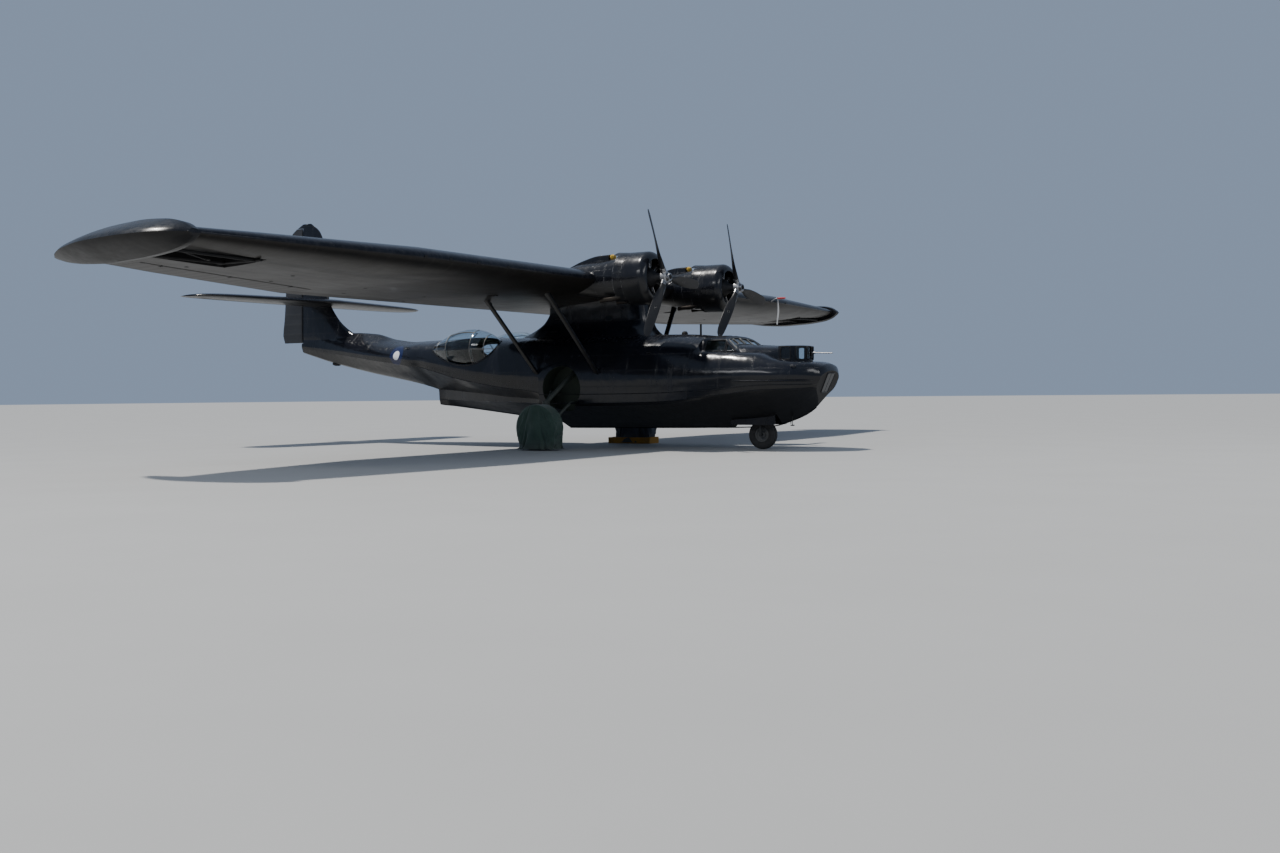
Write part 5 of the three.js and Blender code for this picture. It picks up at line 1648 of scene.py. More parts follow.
@dataclass
class BowEnclosure:
    """The glazed house over the bow compartment, round in front, and the rounded deck behind it.

    Fields:
        low: height of its foot.
        windows: distance along the wall from the front, and width, for each window to port.
        sill, head: heights of the windows.
    """

    low: float = 2.24
    windows: tuple[tuple[float, float], ...] = ((0.124, 0.185), (0.408, 0.25), (0.806, 0.25))
    sill: float = 2.33
    head: float = 2.652

    def _loft(self, levels: Sequence[tuple[float, float]]) -> Maker:
        """A solid through the plan's outline at pairs of inset and height."""
        rings = [np.column_stack([bow_plan(inset), np.full(49, z)]) for inset, z in levels]
        return Maker().solid(np.array(rings))

    def _window(self, middle: float, width: float, insets: Sequence[float], grow: float = 0.0) -> Array:
        """The rounded outline of a window on the wall, at each inset.

        Args:
            middle: distance along the wall of its middle.
            width: its width.
            insets: depths in the wall.
            grow: moves the outline outwards.

        Returns:
            Shape (insets, points, 3).
        """
        w, low, high = width / 2 + grow, self.sill - grow, self.head + grow
        shape = dense(rounded([(-w, low), (w, low), (w, high), (-w, high)], 0.06), 0.05)
        return np.array(
            [np.column_stack([house_point(middle + shape[:, 0], i), shape[:, 1]]) for i in insets]
        )

    def _foredeck(self) -> bpy.types.Object:
        """The deck between the house and the windshield, one smooth crown across the hull.

        Returns:
            The deck, cut off at the windshield.
        """
        stations = fine_steps([1.222, 1.45, 1.75, 2.1, 2.42], 0.06)
        rows = monotone(FOREDECK_TABLE, stations)
        points = rows.reshape(len(rows), 5, 2)
        before = 2 * points[:, 0] - points[:, 1]
        half = smooth_run(points, 6, before, points[:, 3] * FLIP)
        rings = stood(stations, both_sides(half))
        deck = Maker().solid(rings).mesh_object("foredeck", 40, finish=HULL_PAINT)
        slope = [(windshield_station(z) - 0.01, z) for z in (2.0, 3.2)]
        behind = upright([*slope, (3.6, 3.2), (3.6, 2.0)], -1.6)
        tool = Maker().prism(behind, (0, 3.2, 0)).mesh_object("behind_windshield", finish=INSIDE_PAINT)
        return carved(deck, [tool])

    def build(self) -> None:
        """Makes the walls and roof, the window frames and the glass."""
        roof = [(0.0, self.low), (0.0, 2.642), (0.006, 2.661), (0.022, 2.673), (0.05, 2.680)]
        roof += [(0.15, 2.686), (0.3, 2.689), (0.5, 2.690)]
        wall = self._loft(roof).mesh_object("bow_house", 40, finish=PLAIN_PAINT)
        carved(wall, [self._foredeck()], Cut.JOIN)
        tools = [self._loft([(0.03, 2.1), (0.03, 2.64), (0.06, 2.665), (0.3, 2.68)]).mesh_object("inside")]
        tools[0].data.materials.append(SHELF(INSIDE_PAINT))
        rims = Maker()
        for middle, width in self.windows:
            for side in (1, -1):
                hole = self._window(middle * side, width, (-0.06, 0.1))
                tools.append(Maker().solid(hole).mesh_object("window", finish=PLAIN_PAINT))
                rims.tube(self._window(middle * side, width, (-0.002,), 0.004)[0], 0.013, 8, closed=True)
        carved(wall, tools)
        publish(wall, replaces=["bow_enclosure"])
        publish(rims.mesh_object("bow_window_rims"), DARK_PAINT)
        levels = ((0.011, 2.29), (0.011, 2.662), (0.017, 2.662), (0.017, 2.29))
        rings = np.array([np.column_stack([bow_plan(i), np.full(49, z)]) for i, z in levels])
        glass = Maker().grid(rings, around=True, loop=True).mesh_object("bow_panes")
        publish(glass, PANE, ["bow_glazing"])


# Cockpit canopy

# Columns: station, half width at the foot, half width of the roof, height of the roof
CANOPY_TABLE = np.array([[1.98, 0.97, 0.80, 2.965], [2.25, 1.01, 0.82, 2.985], [3.28, 1.08, 0.83, 2.985]])


def canopy_rings(stations: Array, inset: float, foot: float) -> Array:
    """Cross-sections of the canopy, moved inwards by the inset, with their lower edge at the foot.

    Args:
        stations: where to cut.
        inset: how far inside the skin's face.
        foot: height of the lower edge.

    Returns:
        Shape (stations, points, 3).
    """
    base, roof_half, roof = (monotone(CANOPY_TABLE, stations)[:, k] for k in range(3))
    base, roof_half, roof = base - inset, roof_half - inset, roof - inset
    points = [
        (base, 2.56 + 0 * base), (roof_half + 0.075, roof - 0.13), (roof_half * 0.78, roof - 0.028),
        (roof_half * 0.36, roof - 0.004), (0 * roof, roof),
    ]
    points = np.stack([np.stack(p, axis=1) for p in points], axis=1)
    low = np.stack([base, np.full(len(stations), 2.4)], axis=1)
    run = smooth_run(points, 6, low, points[:, 3] * FLIP)
    start = np.stack([base, np.full(len(stations), foot)], axis=1)[:, None]
    return stood(stations, both_sides(np.concatenate([start, run], axis=1)))


@dataclass
class Canopy:
    """The cockpit canopy: sloped windshield, side windows, roof hatches, and the seats inside.

    Fields:
        wall: thickness of its skin.
        side_windows: outlines as pairs of station and height.
        windshield: outline of the port half, as pairs of y and height.
        hatch: front, rear, inner and outer edge of the port roof window.
        roof: the points of a cross-section that lie over the port half of the roof.
    """

    wall: float = 0.03
    side_windows: tuple[tuple[tuple[float, float], ...], ...] = (
        ((2.255, 2.57), (2.505, 2.57), (2.505, 2.765)),
        ((2.55, 2.57), (3.12, 2.57), (3.12, 2.85), (2.55, 2.85)),
    )
    windshield: tuple[tuple[tuple[float, float], ...], ...] = (
        ((0.035, 2.772), (0.40, 2.762), (0.40, 2.915), (0.035, 2.93)),
        ((0.43, 2.76), (0.74, 2.715), (0.89, 2.61), (0.72, 2.88), (0.43, 2.913)),
    )
    hatch: tuple[float, float, float, float] = (2.79, 3.18, 0.12, 0.56)
    roof: ClassVar[slice] = slice(13, 26)

    def _ahead(self, inset: float) -> bpy.types.Object:
        """Everything ahead of the sloped windshield, which is moved inwards by the inset.

        Args:
            inset: how far inside the windshield's face.

        Returns:
            The solid to cut away.
        """
        shift = inset * math.hypot(1, 1.24)
        outline = [(windshield_station(z) + shift, z) for z in (2.0, 3.2)] + [(0.6, 3.2), (0.6, 2.0)]
        points = upright(outline, -1.6)
        return Maker().prism(points, (0, 3.2, 0)).mesh_object("ahead_of_windshield")

    def _body(self, name: str, inset: float, foot: float, front: float, rear: float) -> bpy.types.Object:
        """The canopy's form moved inwards by the inset, between the front and the rear station, with its
        lower edge at the foot.
        """
        stations = fine_steps([front, 2.25, rear], 0.13)
        return Maker().solid(canopy_rings(stations, inset, foot)).mesh_object(name, 26)

    def _side_half(self, station: float, z: float) -> float:
        """The canopy's half width at a station and a height.

        Args:
            station: where to cut.
            z: the height.

        Returns:
            The half width.
        """
        ring = canopy_rings(np.array([station]), 0.0, 2.4)[0]
        half = ring[: len(ring) // 2 + 1]
        return float(np.interp(z, half[:, 2], half[:, 1]))

    def build(self) -> None:
        """Makes the skin, the window bars, the glass and what is inside."""
        skin = self._body("canopy_skin", 0.0, 2.46, 2.0, 3.255)
        skin.data.materials.append(SHELF(PLAIN_PAINT))
        room = self._body("room", self.wall, 2.3, 1.99, 3.2)
        room.data.materials.append(SHELF(INSIDE_PAINT))
        carved(room, [self._ahead(self.wall)])
        tools = [self._ahead(0.0), room]
        bars, posts = Maker(), Maker()
        for outline in self.side_windows:
            shape = dense(rounded(outline, 0.035, 3), 0.06)
            for side in (1, -1):
                low = upright(shape, side * 0.5)
                tools.append(Maker().prism(low, (0, side * 1.2, 0)).mesh_object("window"))
                rim = upright(shape, [side * (self._side_half(s, z) + 0.002) for s, z in shape])
                bars.tube(rim, 0.011, 8, closed=True)
        for side in (1, -1):
            for pane in self.windshield:
                shape = dense(rounded(pane, 0.03, 3), 0.08)
                low = np.array([at(1.9, side * y, z) for y, z in shape])
                tools.append(Maker().prism(low, (-0.85, 0, 0)).mesh_object("windshield"))
                rim = np.array([at(windshield_station(z) - 0.002, side * y, z) for y, z in shape])
                posts.tube(rim, 0.010, 8, closed=True)
            front, rear, inner, outer = self.hatch
            shape = rounded([(front, inner), (front, outer), (rear, outer), (rear, inner)], 0.04)
            low = np.array([at(s, side * y, 2.85) for s, y in shape])
            tools.append(Maker().prism(low, (0, 0, 0.4)).mesh_object("roof_window"))
            roofs = canopy_rings(shape[:, 0], 0.0, 2.4)[:, self.roof][:, ::-1]
            heights = [float(np.interp(y, roof[:, 1], roof[:, 2])) for roof, (_, y) in zip(roofs, shape)]
            rim = np.array([at(s, side * y, z + 0.003) for (s, y), z in zip(shape, heights)])
            bars.tube(rim, 0.010, 8, closed=True)
        for tool in tools[2:] + tools[:1]:
            tool.data.materials.append(SHELF(PLAIN_PAINT))
        carved(skin, tools)
        publish(skin, replaces=["cockpit_canopy"])
        publish(bars.mesh_object("canopy_bars"), DARK_PAINT)
        publish(posts.mesh_object("windshield_bars"), FRAME_METAL)
        glass = self._body("canopy_panes", 0.012, 2.49, 2.0, 3.22)
        carved(glass, [self._ahead(0.012)])
        inner = self._body("glass_inside", 0.018, 2.40, 1.99, 3.24)
        carved(inner, [self._ahead(0.018)])
        carved(glass, [inner], sharp_deg=26)
        publish(glass, PANE, ["cockpit_glazing"])
        self._inside()

    def _inside(self) -> None:
        """Two seats, an instrument panel, control wheels and a shelf of overhead levers."""
        cloth, metal = Maker(), Maker()
        for y in (0.42, -0.42):
            back = rounded([(2.80, 2.02), (2.90, 2.70), (2.96, 2.70), (2.94, 2.0)], 0.05)
            low = upright(back, y - 0.22)
            cloth.prism(low, (0, 0.44, 0))
            seat = rounded([(2.45, 2.06), (2.45, 2.14), (2.90, 2.10), (2.90, 2.0)], 0.04)
            cloth.prism(upright(seat, y - 0.22), (0, 0.44, 0))
            metal.bar(at(2.32, y, 2.05), at(2.40, y, 2.42), 0.02, 10)
            angle = np.linspace(0, 2 * math.pi, 25)[:-1]
            rim = np.stack(
                [x_of(2.41) + 0 * angle, y + 0.15 * np.cos(angle), 2.44 + 0.15 * np.sin(angle)], axis=1
            )
            metal.tube(rim, 0.012, 8, closed=True)
        panel = rounded([(2.20, 2.28), (2.31, 2.58), (2.36, 2.56), (2.28, 2.28)], 0.02)
        metal.prism(upright(panel, -0.72), (0, 1.44, 0))
        metal.block((x_of(2.86), -0.08, 2.84), (x_of(2.72), 0.08, 2.93))
        for y in (-0.05, -0.02, 0.02, 0.05):
            metal.bar(at(2.78, y, 2.86), at(2.82, y, 2.74), 0.008, 8)
        publish(cloth.mesh_object("pilot_seats"), SEAT_CLOTH)
        publish(metal.mesh_object("cockpit_controls"), DARK_PAINT)


# Waist blisters

BLISTER_FRONT, BLISTER_REAR = 9.56, 12.25
BLISTER_CENTRE = np.array([0.0, 1.08, 2.79])


def blister_radius(share: float | Array) -> float | Array:
    """The radius of a blister along its length: 0.59 sin(pi s^0.78)^0.85 metres."""
    return 0.59 * np.maximum(np.sin(math.pi * np.power(share, 0.78)), 0) ** 0.85


def blister_rim(start: float, end: float, grow: float, count: int = 40) -> list[tuple[float, float]]:
    """The blister's profile between two shares of its length, as pairs of X and radius.

    Args:
        start: the first share.
        end: the last.
        grow: moves the profile outwards.
        count: number of pairs.

    Returns:
        The pairs.
    """
    share = np.linspace(start, end, count)
    x = x_of(BLISTER_FRONT + (BLISTER_REAR - BLISTER_FRONT) * share)
    return list(zip(x, np.maximum(blister_radius(share) + grow, 1e-4)))


def on_blister(station: float | Array, degrees: float | Array, grow: float = 0.0) -> Array:
    """Points of the port blister at a station and an angle above level outboard.

    Args:
        station: one station or more.
        degrees: one angle or more.
        grow: how far outside the glass.

    Returns:
        The points, with a last axis of 3.
    """
    share = (station - BLISTER_FRONT) / (BLISTER_REAR - BLISTER_FRONT)
    radius = blister_radius(share) + grow
    angle = np.radians(degrees)
    x = x_of(station) + 0 * radius * angle
    _, y, z = BLISTER_CENTRE
    return np.stack([x, y + radius * np.cos(angle), z + radius * np.sin(angle)], axis=-1)


@dataclass
class Blisters:
    """The two glazed waist blisters, each with a hatch that turns up inside it.

    Fields:
        hatch: first and last station, and lowest and highest angle, of the hatch.
        edge: how far the opening's ends lie inside the hatch's.
        inset: how far the hatch's skin lies inside the fixed skin.
        skin: thickness of the glass.
        lap: how far the hatch's edge overlaps the opening, in degrees.
    """

    hatch: tuple[float, float, float, float] = (10.32, 11.38, -74.0, 64.0)
    edge: float = 0.06
    inset: float = 0.045
    skin: float = 0.008
    lap: float = 6.0

    def _patch(self, stations: Array, angles: Array, outer: float, inner: float) -> Maker:
        """A closed curved plate of the blister's form between two depths.

        Args:
            stations: its stations.
            angles: its angles, in degrees.
            outer: how far outside the glass its outer face lies.
            inner: the same for its inner face.

        Returns:
            A maker with the plate.
        """
        s, a = np.meshgrid(stations, angles, indexing="ij")
        top, low = on_blister(s, a, outer), on_blister(s, a, inner)
        ring = np.concatenate([top, low[:, ::-1]], axis=1)
        return Maker().solid(ring)

    def _seat_line(self) -> Array:
        """The closed line where the blister meets the hull's side.

        Returns:
            Shape (points, 3), along the upper edge and back along the lower one.
        """
        upper, lower = [], []
        angles = np.linspace(0, 150, 301)
        for station in np.linspace(BLISTER_FRONT + 0.012, BLISTER_REAR - 0.03, 90):
            for way, store in ((1, upper), (-1, lower)):
                points = on_blister(np.full(301, station), way * angles)
                inside = points[:, 1] < hull_half(station, points[:, 2])
                if inside.any() and not inside[0]:
                    store.append(points[int(np.argmax(inside))])
        return np.array(upper + lower[::-1])

    def build(self) -> None:
        """Makes the glass, its hoops and the ring at its foot, and each side's hatch."""
        front, rear, low, high = self.hatch
        for name, side in SIDES.items():
            outer = blister_rim(0.004, 0.992, 0.0, 48)
            inner = blister_rim(0.012, 0.984, -self.skin, 48)
            glass = Maker().turned([*outer, *inner[::-1]], BLISTER_CENTRE, Axis.X, 72, close=True)
            glass = glass.on_side(side).mesh_object("blister_glass_shell_" + name)
            stations = np.linspace(front + self.edge, rear - self.edge, 12)
            gap = self._patch(stations, np.linspace(low + self.lap, high - self.lap, 24), 0.1, -0.1)
            seat = Hull().solid("seat", 9.3, 12.6)
            carved(glass, [gap.on_side(side).mesh_object("gap"), seat])
            publish(glass, PANE, ["blister_glass_" + name])
            ring = self._seat_line()
            foot = Maker().tube(ring, 0.027, 10, closed=True)
            hoops = self._hoops(front, rear, low, high)
            publish(foot.on_side(side).mesh_object("blister_foot_" + name), PLAIN_PAINT)
            publish(hoops.on_side(side).mesh_object("blister_hoops_" + name), FRAME_METAL)
            self._hatch_pieces(name, side)

    def _hoops(self, front: float, rear: float, low: float, high: float) -> Maker:
        """The fixed hoops, the edges of the opening, the middle ribs, and the pins at both ends.

        Args:
            front: the hatch's first station.
            rear: its last.
            low: its lowest angle.
            high: its highest.

        Returns:
            A maker with them all, to port.
        """
        hoops = Maker()
        for station in (9.98, front + self.edge, rear - self.edge, 11.8):
            angles = np.linspace(-88, 84, 44)
            points = on_blister(np.full(44, station), angles, -0.004)
            keep = points[:, 1] > hull_half(station, points[:, 2]) - 0.02
            hoops.tube(points[keep], 0.012, 8)
        for degrees in (low + self.lap, high - self.lap):
            stations = np.linspace(front + self.edge, rear - self.edge, 20)
            hoops.tube(on_blister(stations, np.full(20, degrees), -0.004), 0.011, 8)
        for start, end in ((9.62, front + self.edge), (rear - self.edge, 12.16)):
            stations = np.linspace(start, end, 16)
            points = on_blister(stations, np.zeros(16), -0.004)
            keep = np.array([p[1] > hull_half(HALF_LENGTH - p[0], p[2]) - 0.02 for p in points])
            hoops.tube(points[keep], 0.009, 8)
        for end, way in ((front, 1), (rear, -1)):
            pin = [at(end + way * d, *BLISTER_CENTRE[1:]) for d in (-0.04, 0.022)]
            hoops.bar(*pin, 0.015, 16)
            arm = end - way * 0.03
            hoops.bar(at(arm, *BLISTER_CENTRE[1:]), on_blister(arm, 0.0, -0.014), 0.016, 10)
        return hoops

    def _hatch_pieces(self, name: str, side: float) -> None:
        """The hatch's glass, and its frame with an arm at each end.

        Args:
            name: the side's name, which ends the pieces' names.
            side: 1 to port and -1 to starboard.
        """
        front, rear, low, high = self.hatch
        stations, angles = np.linspace(front + 0.004, rear - 0.004, 16), np.linspace(low, high, 36)
        pane = self._patch(stations, angles, -self.inset - 0.002, -self.inset - 0.009)
        body = "blister_hatch_" + name
        thing = pane.on_side(side).mesh_object("hatch_pane_" + name)
        publish(thing, PANE, ["blister_hatch_" + name], body=body)
        rail = Maker()
        corners = [(front + 0.012, low), (rear - 0.012, low), (rear - 0.012, high), (front + 0.012, high)]
        path = []
        for (s0, a0), (s1, a1) in zip(corners, corners[1:] + corners[:1]):
            t = np.linspace(0, 1, 24, endpoint=False)
            path.append(on_blister(s0 + (s1 - s0) * t, a0 + (a1 - a0) * t, -self.inset - 0.006))
        rail.tube(np.concatenate(path), 0.010, 8, closed=True)
        rail.tube(
            on_blister(np.linspace(front + 0.01, rear - 0.01, 16), np.zeros(16), -self.inset - 0.006),
            0.008, 8
        )
        for station in (front + 0.0125, rear - 0.0125):
            middle = at(station, *BLISTER_CENTRE[1:])
            rail.bar(middle, on_blister(station, 0.0, -self.inset - 0.01), 0.007, 10)
            ring = [(-0.006, 0.017), (0.006, 0.017), (0.006, 0.03), (-0.006, 0.03)]
            rail.turned(ring, middle, Axis.X, 20, close=True)
        publish(rail.on_side(side).mesh_object("hatch_rail_" + name), DARK_PAINT, body=body)


# Pylon

# Columns: height, station of its front and of its rear, greatest half width
PYLON_TABLE = np.array([
    [3.0, 4.9, 10.0, 0.9], [3.12, 5.1, 9.7, 0.8], [3.3, 5.26, 9.25, 0.64], [3.55, 5.34, 8.86, 0.56],
    [3.83, 5.38, 8.7, 0.56], [4.3, 5.42, 8.7, 0.6],
])


@dataclass
class Pylon:
    """The streamlined pylon between the hull and the wing, with a small window on each side."""

    window: tuple[float, float, float, float] = (6.36, 3.57, 0.22, 0.16)

    def _half(self, station: float, z: float) -> float:
        """The half width at a station and a height.

        Args:
            station: where to cut.
            z: the height.

        Returns:
            The half width.
        """
        front, rear, half = monotone(PYLON_TABLE, np.array([z]))[0]
        share = (station - front) / (rear - front)
        return float(half * min(1.0, math.sin(math.pi * share**0.62) ** 0.6 + 0.02))

    def build(self) -> None:
        """Makes the pylon, its steps and its windows."""
        levels = np.linspace(2.98, 4.3, 30)
        front, rear, half = monotone(PYLON_TABLE, np.maximum(levels, 3.0)).T
        share = (1 - np.cos(np.linspace(0, math.pi, 46))) / 2
        swell = np.minimum(1.0, np.maximum(np.sin(math.pi * share**0.62), 0) ** 0.6 + 0.004)
        x = x_of(front[:, None] + (rear - front)[:, None] * share[None])
        y = half[:, None] * swell[None]
        z = np.broadcast_to(levels[:, None], x.shape)
        port = np.stack([x, y, z], axis=2)
        ring = np.concatenate([port, port[:, ::-1] * MIRROR], axis=1)
        body = Maker().solid(ring).mesh_object("wing_pylon", 40)
        publish(body, FIN_PAINT, ["pylon"])
        station, height, width, tall = self.window
        shape = dense(rounded([(-1, -1), (1, -1), (1, 1), (-1, 1)], 0.6) * np.array([width, tall]) / 2, 0.04)
        rims, panes, steps = Maker(), Maker(), Maker()
        for side in (1, -1):
            ring = np.array(
                [
                    at(station + s, side * (self._half(station + s, height + z) + 0.003), height + z)
                    for s, z in shape
                ]
            )
            rims.tube(ring, 0.010, 8, closed=True)
            panes.prism(ring - np.array([0, side * 0.006, 0]), (0, side * 0.006, 0))
            for z in (3.25, 3.62, 3.95):
                y = side * self._half(8.2, z)
                steps.bar(at(8.12, y, z), at(8.12, y + side * 0.05, z), 0.009, 8)
                steps.bar(at(8.30, y, z), at(8.30, y + side * 0.04, z), 0.009, 8)
                steps.bar(at(8.10, y + side * 0.05, z), at(8.32, y + side * 0.05, z), 0.010, 8)
        publish(rims.mesh_object("pylon_window_rims"), DARK_PAINT)
        publish(panes.mesh_object("pylon_windows"), DARK_PANE)
        publish(steps.mesh_object("pylon_steps"), DARK_PAINT)


# Wing, ailerons and floats

# Columns: y, station and height of the leading edge, chord, drop of the trailing edge, thickness share
WING_TABLE = np.array([
    [0, 5.48, 4.48, 4.57, 0.56, 0.155], [9.1, 5.48, 4.48, 4.57, 0.56, 0.15],
    [13.3, 5.9, 4.47, 3.42, 0.42, 0.14], [14.9, 6.12, 4.48, 2.8, 0.38, 0.13],
])
WING_CAMBER = 0.02
CLEARANCE = 0.012


def wing_rings(ys: Array, start: Array | None = None) -> Array:
    """The wing's cross-sections at distances from the centre plane, or only what is aft of a share.

    Args:
        ys: distances from the centre plane.
        start: share of the chord to begin at for each, or None for the whole.

    Returns:
        Shape (sections, points, 3).
    """
    front, height, chord, drop, thick = straight(WING_TABLE, np.abs(ys)).T
    loop = foil_loop(chord, thick, WING_CAMBER, start)
    along, above = loop[..., 0], loop[..., 1]
    x = x_of(front[:, None] + along)
    y = np.broadcast_to(ys[:, None], x.shape)
    return np.stack([x, y, height[:, None] - drop[:, None] * along / chord[:, None] + above], axis=2)


def wing_surface(station: float, y: float, upper: bool) -> float:
    """The height of the wing's upper or lower surface at a station and a distance from the centre.

    Args:
        station: the station.
        y: distance from the centre plane.
        upper: whether it is the upper surface.

    Returns:
        The height.
    """
    ring = wing_rings(np.array([y]))[0]
    half = ring[:30] if upper else ring[29:]
    order = np.argsort(half[:, 0])
    return float(np.interp(x_of(station), half[order, 0], half[order, 2]))


def teardrop(start: Array, end: Array, chord: float, thick: float, sides: int = 20) -> Array:
    """Rings of a streamlined strut between two points, its blunt edge forward.

    Args:
        start: middle of one end.
        end: middle of the other.
        chord: length of the section.
        thick: its thickness.
        sides: points round it.

    Returns:
        Shape (2, points, 3).
    """
    way = (end - start) / np.linalg.norm(end - start)
    ahead = np.array([1.0, 0.0, 0.0]) - way * way[0]
    ahead /= np.linalg.norm(ahead)
    across = np.cross(way, ahead)
    t = np.linspace(0, 2 * math.pi, sides, endpoint=False)
    along = chord * (0.5 * np.cos(t) + 0.09 * (1 - np.cos(2 * t)))
    off = thick / 2 * np.sin(t) * (1 + 0.35 * np.cos(t))
    section = along[:, None] * ahead + off[:, None] * across
    return np.stack([start + section, end + section])


@dataclass
class Wing:
    """The wing: a level centre panel, tapering outer panels, and an aileron in each.

    Fields:
        join: distance from the centre plane to the outer panel's joint.
        tip: distance to the tip.
        aileron: inner end, outer end and share of the chord of the aileron.
        gap: distance from the aileron's nose line to the face ahead of it.
        pivot: how far the pins lie aft of that nose line.
        bearings: places of the bearings along the aileron.
        bay: front, rear, inner end and roof height of the bay for a float's legs.
        drains: stations and distances from the centre plane of the round plates underneath.
    """

    join: float = 5.5
    tip: float = 14.9
    aileron: tuple[float, float, float] = (9.16, 14.3, 0.78)
    gap: float = 0.045
    pivot: float = 0.03
    bearings: tuple[float, ...] = (0.12, 0.5, 0.88)
    bay: tuple[float, float, float, float] = (6.6, 7.8, 12.75, 4.33)
    drains: tuple[tuple[float, float], ...] = (
        (8.26, 13.3), (7.3, 13.6), (8.66, 10.7), (7.7, 11.0), (9.2, 7.9), (8.1, 8.35), (9.7, 5.2),
        (8.6, 5.7),
    )

    def _hinge(self, y: Array, shift: float) -> Array:
        """Points on the hinge line, moved aft by the shift.

        Args:
            y: distances from the centre plane.
            shift: how far aft of the aileron's nose line.

        Returns:
            Shape (points, 3).
        """
        inner, outer, share = self.aileron
        ends = np.array([inner, outer])
        front, height, chord, drop, _ = straight(WING_TABLE, ends).T
        station = np.interp(y, ends, front + chord * share) + shift
        rise = 4 * WING_CAMBER * chord * share * (1 - share)
        z = np.interp(y, ends, height - drop * share + rise)
        return np.stack([x_of(station), y + 0 * station, z], axis=-1)

    def build(self) -> None:
        """Makes the panels, the ailerons and what is fastened to them."""
        centre = Maker().solid(wing_rings(fine_steps([-self.join, 0, self.join], 0.9)))
        publish(centre.mesh_object("wing_middle", 40), WING_PAINT, ["wing_centre"])
        for name, side in SIDES.items():
            self._panel(name, side)
            self._aileron(name, side)
        self._fittings()

    def _panel(self, name: str, side: float) -> None:
        """One outer panel, cut away for its aileron and for the float's legs.

        Args:
            name: the side's name, which ends the pieces' names.
            side: 1 to port and -1 to starboard.
        """
        ys = fine_steps([self.join + 0.0003, 9.1, 13.3, self.tip], 0.6)
        panel = Maker().solid(wing_rings(ys)).on_side(side).mesh_object(
            "wing_panel_" + name, 40, finish=OUTER_PAINT
        )
        inner, outer, _ = self.aileron
        ends = self._hinge(np.array([inner, outer]), -self.gap)
        low = np.array([[p[0], p[1], p[2] - 0.6] for p in ends])
        corners = np.array([low[0], low[1], low[1] - [3, 0, 0], low[0] - [3, 0, 0]])
        space = Maker().prism(corners, (0, 0, 1.2)).on_side(side).mesh_object(
            "aileron_space", finish=DARK_PAINT
        )
        front, rear, root, roof = self.bay
        bay = Maker().block(
            (x_of(rear), root, 3.6), (x_of(front), 15.2, roof)
        ).on_side(side).mesh_object("float_bay", finish=DARK_PAINT)
        carved(panel, [space, bay], sharp_deg=40)
        publish(panel, replaces=["wing_" + name])

    def _aileron(self, name: str, side: float) -> None:
        """One aileron with its slots, and the brackets and pins that carry it.

        Args:
            name: the side's name, which ends the pieces' names.
            side: 1 to port and -1 to starboard.
        """
        inner, outer, _ = self.aileron
        ys = fine_steps([inner + CLEARANCE, 13.3, outer - CLEARANCE], 0.33)
        front, _, chord, _, _ = straight(WING_TABLE, ys).T
        pivot = self._hinge(ys, self.pivot)
        rings = wing_rings(ys, (x_of(pivot[:, 0]) - front) / chord)
        thing = Maker().solid(rings).on_side(side).mesh_object(
            "aileron_skin_" + name, 40, finish=AILERON_CLOTH
        )
        slots, brackets = [], Maker()
        for share in self.bearings:
            point = self._hinge(np.array([inner + (outer - inner) * share]), self.pivot)[0]
            slot = Maker().block(point - [0.1, 0.032, 0.4], point + [0.2, 0.032, 0.4])
            slots.append(slot.on_side(side).mesh_object("slot", finish=DARK_PAINT))
            arm = rounded([(0.09, 0.045), (0.09, -0.045), (-0.02, -0.024), (-0.02, 0.024)], 0.02)
            low = np.array([point + [x, -0.018, z] for x, z in arm])
            brackets.prism(low, (0, 0.036, 0))
            brackets.bar(point - [0, 0.05, 0], point + [0, 0.05, 0], 0.014, 16)
        carved(thing, slots, sharp_deg=40)
        publish(thing, replaces=["aileron_" + name], body="aileron_" + name)
        made = brackets.on_side(side).mesh_object("aileron_brackets_" + name)
        publish(made, STEEL)

    def _fittings(self) -> None:
        """The pads for stores, round drain plates below, and marks on the leading edge."""
        pads, plates, lamps = Maker(), Maker(), Maker()
        for side in SIDES.values():
            low = np.array(sorted(wing_surface(7.35 + d, 4.5, False) for d in (-0.12, 0.12)))
            pad = Maker().block((x_of(7.47), 4.44, low[0] - 0.008), (x_of(7.23), 4.56, low[1] + 0.06))
            pads.plus(pad.on_side(side))
            for station, y in self.drains:
                z = wing_surface(station, y, False)
                disc = [(0.02, 0.0), (0.02, 0.045), (-0.003, 0.045), (-0.006, 0.03), (-0.006, 0)]
                plates.plus(Maker().turned(disc, at(station, y, z), Axis.Z, 20).on_side(side))
            for y in (6.35, 7.47, 8.46, 9.27):
                front, height = straight(WING_TABLE, np.array([y]))[0][:2]
                clip = Maker().block(
                    (x_of(front + 0.05), y - 0.05, height - 0.03),
                    (x_of(front - 0.006), y + 0.05, height + 0.02)
                )
                lamps.plus(clip.on_side(side))
        publish(pads.mesh_object("store_pads"), DARK_PAINT)
        publish(plates.mesh_object("drain_plates"), DARK_PAINT)
        publish(lamps.mesh_object("edge_marks"), DARK_PAINT)


# Columns: station, half height of the deck, y of the chine, half height there, y of the keel
FLOAT_TABLE = np.array([
    [5.97, 0.05, 15.08, 0.07, 15.2], [6.2, 0.19, 15.1, 0.21, 15.48], [6.6, 0.27, 15.15, 0.3, 15.69],
    [7.3, 0.31, 15.18, 0.345, 15.82], [8.0, 0.31, 15.18, 0.34, 15.85], [8.8, 0.24, 15.15, 0.265, 15.69],
    [9.4, 0.13, 15.1, 0.15, 15.42], [9.78, 0.03, 15.04, 0.04, 15.15],
])


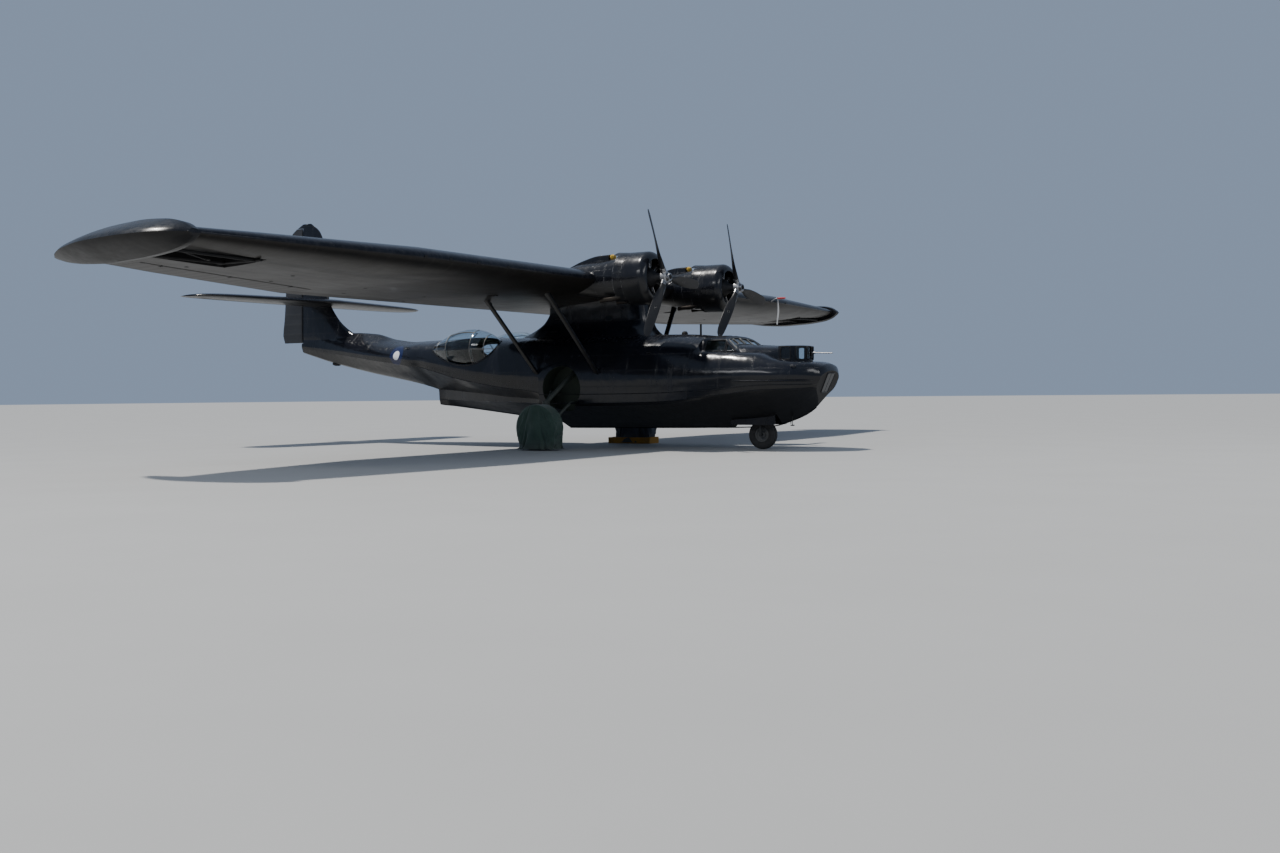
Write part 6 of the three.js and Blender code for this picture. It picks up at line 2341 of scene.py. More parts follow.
@dataclass
class Floats:
    """The wing-tip floats, folded up and outwards so that their decks close the wing tips.

    Fields:
        deck: distance of the folded deck from the centre plane.
        hinge: distance and height of the folding pin.
        legs: stations of the two legs.
        pin: first and last station of the folding pin.
        brace: ends of the bar between the legs.
    """

    deck: float = 14.93
    hinge: tuple[float, float] = (12.95, 4.16)
    legs: tuple[float, ...] = (6.75, 7.6)
    pin: tuple[float, float] = (6.56, 7.84)
    brace: tuple[tuple[float, float, float], ...] = ((6.78, 14.7, 4.2), (7.57, 13.3, 4.17))

    @staticmethod
    def rise(station: float | Array) -> float | Array:
        """The height of the float's middle line: it drops aft, with a slight wave."""
        return 4.45 - 0.062 * (station - 5.97) + 0.03 * np.sin((station - 5.97) / 1.2)

    def build(self) -> None:
        """Makes each float's shell, its frame and the small fittings."""
        stations = fine_steps([5.955, 5.97, 6.2, 6.6, 7.3, 8.0, 8.8, 9.4, 9.78, 9.79], 0.1)
        deck, chine, wide, keel = monotone(FLOAT_TABLE, np.clip(stations, 5.97, 9.78)).T
        shrink = np.where((stations < 5.96) | (stations > 9.785), 0.3, 1.0)
        deck, wide = deck * shrink, wide * shrink
        share = np.linspace(0, 1, 9)[None, 1:]
        out = chine[:, None] + (keel - chine)[:, None] * (1 - (1 - share) ** 1.25)
        drop = wide[:, None] * (1 - share) ** 0.85
        edge = np.linspace(0, 1, 5)[None, :-1]
        flank_y = self.deck + (chine - self.deck)[:, None] * edge
        flank_z = deck[:, None] + (wide - deck)[:, None] * edge ** 0.6
        half_y = np.concatenate([flank_y, chine[:, None], out], axis=1)
        half_z = np.concatenate([flank_z, wide[:, None], drop], axis=1)
        y = np.concatenate([half_y, half_y[:, -2::-1]], axis=1)
        z = np.concatenate([-half_z, half_z[:, -2::-1]], axis=1) + self.rise(stations)[:, None]
        x = np.broadcast_to(x_of(stations)[:, None], y.shape)
        shell = Maker().solid(np.stack([x, y, z], axis=2))
        for name, side in SIDES.items():
            body = "float_" + name
            thing = Maker().plus(shell).on_side(side).mesh_object("float_shell_" + name, 24)
            publish(thing, FLOAT_PAINT, [body], body=body)
            frame_parts = Maker()
            for station in self.legs:
                low = at(station, self.deck + 0.02, float(self.rise(station)) - 0.22)
                frame_parts.solid(teardrop(at(station, *self.hinge), low, 0.11, 0.06))
            frame_parts.bar(*(at(s, *self.hinge) for s in self.pin), 0.03, 24)
            frame_parts.bar(*(at(*end) for end in self.brace), 0.016, 10)
            publish(frame_parts.on_side(side).mesh_object("float_legs_" + name), DARK_PAINT, body=body)


# Tail

# Columns: height, station of the leading and of the trailing edge, thickness share
FIN_TABLE = np.array([
    [3.26, 15.5, 19.33, 0.09], [3.48, 16.3, 19.4, 0.1], [4.0, 16.98, 19.33, 0.1],
    [4.6, 17.33, 19.27, 0.1], [5.6, 17.45, 19.19, 0.09], [6.35, 17.5, 19.08, 0.085],
    [6.8, 17.69, 18.9, 0.08], [7.08, 18.06, 18.42, 0.08],
])
# Columns: y, station of the leading edge, chord, thickness share
TAILPLANE_TABLE = np.array([
    [0, 16.78, 2.22, 0.11], [2.2, 17.08, 1.93, 0.11], [4.2, 17.38, 1.57, 0.1],
    [4.65, 17.56, 1.24, 0.09], [4.85, 17.9, 0.62, 0.09],
])


@dataclass
class Tail:
    """The fin, rudder, tailplane and elevators.

    Fields:
        height: height of the tailplane's middle.
        rudder: hinge station, lowest and highest height.
        elevator: hinge station, inner and outer end.
        gap: distance from a moving surface's nose line to the face ahead of it.
        pivot: how far its pins lie aft of that line.
    """

    height: float = 4.48
    rudder: tuple[float, float, float] = (18.44, 3.215, 6.95)
    elevator: tuple[float, float, float] = (18.02, 0.33, 4.56)
    gap: float = 0.045
    pivot: float = 0.03

    def _fin_rings(self, levels: Array, moving: bool = False) -> Array:
        """Level sections of the fin, or of the rudder alone.

        Args:
            levels: heights to cut at.
            moving: whether only the rudder is wanted.

        Returns:
            Shape (levels, points, 3).
        """
        front, rear, thick = monotone(FIN_TABLE, levels).T
        chord = rear - front
        start = (self.rudder[0] + self.pivot - front) / chord if moving else None
        loop = foil_loop(chord, thick, 0.0, start)
        z = np.broadcast_to(levels[:, None], loop.shape[:2])
        return np.stack([x_of(front[:, None] + loop[..., 0]), loop[..., 1], z], axis=2)

    def _plane_rings(self, ys: Array, moving: bool = False) -> Array:
        """Upright sections of the tailplane, or of an elevator alone.

        Args:
            ys: distances from the centre plane.
            moving: whether only the elevator is wanted.

        Returns:
            Shape (sections, points, 3).
        """
        front, chord, thick = monotone(TAILPLANE_TABLE, np.abs(ys)).T
        start = (self.elevator[0] + self.pivot - front) / chord if moving else None
        loop = foil_loop(chord, thick, 0.0, start)
        y = np.broadcast_to(ys[:, None], loop.shape[:2])
        return np.stack([x_of(front[:, None] + loop[..., 0]), y, self.height + loop[..., 1]], axis=2)

    def build(self) -> None:
        """Makes the four kinds of surface, their bearings and the trim tabs' rods."""
        hinge, foot, head = self.rudder
        levels = fine_steps([3.05, 3.26, 3.48, 4.0, 4.6, 5.6, 6.35, 6.8, 7.0, 7.06, 7.08], 0.12)
        fin = Maker().solid(self._fin_rings(np.maximum(levels, 3.26)))
        thing = fin.mesh_object("fin_skin", 40, finish=FIN_PAINT)
        space = Maker().block(
            (x_of(20), -1, foot), (x_of(hinge - self.gap), 1, head)
        ).mesh_object("rudder_space", finish=DARK_PAINT)
        carved(thing, [space], sharp_deg=40)
        publish(thing, replaces=["fin"])
        levels = fine_steps([foot + CLEARANCE, 3.48, 4.0, 4.6, 5.6, 6.35, 6.8, head - CLEARANCE], 0.2)
        rudder = Maker().solid(self._fin_rings(levels, True)).mesh_object("rudder_skin", 40)
        publish(rudder, RUDDER_CLOTH, ["rudder"], body="rudder")
        hinge, inner, outer = self.elevator
        half = fine_steps([0, 2.2, 4.2, 4.65, 4.8, 4.835, 4.85], 0.3)
        ys = np.concatenate([-half[:0:-1], half])
        plane = Maker().solid(self._plane_rings(ys)).mesh_object("tailplane_skin", 40, finish=FIN_PAINT)
        tools = [
            Maker().block(
                (x_of(20), -inner - CLEARANCE, 4), (x_of(hinge - self.gap), inner + CLEARANCE, 5)
            ).mesh_object("gap")
        ]
        brackets = Maker()
        for side in SIDES.values():
            box = Maker().block((x_of(20), inner, 4), (x_of(hinge - self.gap), outer, 5))
            tools.append(box.on_side(side).mesh_object("elevator_space"))
        for tool in tools:
            tool.data.materials.append(SHELF(DARK_PAINT))
        carved(plane, tools, sharp_deg=40)
        publish(plane, replaces=["tailplane"])
        for name, side in SIDES.items():
            ys = fine_steps([inner + CLEARANCE, 2.2, 4.2, outer - CLEARANCE], 0.3)
            body = "elevator_" + name
            made = Maker().solid(self._plane_rings(ys, True))
            thing = made.on_side(side).mesh_object("elevator_skin_" + name, 40)
            publish(thing, AILERON_CLOTH, [body], body=body)
            for share in (0.15, 0.85):
                y = side * (inner + (outer - inner) * share)
                brackets.bar(
                    at(hinge - 0.05, y, self.height), at(hinge + self.pivot, y, self.height), 0.016, 10
                )
        for share in (0.12, 0.86):
            z = foot + (head - foot) * share
            brackets.bar(at(self.rudder[0] - 0.05, 0, z), at(self.rudder[0] + self.pivot, 0, z), 0.016, 10)
        publish(brackets.mesh_object("tail_brackets"), STEEL)
        self._fittings()

    def _fittings(self) -> None:
        """Lamps on the fin, and the trim tabs' rods and horns."""
        bits, tabs = Maker(), Maker()
        bits.bar(at(18.24, 0, 7.06), at(18.24, 0, 7.079), 0.02, 12)
        for side in (1, -1):
            z = 4.95
            bits.turned([(0, 0.028), (0.014, 0.024), (0.02, 0.0)], at(17.85, 0.085 * side, z), Axis.Z, 14)
        publish(bits.mesh_object("fin_lamps"), PALE_PAINT)
        tabs.bar(at(18.55, 0.09, 5.2), at(18.98, 0.075, 5.2), 0.006, 8)
        tabs.block((x_of(18.99), 0.03, 5.185), (x_of(18.965), 0.085, 5.215))
        publish(tabs.mesh_object("rudder_tab_rod"), STEEL, body="rudder")


# Engines

@dataclass
class PowerPlant:
    """A radial engine in its cowl, with flaps, exhausts, and the nacelle that runs into the wing.

    Fields:
        radius: the cowl's greatest radius.
        lip: station of the cowl's front.
        skirt: station where its ring ends and the flaps begin.
        flap: station of the rear edge of its raised flaps.
        flaps: number of cooling flaps, were they to go right round.
        lowest, raised: cosines, from straight up, of the last flap's place and of the last raised one's.
        cylinders: cylinders in each of the two rows.
    """

    radius: float = 0.68
    lip: float = 3.96
    skirt: float = 4.62
    flap: float = 4.97
    flaps: int = 22
    lowest: float = -0.86
    raised: float = 0.85
    cylinders: int = 7

    def build(self) -> None:
        """Makes the whole of both power plants."""
        for name, side in SIDES.items():
            self._cowl(name, side)
            self._engine(name, side)
            self._nacelle(name, side)
            self._plug(name, side)

    def _round(self, profile: Sequence[tuple[float, float]], sides: int, close: bool = False) -> Maker:
        """A body of revolution about the port engine's line, from pairs of station and radius."""
        points = [(x_of(s), r) for s, r in profile]
        return Maker().turned(points, (0, ENGINE_Y, ENGINE_Z), Axis.X, sides, close)

    def _cowl(self, name: str, side: float) -> None:
        """The cowl's ring with its rolled lip, and the flaps round its rear edge.

        Args:
            name: the side's name, which ends the pieces' names.
            side: 1 to port and -1 to starboard.
        """
        turn = np.linspace(0, math.pi / 2, 12)
        nose = [(self.lip + 0.2 * (1 - math.cos(a)), 0.49 + (self.radius - 0.49) * math.sin(a)) for a in turn]
        outer = [
            *nose, (4.3, self.radius), (self.skirt - 0.004, self.radius), (self.skirt, self.radius - 0.004)
        ]
        inner = [
            (self.skirt, 0.652), (4.4, 0.655), (4.2, 0.63), (4.08, 0.56), (4.01, 0.50),
            (self.lip + 0.012, 0.481)
        ]
        cowl = self._round([*outer, *inner], 96, close=True)
        thing = cowl.on_side(side).mesh_object("cowl_" + name, 28)
        publish(thing, COWL_PAINT, ["cowling_" + name])
        petals = Maker()
        pitch = 2 * math.pi / self.flaps
        for i in range(self.flaps):
            middle = (i + 0.5) * pitch
            if math.cos(middle) < self.lowest:
                continue
            raised = math.cos(middle) > self.raised
            end, lift = (self.flap + 0.03, 0.024) if raised else (self.flap - 0.09, 0.009)
            s, a = np.meshgrid(
                np.linspace(self.skirt - 0.02, end, 7), np.linspace(-0.48, 0.48, 6) * pitch, indexing="ij"
            )
            share = (s - self.skirt + 0.02) / (end - self.skirt + 0.02)
            r = self.radius - 0.003 + 0.005 * np.sin(share * math.pi) + lift * share**2
            angle = middle + a
            plate = [
                np.stack(
                    [x_of(s), ENGINE_Y + (r + d) * np.sin(angle), ENGINE_Z + (r + d) * np.cos(angle)],
                    axis=2
                )
                for d in (0.0, -0.004)
            ]
            petals.solid(np.concatenate([plate[0], plate[1][:, ::-1]], axis=1))
        publish(petals.on_side(side).mesh_object("cowl_flaps_" + name), COWL_PAINT)

    def _engine(self, name: str, side: float) -> None:
        """The crankcase, two rows of finned cylinders, baffles, push rods and exhausts.

        Args:
            name: the side's name, which ends the pieces' names.
            side: 1 to port and -1 to starboard.
        """
        case = self._round([
            (3.79, 0.0), (3.79, 0.07), (3.83, 0.085), (3.9, 0.11), (3.98, 0.135), (4.06, 0.2),
            (4.12, 0.25), (4.3, 0.29), (4.6, 0.29), (4.66, 0.2), (4.66, 0),
        ], 40)
        case.plus(self._round([(4.72, 0.3), (4.72, 0.655), (4.74, 0.655), (4.74, 0.3)], 56, close=True))
        case.plus(self._round([(4.66, 0), (4.66, 0.34), (5.15, 0.34), (5.15, 0)], 32))
        fins, rods = Maker(), Maker()
        for row, station in enumerate((4.22, 4.46)):
            for i in range(self.cylinders):
                angle = 2 * math.pi * (i + 0.5 * row) / self.cylinders
                out = np.array([0.0, math.sin(angle), math.cos(angle)])
                centre = at(station, ENGINE_Y, ENGINE_Z)
                heights = np.array(
                    [0.27, 0.30, 0.31, 0.34, 0.35, 0.38, 0.39, 0.42, 0.43, 0.46, 0.50, 0.555, 0.58]
                )
                widths = np.array(
                    [0.07, 0.07, 0.088, 0.088, 0.07, 0.07, 0.088, 0.088, 0.07, 0.09, 0.098, 0.09, 0.05]
                )
                fins.tube(centre + heights[:, None] * out, widths, 9)
                for way in (-1, 1):
                    lean = np.array([0.0, math.cos(angle), -math.sin(angle)]) * 0.05 * way
                    start = centre + out * 0.26 + lean * 0.6 + np.array([0.07, 0, 0])
                    end = centre + out * 0.54 + lean + np.array([0.085, 0, 0])
                    rods.bar(start, end, 0.010, 6)
        thing = case.plus(fins).on_side(side).mesh_object("engine_case_" + name, 40)
        publish(thing, CASTING_DARKENED_FOR_SHADE, ["engine_" + name])
        publish(rods.on_side(side).mesh_object("push_rods_" + name), CHROME)
        pipes = Maker()
        for y in (-0.42, 0.42):
            path = smooth_path([
                at(4.78, ENGINE_Y + y, 4.0), at(4.98, ENGINE_Y + y * 1.05, 3.93),
                at(5.2, ENGINE_Y + y * 1.02, 3.92), at(5.38, ENGINE_Y + y * 0.98, 3.90),
            ], 6)
            pipes.tube(path, np.linspace(0.075, 0.058, len(path)), 18)
            rim = [(-0.012, 0.050), (0.012, 0.050), (0.012, 0.062), (-0.012, 0.062)]
            pipes.turned(rim, path[-1], Axis.X, 18, close=True)
        publish(pipes.on_side(side).mesh_object("exhausts_" + name), BURNT_METAL)

    def _nacelle(self, name: str, side: float) -> None:
        """The nacelle behind the cowl, its fillet to the wing, and the air scoop on top.

        Args:
            name: the side's name, which ends the pieces' names.
            side: 1 to port and -1 to starboard.
        """
        table = np.array([
            [4.8, 0.60, 0.60, 0.60], [5.1, 0.57, 0.565, 0.56], [5.48, 0.54, 0.515, 0.51],
            [6.14, 0.49, 0.47, 0.40], [6.76, 0.38, 0.31, 0.30], [7.3, 0.12, 0.12, 0.12],
        ])
        stations = fine_steps([4.8, 5.48, 6.14, 6.76, 7.3], 0.09)
        half, top, low = monotone(table, stations).T
        angle = np.linspace(0, 2 * math.pi, 56, endpoint=False)
        up = np.cos(angle)
        rise = np.where(up > 0, top[:, None], low[:, None]) * up
        x = np.broadcast_to(x_of(stations)[:, None], rise.shape)
        body = Maker().solid(np.stack([x, ENGINE_Y + half[:, None] * np.sin(angle), ENGINE_Z + rise], axis=2))
        nacelle = body.on_side(side).mesh_object("nacelle_skin_" + name, 40, finish=COWL_PAINT)
        table = np.array([[5.3, 0.15, 5.11], [5.6, 0.15, 5.102], [6.14, 0.12, 4.995], [6.7, 0.06, 4.80]])
        stations = fine_steps([5.3, 5.6, 6.14, 6.7], 0.08)
        width, crown = monotone(table, stations).T
        corner = rounded([(-1, -1), (1, -1), (1, 1), (-1, 1)], 0.5, 5)
        y = ENGINE_Y + width[:, None] * corner[None, :, 0]
        z = np.where(corner[None, :, 1] > -0.99, crown[:, None] - 0.09 * (1 - corner[None, :, 1]), 4.7)
        z = np.where(corner[None, :, 1] < -0.4, 4.75, z)
        x = np.broadcast_to(x_of(stations)[:, None], y.shape)
        scoop = Maker().solid(
            np.stack([x, y, z], axis=2)
        ).on_side(side).mesh_object("scoop", finish=COWL_PAINT)
        mouth = Maker().block((x_of(5.38), ENGINE_Y - 0.125, 4.985), (x_of(5.2), ENGINE_Y + 0.125, 5.09))
        mouth = mouth.on_side(side).mesh_object("mouth", finish=DARK_PAINT)
        carved(nacelle, [scoop], Cut.JOIN, 40)
        carved(nacelle, [mouth], Cut.AWAY, 32)
        publish(nacelle, replaces=["nacelle_" + name])

    def _plug(self, name: str, side: float) -> None:
        """The padded plug in the scoop's mouth: a soft head with a piped edge.

        Args:
            name: the side's name, which ends the pieces' names.
            side: 1 to port and -1 to starboard.
        """
        a, b = np.meshgrid(np.linspace(-1, 1, 25), np.linspace(-1, 1, 15), indexing="ij")
        swell = (1 - np.abs(a) ** 3) ** 0.5 * (1 - np.abs(b) ** 3) ** 0.5
        crease = 0.009 * np.cos(a * 7.0 + b * 2) * swell
        y = ENGINE_Y + 0.125 * a * (1 - 0.22 * b**2)
        z = 5.045 + 0.071 * b * (1 - 0.2 * a**2)
        front = np.stack([x_of(5.252 - 0.048 * swell + crease), y, z], axis=2)
        back = np.stack([x_of(5.258 + 0.038 * swell), y, z], axis=2)
        head = Maker().grid(front).grid(back)
        rim = np.concatenate([front[:, 0], front[-1, 1:], front[-2::-1, -1], front[0, -2:0:-1]])
        head.tube(rim, 0.007, 8, closed=True)
        thing = head.on_side(side).mesh_object("scoop_plug_" + name)
        publish(thing, PLUG_CLOTH, ["intake_plug_" + name])


# Columns: radius, chord, thickness, pitch in degrees
BLADE_TABLE = np.array([
    [0.11, 0.13, 0.13, 60], [0.33, 0.14, 0.12, 52], [0.65, 0.245, 0.07, 40], [1.15, 0.28, 0.04, 28],
    [1.55, 0.26, 0.028, 23], [1.76, 0.19, 0.02, 21], [1.81, 0.12, 0.016, 20.5],
    [1.829, 0.05, 0.012, 20],
])


@dataclass
class Propeller:
    """A three-bladed propeller with a ringed hub.

    Fields:
        station: station of the blades' middle.
        first: lean of the first blade from straight up towards port, in degrees, on each side.
    """

    station: float = 3.71
    first: tuple[float, float] = (-20.0, -27.0)

    def _blade(self) -> Array:
        """Sections of one upright blade about the hub's centre.

        Returns:
            Shape (sections, points, 3).
        """
        radii = fine_steps([0.11, 0.33, 0.65, 1.15, 1.55, 1.76, 1.81, 1.829], 0.07)
        chord, thick, pitch = monotone(BLADE_TABLE, radii).T
        t = np.linspace(0, 2 * math.pi, 24, endpoint=False)
        blunt = np.clip((radii[:, None] - 0.3) / 0.35, 0, 1)
        along = chord[:, None] / 2 * np.cos(t)
        off = thick[:, None] / 2 * np.sin(t) * (
            1 + 0.45 * blunt * np.cos(t)
        ) + 0.1 * thick[:, None] * blunt * np.sin(t) ** 2
        p = np.radians(pitch)[:, None]
        return np.stack(
            [
                -(along * np.sin(p) + off * np.cos(p)), along * np.cos(p) - off * np.sin(p),
                radii[:, None] + 0 * along
            ], axis=2
        )

    def build(self) -> None:
        """Makes both propellers."""
        for (name, side), lean in zip(SIDES.items(), self.first):
            body = "propeller_" + name
            centre = at(self.station, side * ENGINE_Y, ENGINE_Z)
            blades, marks = Maker(), Maker()
            for k in range(3):
                turn = np.radians(lean + 120 * k)
                c, s = math.cos(turn), math.sin(turn)
                rotation = np.array([[1, 0, 0], [0, c, s], [0, -s, c]])
                blades.solid(self._blade() @ rotation.T + centre)
                oval = self._oval() @ rotation.T + centre
                marks.grid(np.concatenate([oval.mean(axis=1, keepdims=True), oval], axis=1))
            publish(
                blades.mesh_object("blades_" + name), BLADE_PAINT, [body], body=body
            )
            publish(marks.mesh_object("blade_marks_" + name), PALE_PAINT, body=body)
            self._hub(name, body, centre, lean)

    def _oval(self) -> Array:
        """A small oval plate on the front of a blade, at mid radius.

        Returns:
            Shape (2, points, 3), about the hub's centre.
        """
        t = np.linspace(0, 2 * math.pi, 21)
        radius = 0.95 + 0.065 * np.cos(t)
        along = 0.034 * np.sin(t)
        rings = []
        for lift in (0.0, 0.002):
            _, thick, pitch = monotone(BLADE_TABLE, np.full(21, 0.95)).T
            p = np.radians(pitch)
            off = -(thick / 2 * 1.02 + lift)
            rings.append(
                np.stack(
                    [-(along * np.sin(p) + off * np.cos(p)), along * np.cos(p) - off * np.sin(p), radius],
                    axis=1
                )
            )
        return np.array(rings)

    def _hub(self, name: str, body: str, centre: Array, lean: float) -> None:
        """The barrel, the stacked rings of the dome, the cap and the blades' clamps.

        Args:
            name: the side's name.
            body: the CAD body that it rides on.
            centre: middle of the hub.
            lean: lean of the first blade, in degrees.
        """
        barrel = [
            (-0.085, 0.0), (-0.085, 0.06), (-0.08, 0.12), (-0.06, 0.15), (0.06, 0.15), (0.085, 0.12),
            (0.09, 0.0)
        ]
        dome = [
            (0.07, 0.0), (0.07, 0.112), (0.09, 0.112), (0.093, 0.088), (0.108, 0.088), (0.111, 0.106),
            (0.128, 0.106), (0.131, 0.082), (0.144, 0.082), (0.147, 0.096), (0.16, 0.096),
            (0.163, 0.06),
        ]
        cap = [(0.16, 0.0), (0.16, 0.066), (0.175, 0.062), (0.188, 0.04), (0.192, 0)]
        metal = Maker().turned(dome, centre, Axis.X, 36)
        dark = Maker().turned(barrel, centre, Axis.X, 36)
        for k in range(3):
            turn = np.radians(lean + 120 * k)
            out = np.array([0, math.sin(turn), math.cos(turn)])
            for low, high, radius in ((0.13, 0.17, 0.082), (0.185, 0.205, 0.078), (0.22, 0.24, 0.078)):
                metal.bar(centre + out * low, centre + out * high, radius, 20)
        publish(dark.mesh_object("hub_barrel_" + name), STEEL, body=body)
        publish(metal.mesh_object("hub_rings_" + name), CHROME, body=body)
        publish(
            Maker().turned(cap, centre, Axis.X, 28).mesh_object("hub_cap_" + name), DARK_PAINT, body=body,
        )


# Struts

@dataclass
class Struts:
    """The four streamlined struts from the hull's sides to the wing.

    Fields:
        ends: for the front and the rear strut, upper station and y, and lower station, y and height.
    """

    ends: tuple[tuple[str, float, float, float, float, float], ...] = (
        ("front", 6.48, 3.38, 6.12, 1.47, 1.96),
        ("rear", 8.30, 3.56, 8.12, 1.47, 2.01),
    )

    def build(self) -> None:
        """Makes the struts, with a cuff at each end."""
        for name, side in SIDES.items():
            for place, upper, upper_y, lower, lower_y, lower_z in self.ends:
                top = at(upper, upper_y, wing_surface(upper, upper_y, False) + 0.03)
                foot = at(lower, lower_y, lower_z)
                way = (top - foot) / np.linalg.norm(top - foot)
                strut = Maker().solid(teardrop(foot, top, 0.15, 0.06, 28))
                for start, end in ((foot, foot + way * 0.16), (top - way * 0.2, top)):
                    strut.solid(teardrop(start, end, 0.18, 0.085, 28))
                thing = strut.on_side(side).mesh_object(f"strut_{place}_skin_{name}", 40)
                publish(thing, PLAIN_PAINT, [f"strut_{place}_{name}"])


# Landing gear


def tyre_rings(radius: float, width: float, middle: float) -> list[tuple[float, float]]:
    """A tyre's closed profile, as pairs of distance across and radius, with grooves in its tread.

    Args:
        radius: the tyre's radius.
        width: its width.
        middle: distance of its middle plane.

    Returns:
        The profile.
    """
    rim, half = radius * 0.5, width / 2
    side = [
        (middle - half * 0.62, rim), (middle - half * 0.86, rim + 0.03),
        (middle - half * 0.985, rim + (radius - rim) * 0.34), (middle - half, radius * 0.82),
        (middle - half * 0.95, radius * 0.9), (middle - half * 0.82, radius * 0.957),
    ]
    tread = []
    for k in range(-3, 4):
        across = half * 0.19 * k
        crown = radius * (1 - 0.035 * (k / 3.6) ** 2)
        edge = half * 0.07
        tread += [(middle + across - edge, crown), (middle + across + edge, crown)]
        if k < 3:
            tread += [
                (middle + across + edge + 0.004, crown - 0.010),
                (middle + across + half * 0.19 - edge - 0.004, crown - 0.010)
            ]
    other = [(2 * middle - d, r) for d, r in side[::-1]]
    return [*side, *tread, *other]


def wheel_disc(radius: float, width: float, middle: float, bore: float) -> list[tuple[float, float]]:
    """A wheel's closed profile: a bead seat each side, a dished web and a boss.

    Args:
        radius: the tyre's radius.
        width: its width.
        middle: distance of its middle plane.
        bore: radius of the hole for the axle.

    Returns:
        The profile.
    """
    rim, half = radius * 0.5, width * 0.31
    return [
        (middle - half, rim), (middle - half, rim - 0.018), (
            middle - half + 0.02, rim - 0.03
        ), (middle - half * 0.4, rim - 0.05),
        (middle - half * 0.35, bore + 0.06), (
            middle - half * 0.85, bore + 0.045
        ), (middle - half * 0.9, bore + 0.001),
        (middle + half * 0.9, bore + 0.001), (
            middle + half * 0.85, bore + 0.045
        ), (middle + half * 0.35, bore + 0.06),
        (middle + half * 0.4, rim - 0.05), (
            middle + half - 0.02, rim - 0.03
        ), (middle + half, rim - 0.018), (middle + half, rim),
    ]


@dataclass
class MainGear:
    """A main wheel on its leg, which stands out from a round well in the hull's side.

    Fields:
        station, y, radius, width: place and size of the wheel.
    """

    station: float = 7.35
    y: float = 2.51
    radius: float = 0.597
    width: float = 0.4

    def build(self) -> None:
        """Makes both sides."""
        for name, side in SIDES.items():
            body = "main_wheel_" + name
            centre = at(self.station, 0, self.radius)
            tyre = Maker().turned(tyre_rings(self.radius, self.width, self.y), centre, Axis.Y, 72, close=True)
            thing = tyre.on_side(side).mesh_object("main_tyre_rubber_" + name)
            publish(thing, MAIN_RUBBER, ["main_tyre_" + name], body=body)
            hub = Maker().turned(
                wheel_disc(self.radius, self.width, self.y, 0.05), centre, Axis.Y, 56, close=True
            )
            for k in range(8):
                turn = 2 * math.pi * k / 8
                spot = centre + np.array(
                    [0.13 * math.cos(turn), self.y + self.width * 0.27, 0.13 * math.sin(turn)]
                )
                hub.bar(spot - [0, 0.02, 0], spot + [0, 0.012, 0], 0.012, 6)
            publish(
                hub.on_side(side).mesh_object("main_wheel_disc_" + name), STEEL, ["main_hub_" + name],
                body=body
            )
            self._leg(name, side)

    def _leg(self, name: str, side: float) -> None:
        """The leg, its sliding rod, the link, the drag strut, the brake pack and its pipe.

        Args:
            name: the side's name, which ends the pieces' names.
            side: 1 to port and -1 to starboard.
        """
        axle_in, axle_out = (at(self.station, self.y + d, self.radius) for d in (-0.33, 0.14))
        elbow = at(7.38, 2.19, 1.25)
        way = (elbow - axle_in) / np.linalg.norm(elbow - axle_in)
        leg, bright = Maker(), Maker()
        leg.bar(axle_in - [0, 0.02, 0], axle_out, 0.05, 24)
        leg.bar(axle_in - way * 0.06, axle_in + way * 0.12, 0.072, 24)
        bright.bar(axle_in + way * 0.1, axle_in + way * 0.3, 0.052, 24)
        leg.bar(axle_in + way * 0.28, elbow + way * 0.05, 0.075, 28)
        for d, radius in ((0.28, 0.085), (0.33, 0.079), (0.6, 0.083)):
            leg.bar(axle_in + way * d, axle_in + way * (d + 0.025), radius, 28)
        leg.bar(elbow, at(7.2, 1.04, 2.09), 0.06, 24)
        leg.bar(at(7.66, 1.5, 1.55), at(7.39, 2.18, 1.2), 0.035, 18)
        leg.bar(at(7.66, 1.04, 1.55), at(7.66, 1.52, 1.55), 0.04, 18)
        leg.bar(at(7.02, 1.5, 1.25), at(7.34, 2.16, 0.62), 0.04, 18)
        leg.bar(at(7.02, 1.04, 1.25), at(7.02, 1.52, 1.25), 0.04, 18)
        knee = axle_in + way * 0.22 + np.array([-0.2, -0.02, 0])
        for start, end in (
            (axle_in + way * 0.02 + np.array([-0.07, 0, 0]), knee),
            (knee, axle_in + way * 0.42 + np.array([-0.07, 0, 0]))
        ):
            for y in (-0.045, 0.045):
                leg.bar(start + [0, y, 0], end + [0, y * 0.5, 0], 0.014, 10)
        leg.bar(knee - [0, 0.05, 0], knee + [0, 0.05, 0], 0.016, 12)
        brake = [(2.25, 0.06), (2.25, 0.2), (2.3, 0.2), (2.3, 0.06)]
        leg.turned(brake, at(self.station, 0, self.radius), Axis.Y, 36, close=True)
        pipe = smooth_path([
            axle_in + [0.1, -0.02, 0.1], axle_in + [0.12, -0.08, 0.3], elbow + [0.1, -0.09, -0.15],
            elbow + [0.08, -0.1, 0.05], at(7.3, 1.7, 1.68),
        ], 8)
        leg.tube(pipe, 0.008, 8)
        publish(leg.on_side(side).mesh_object("main_leg_tubes_" + name), GEAR_PAINT, ["main_leg_" + name])
        publish(bright.on_side(side).mesh_object("main_leg_rod_" + name), CHROME)


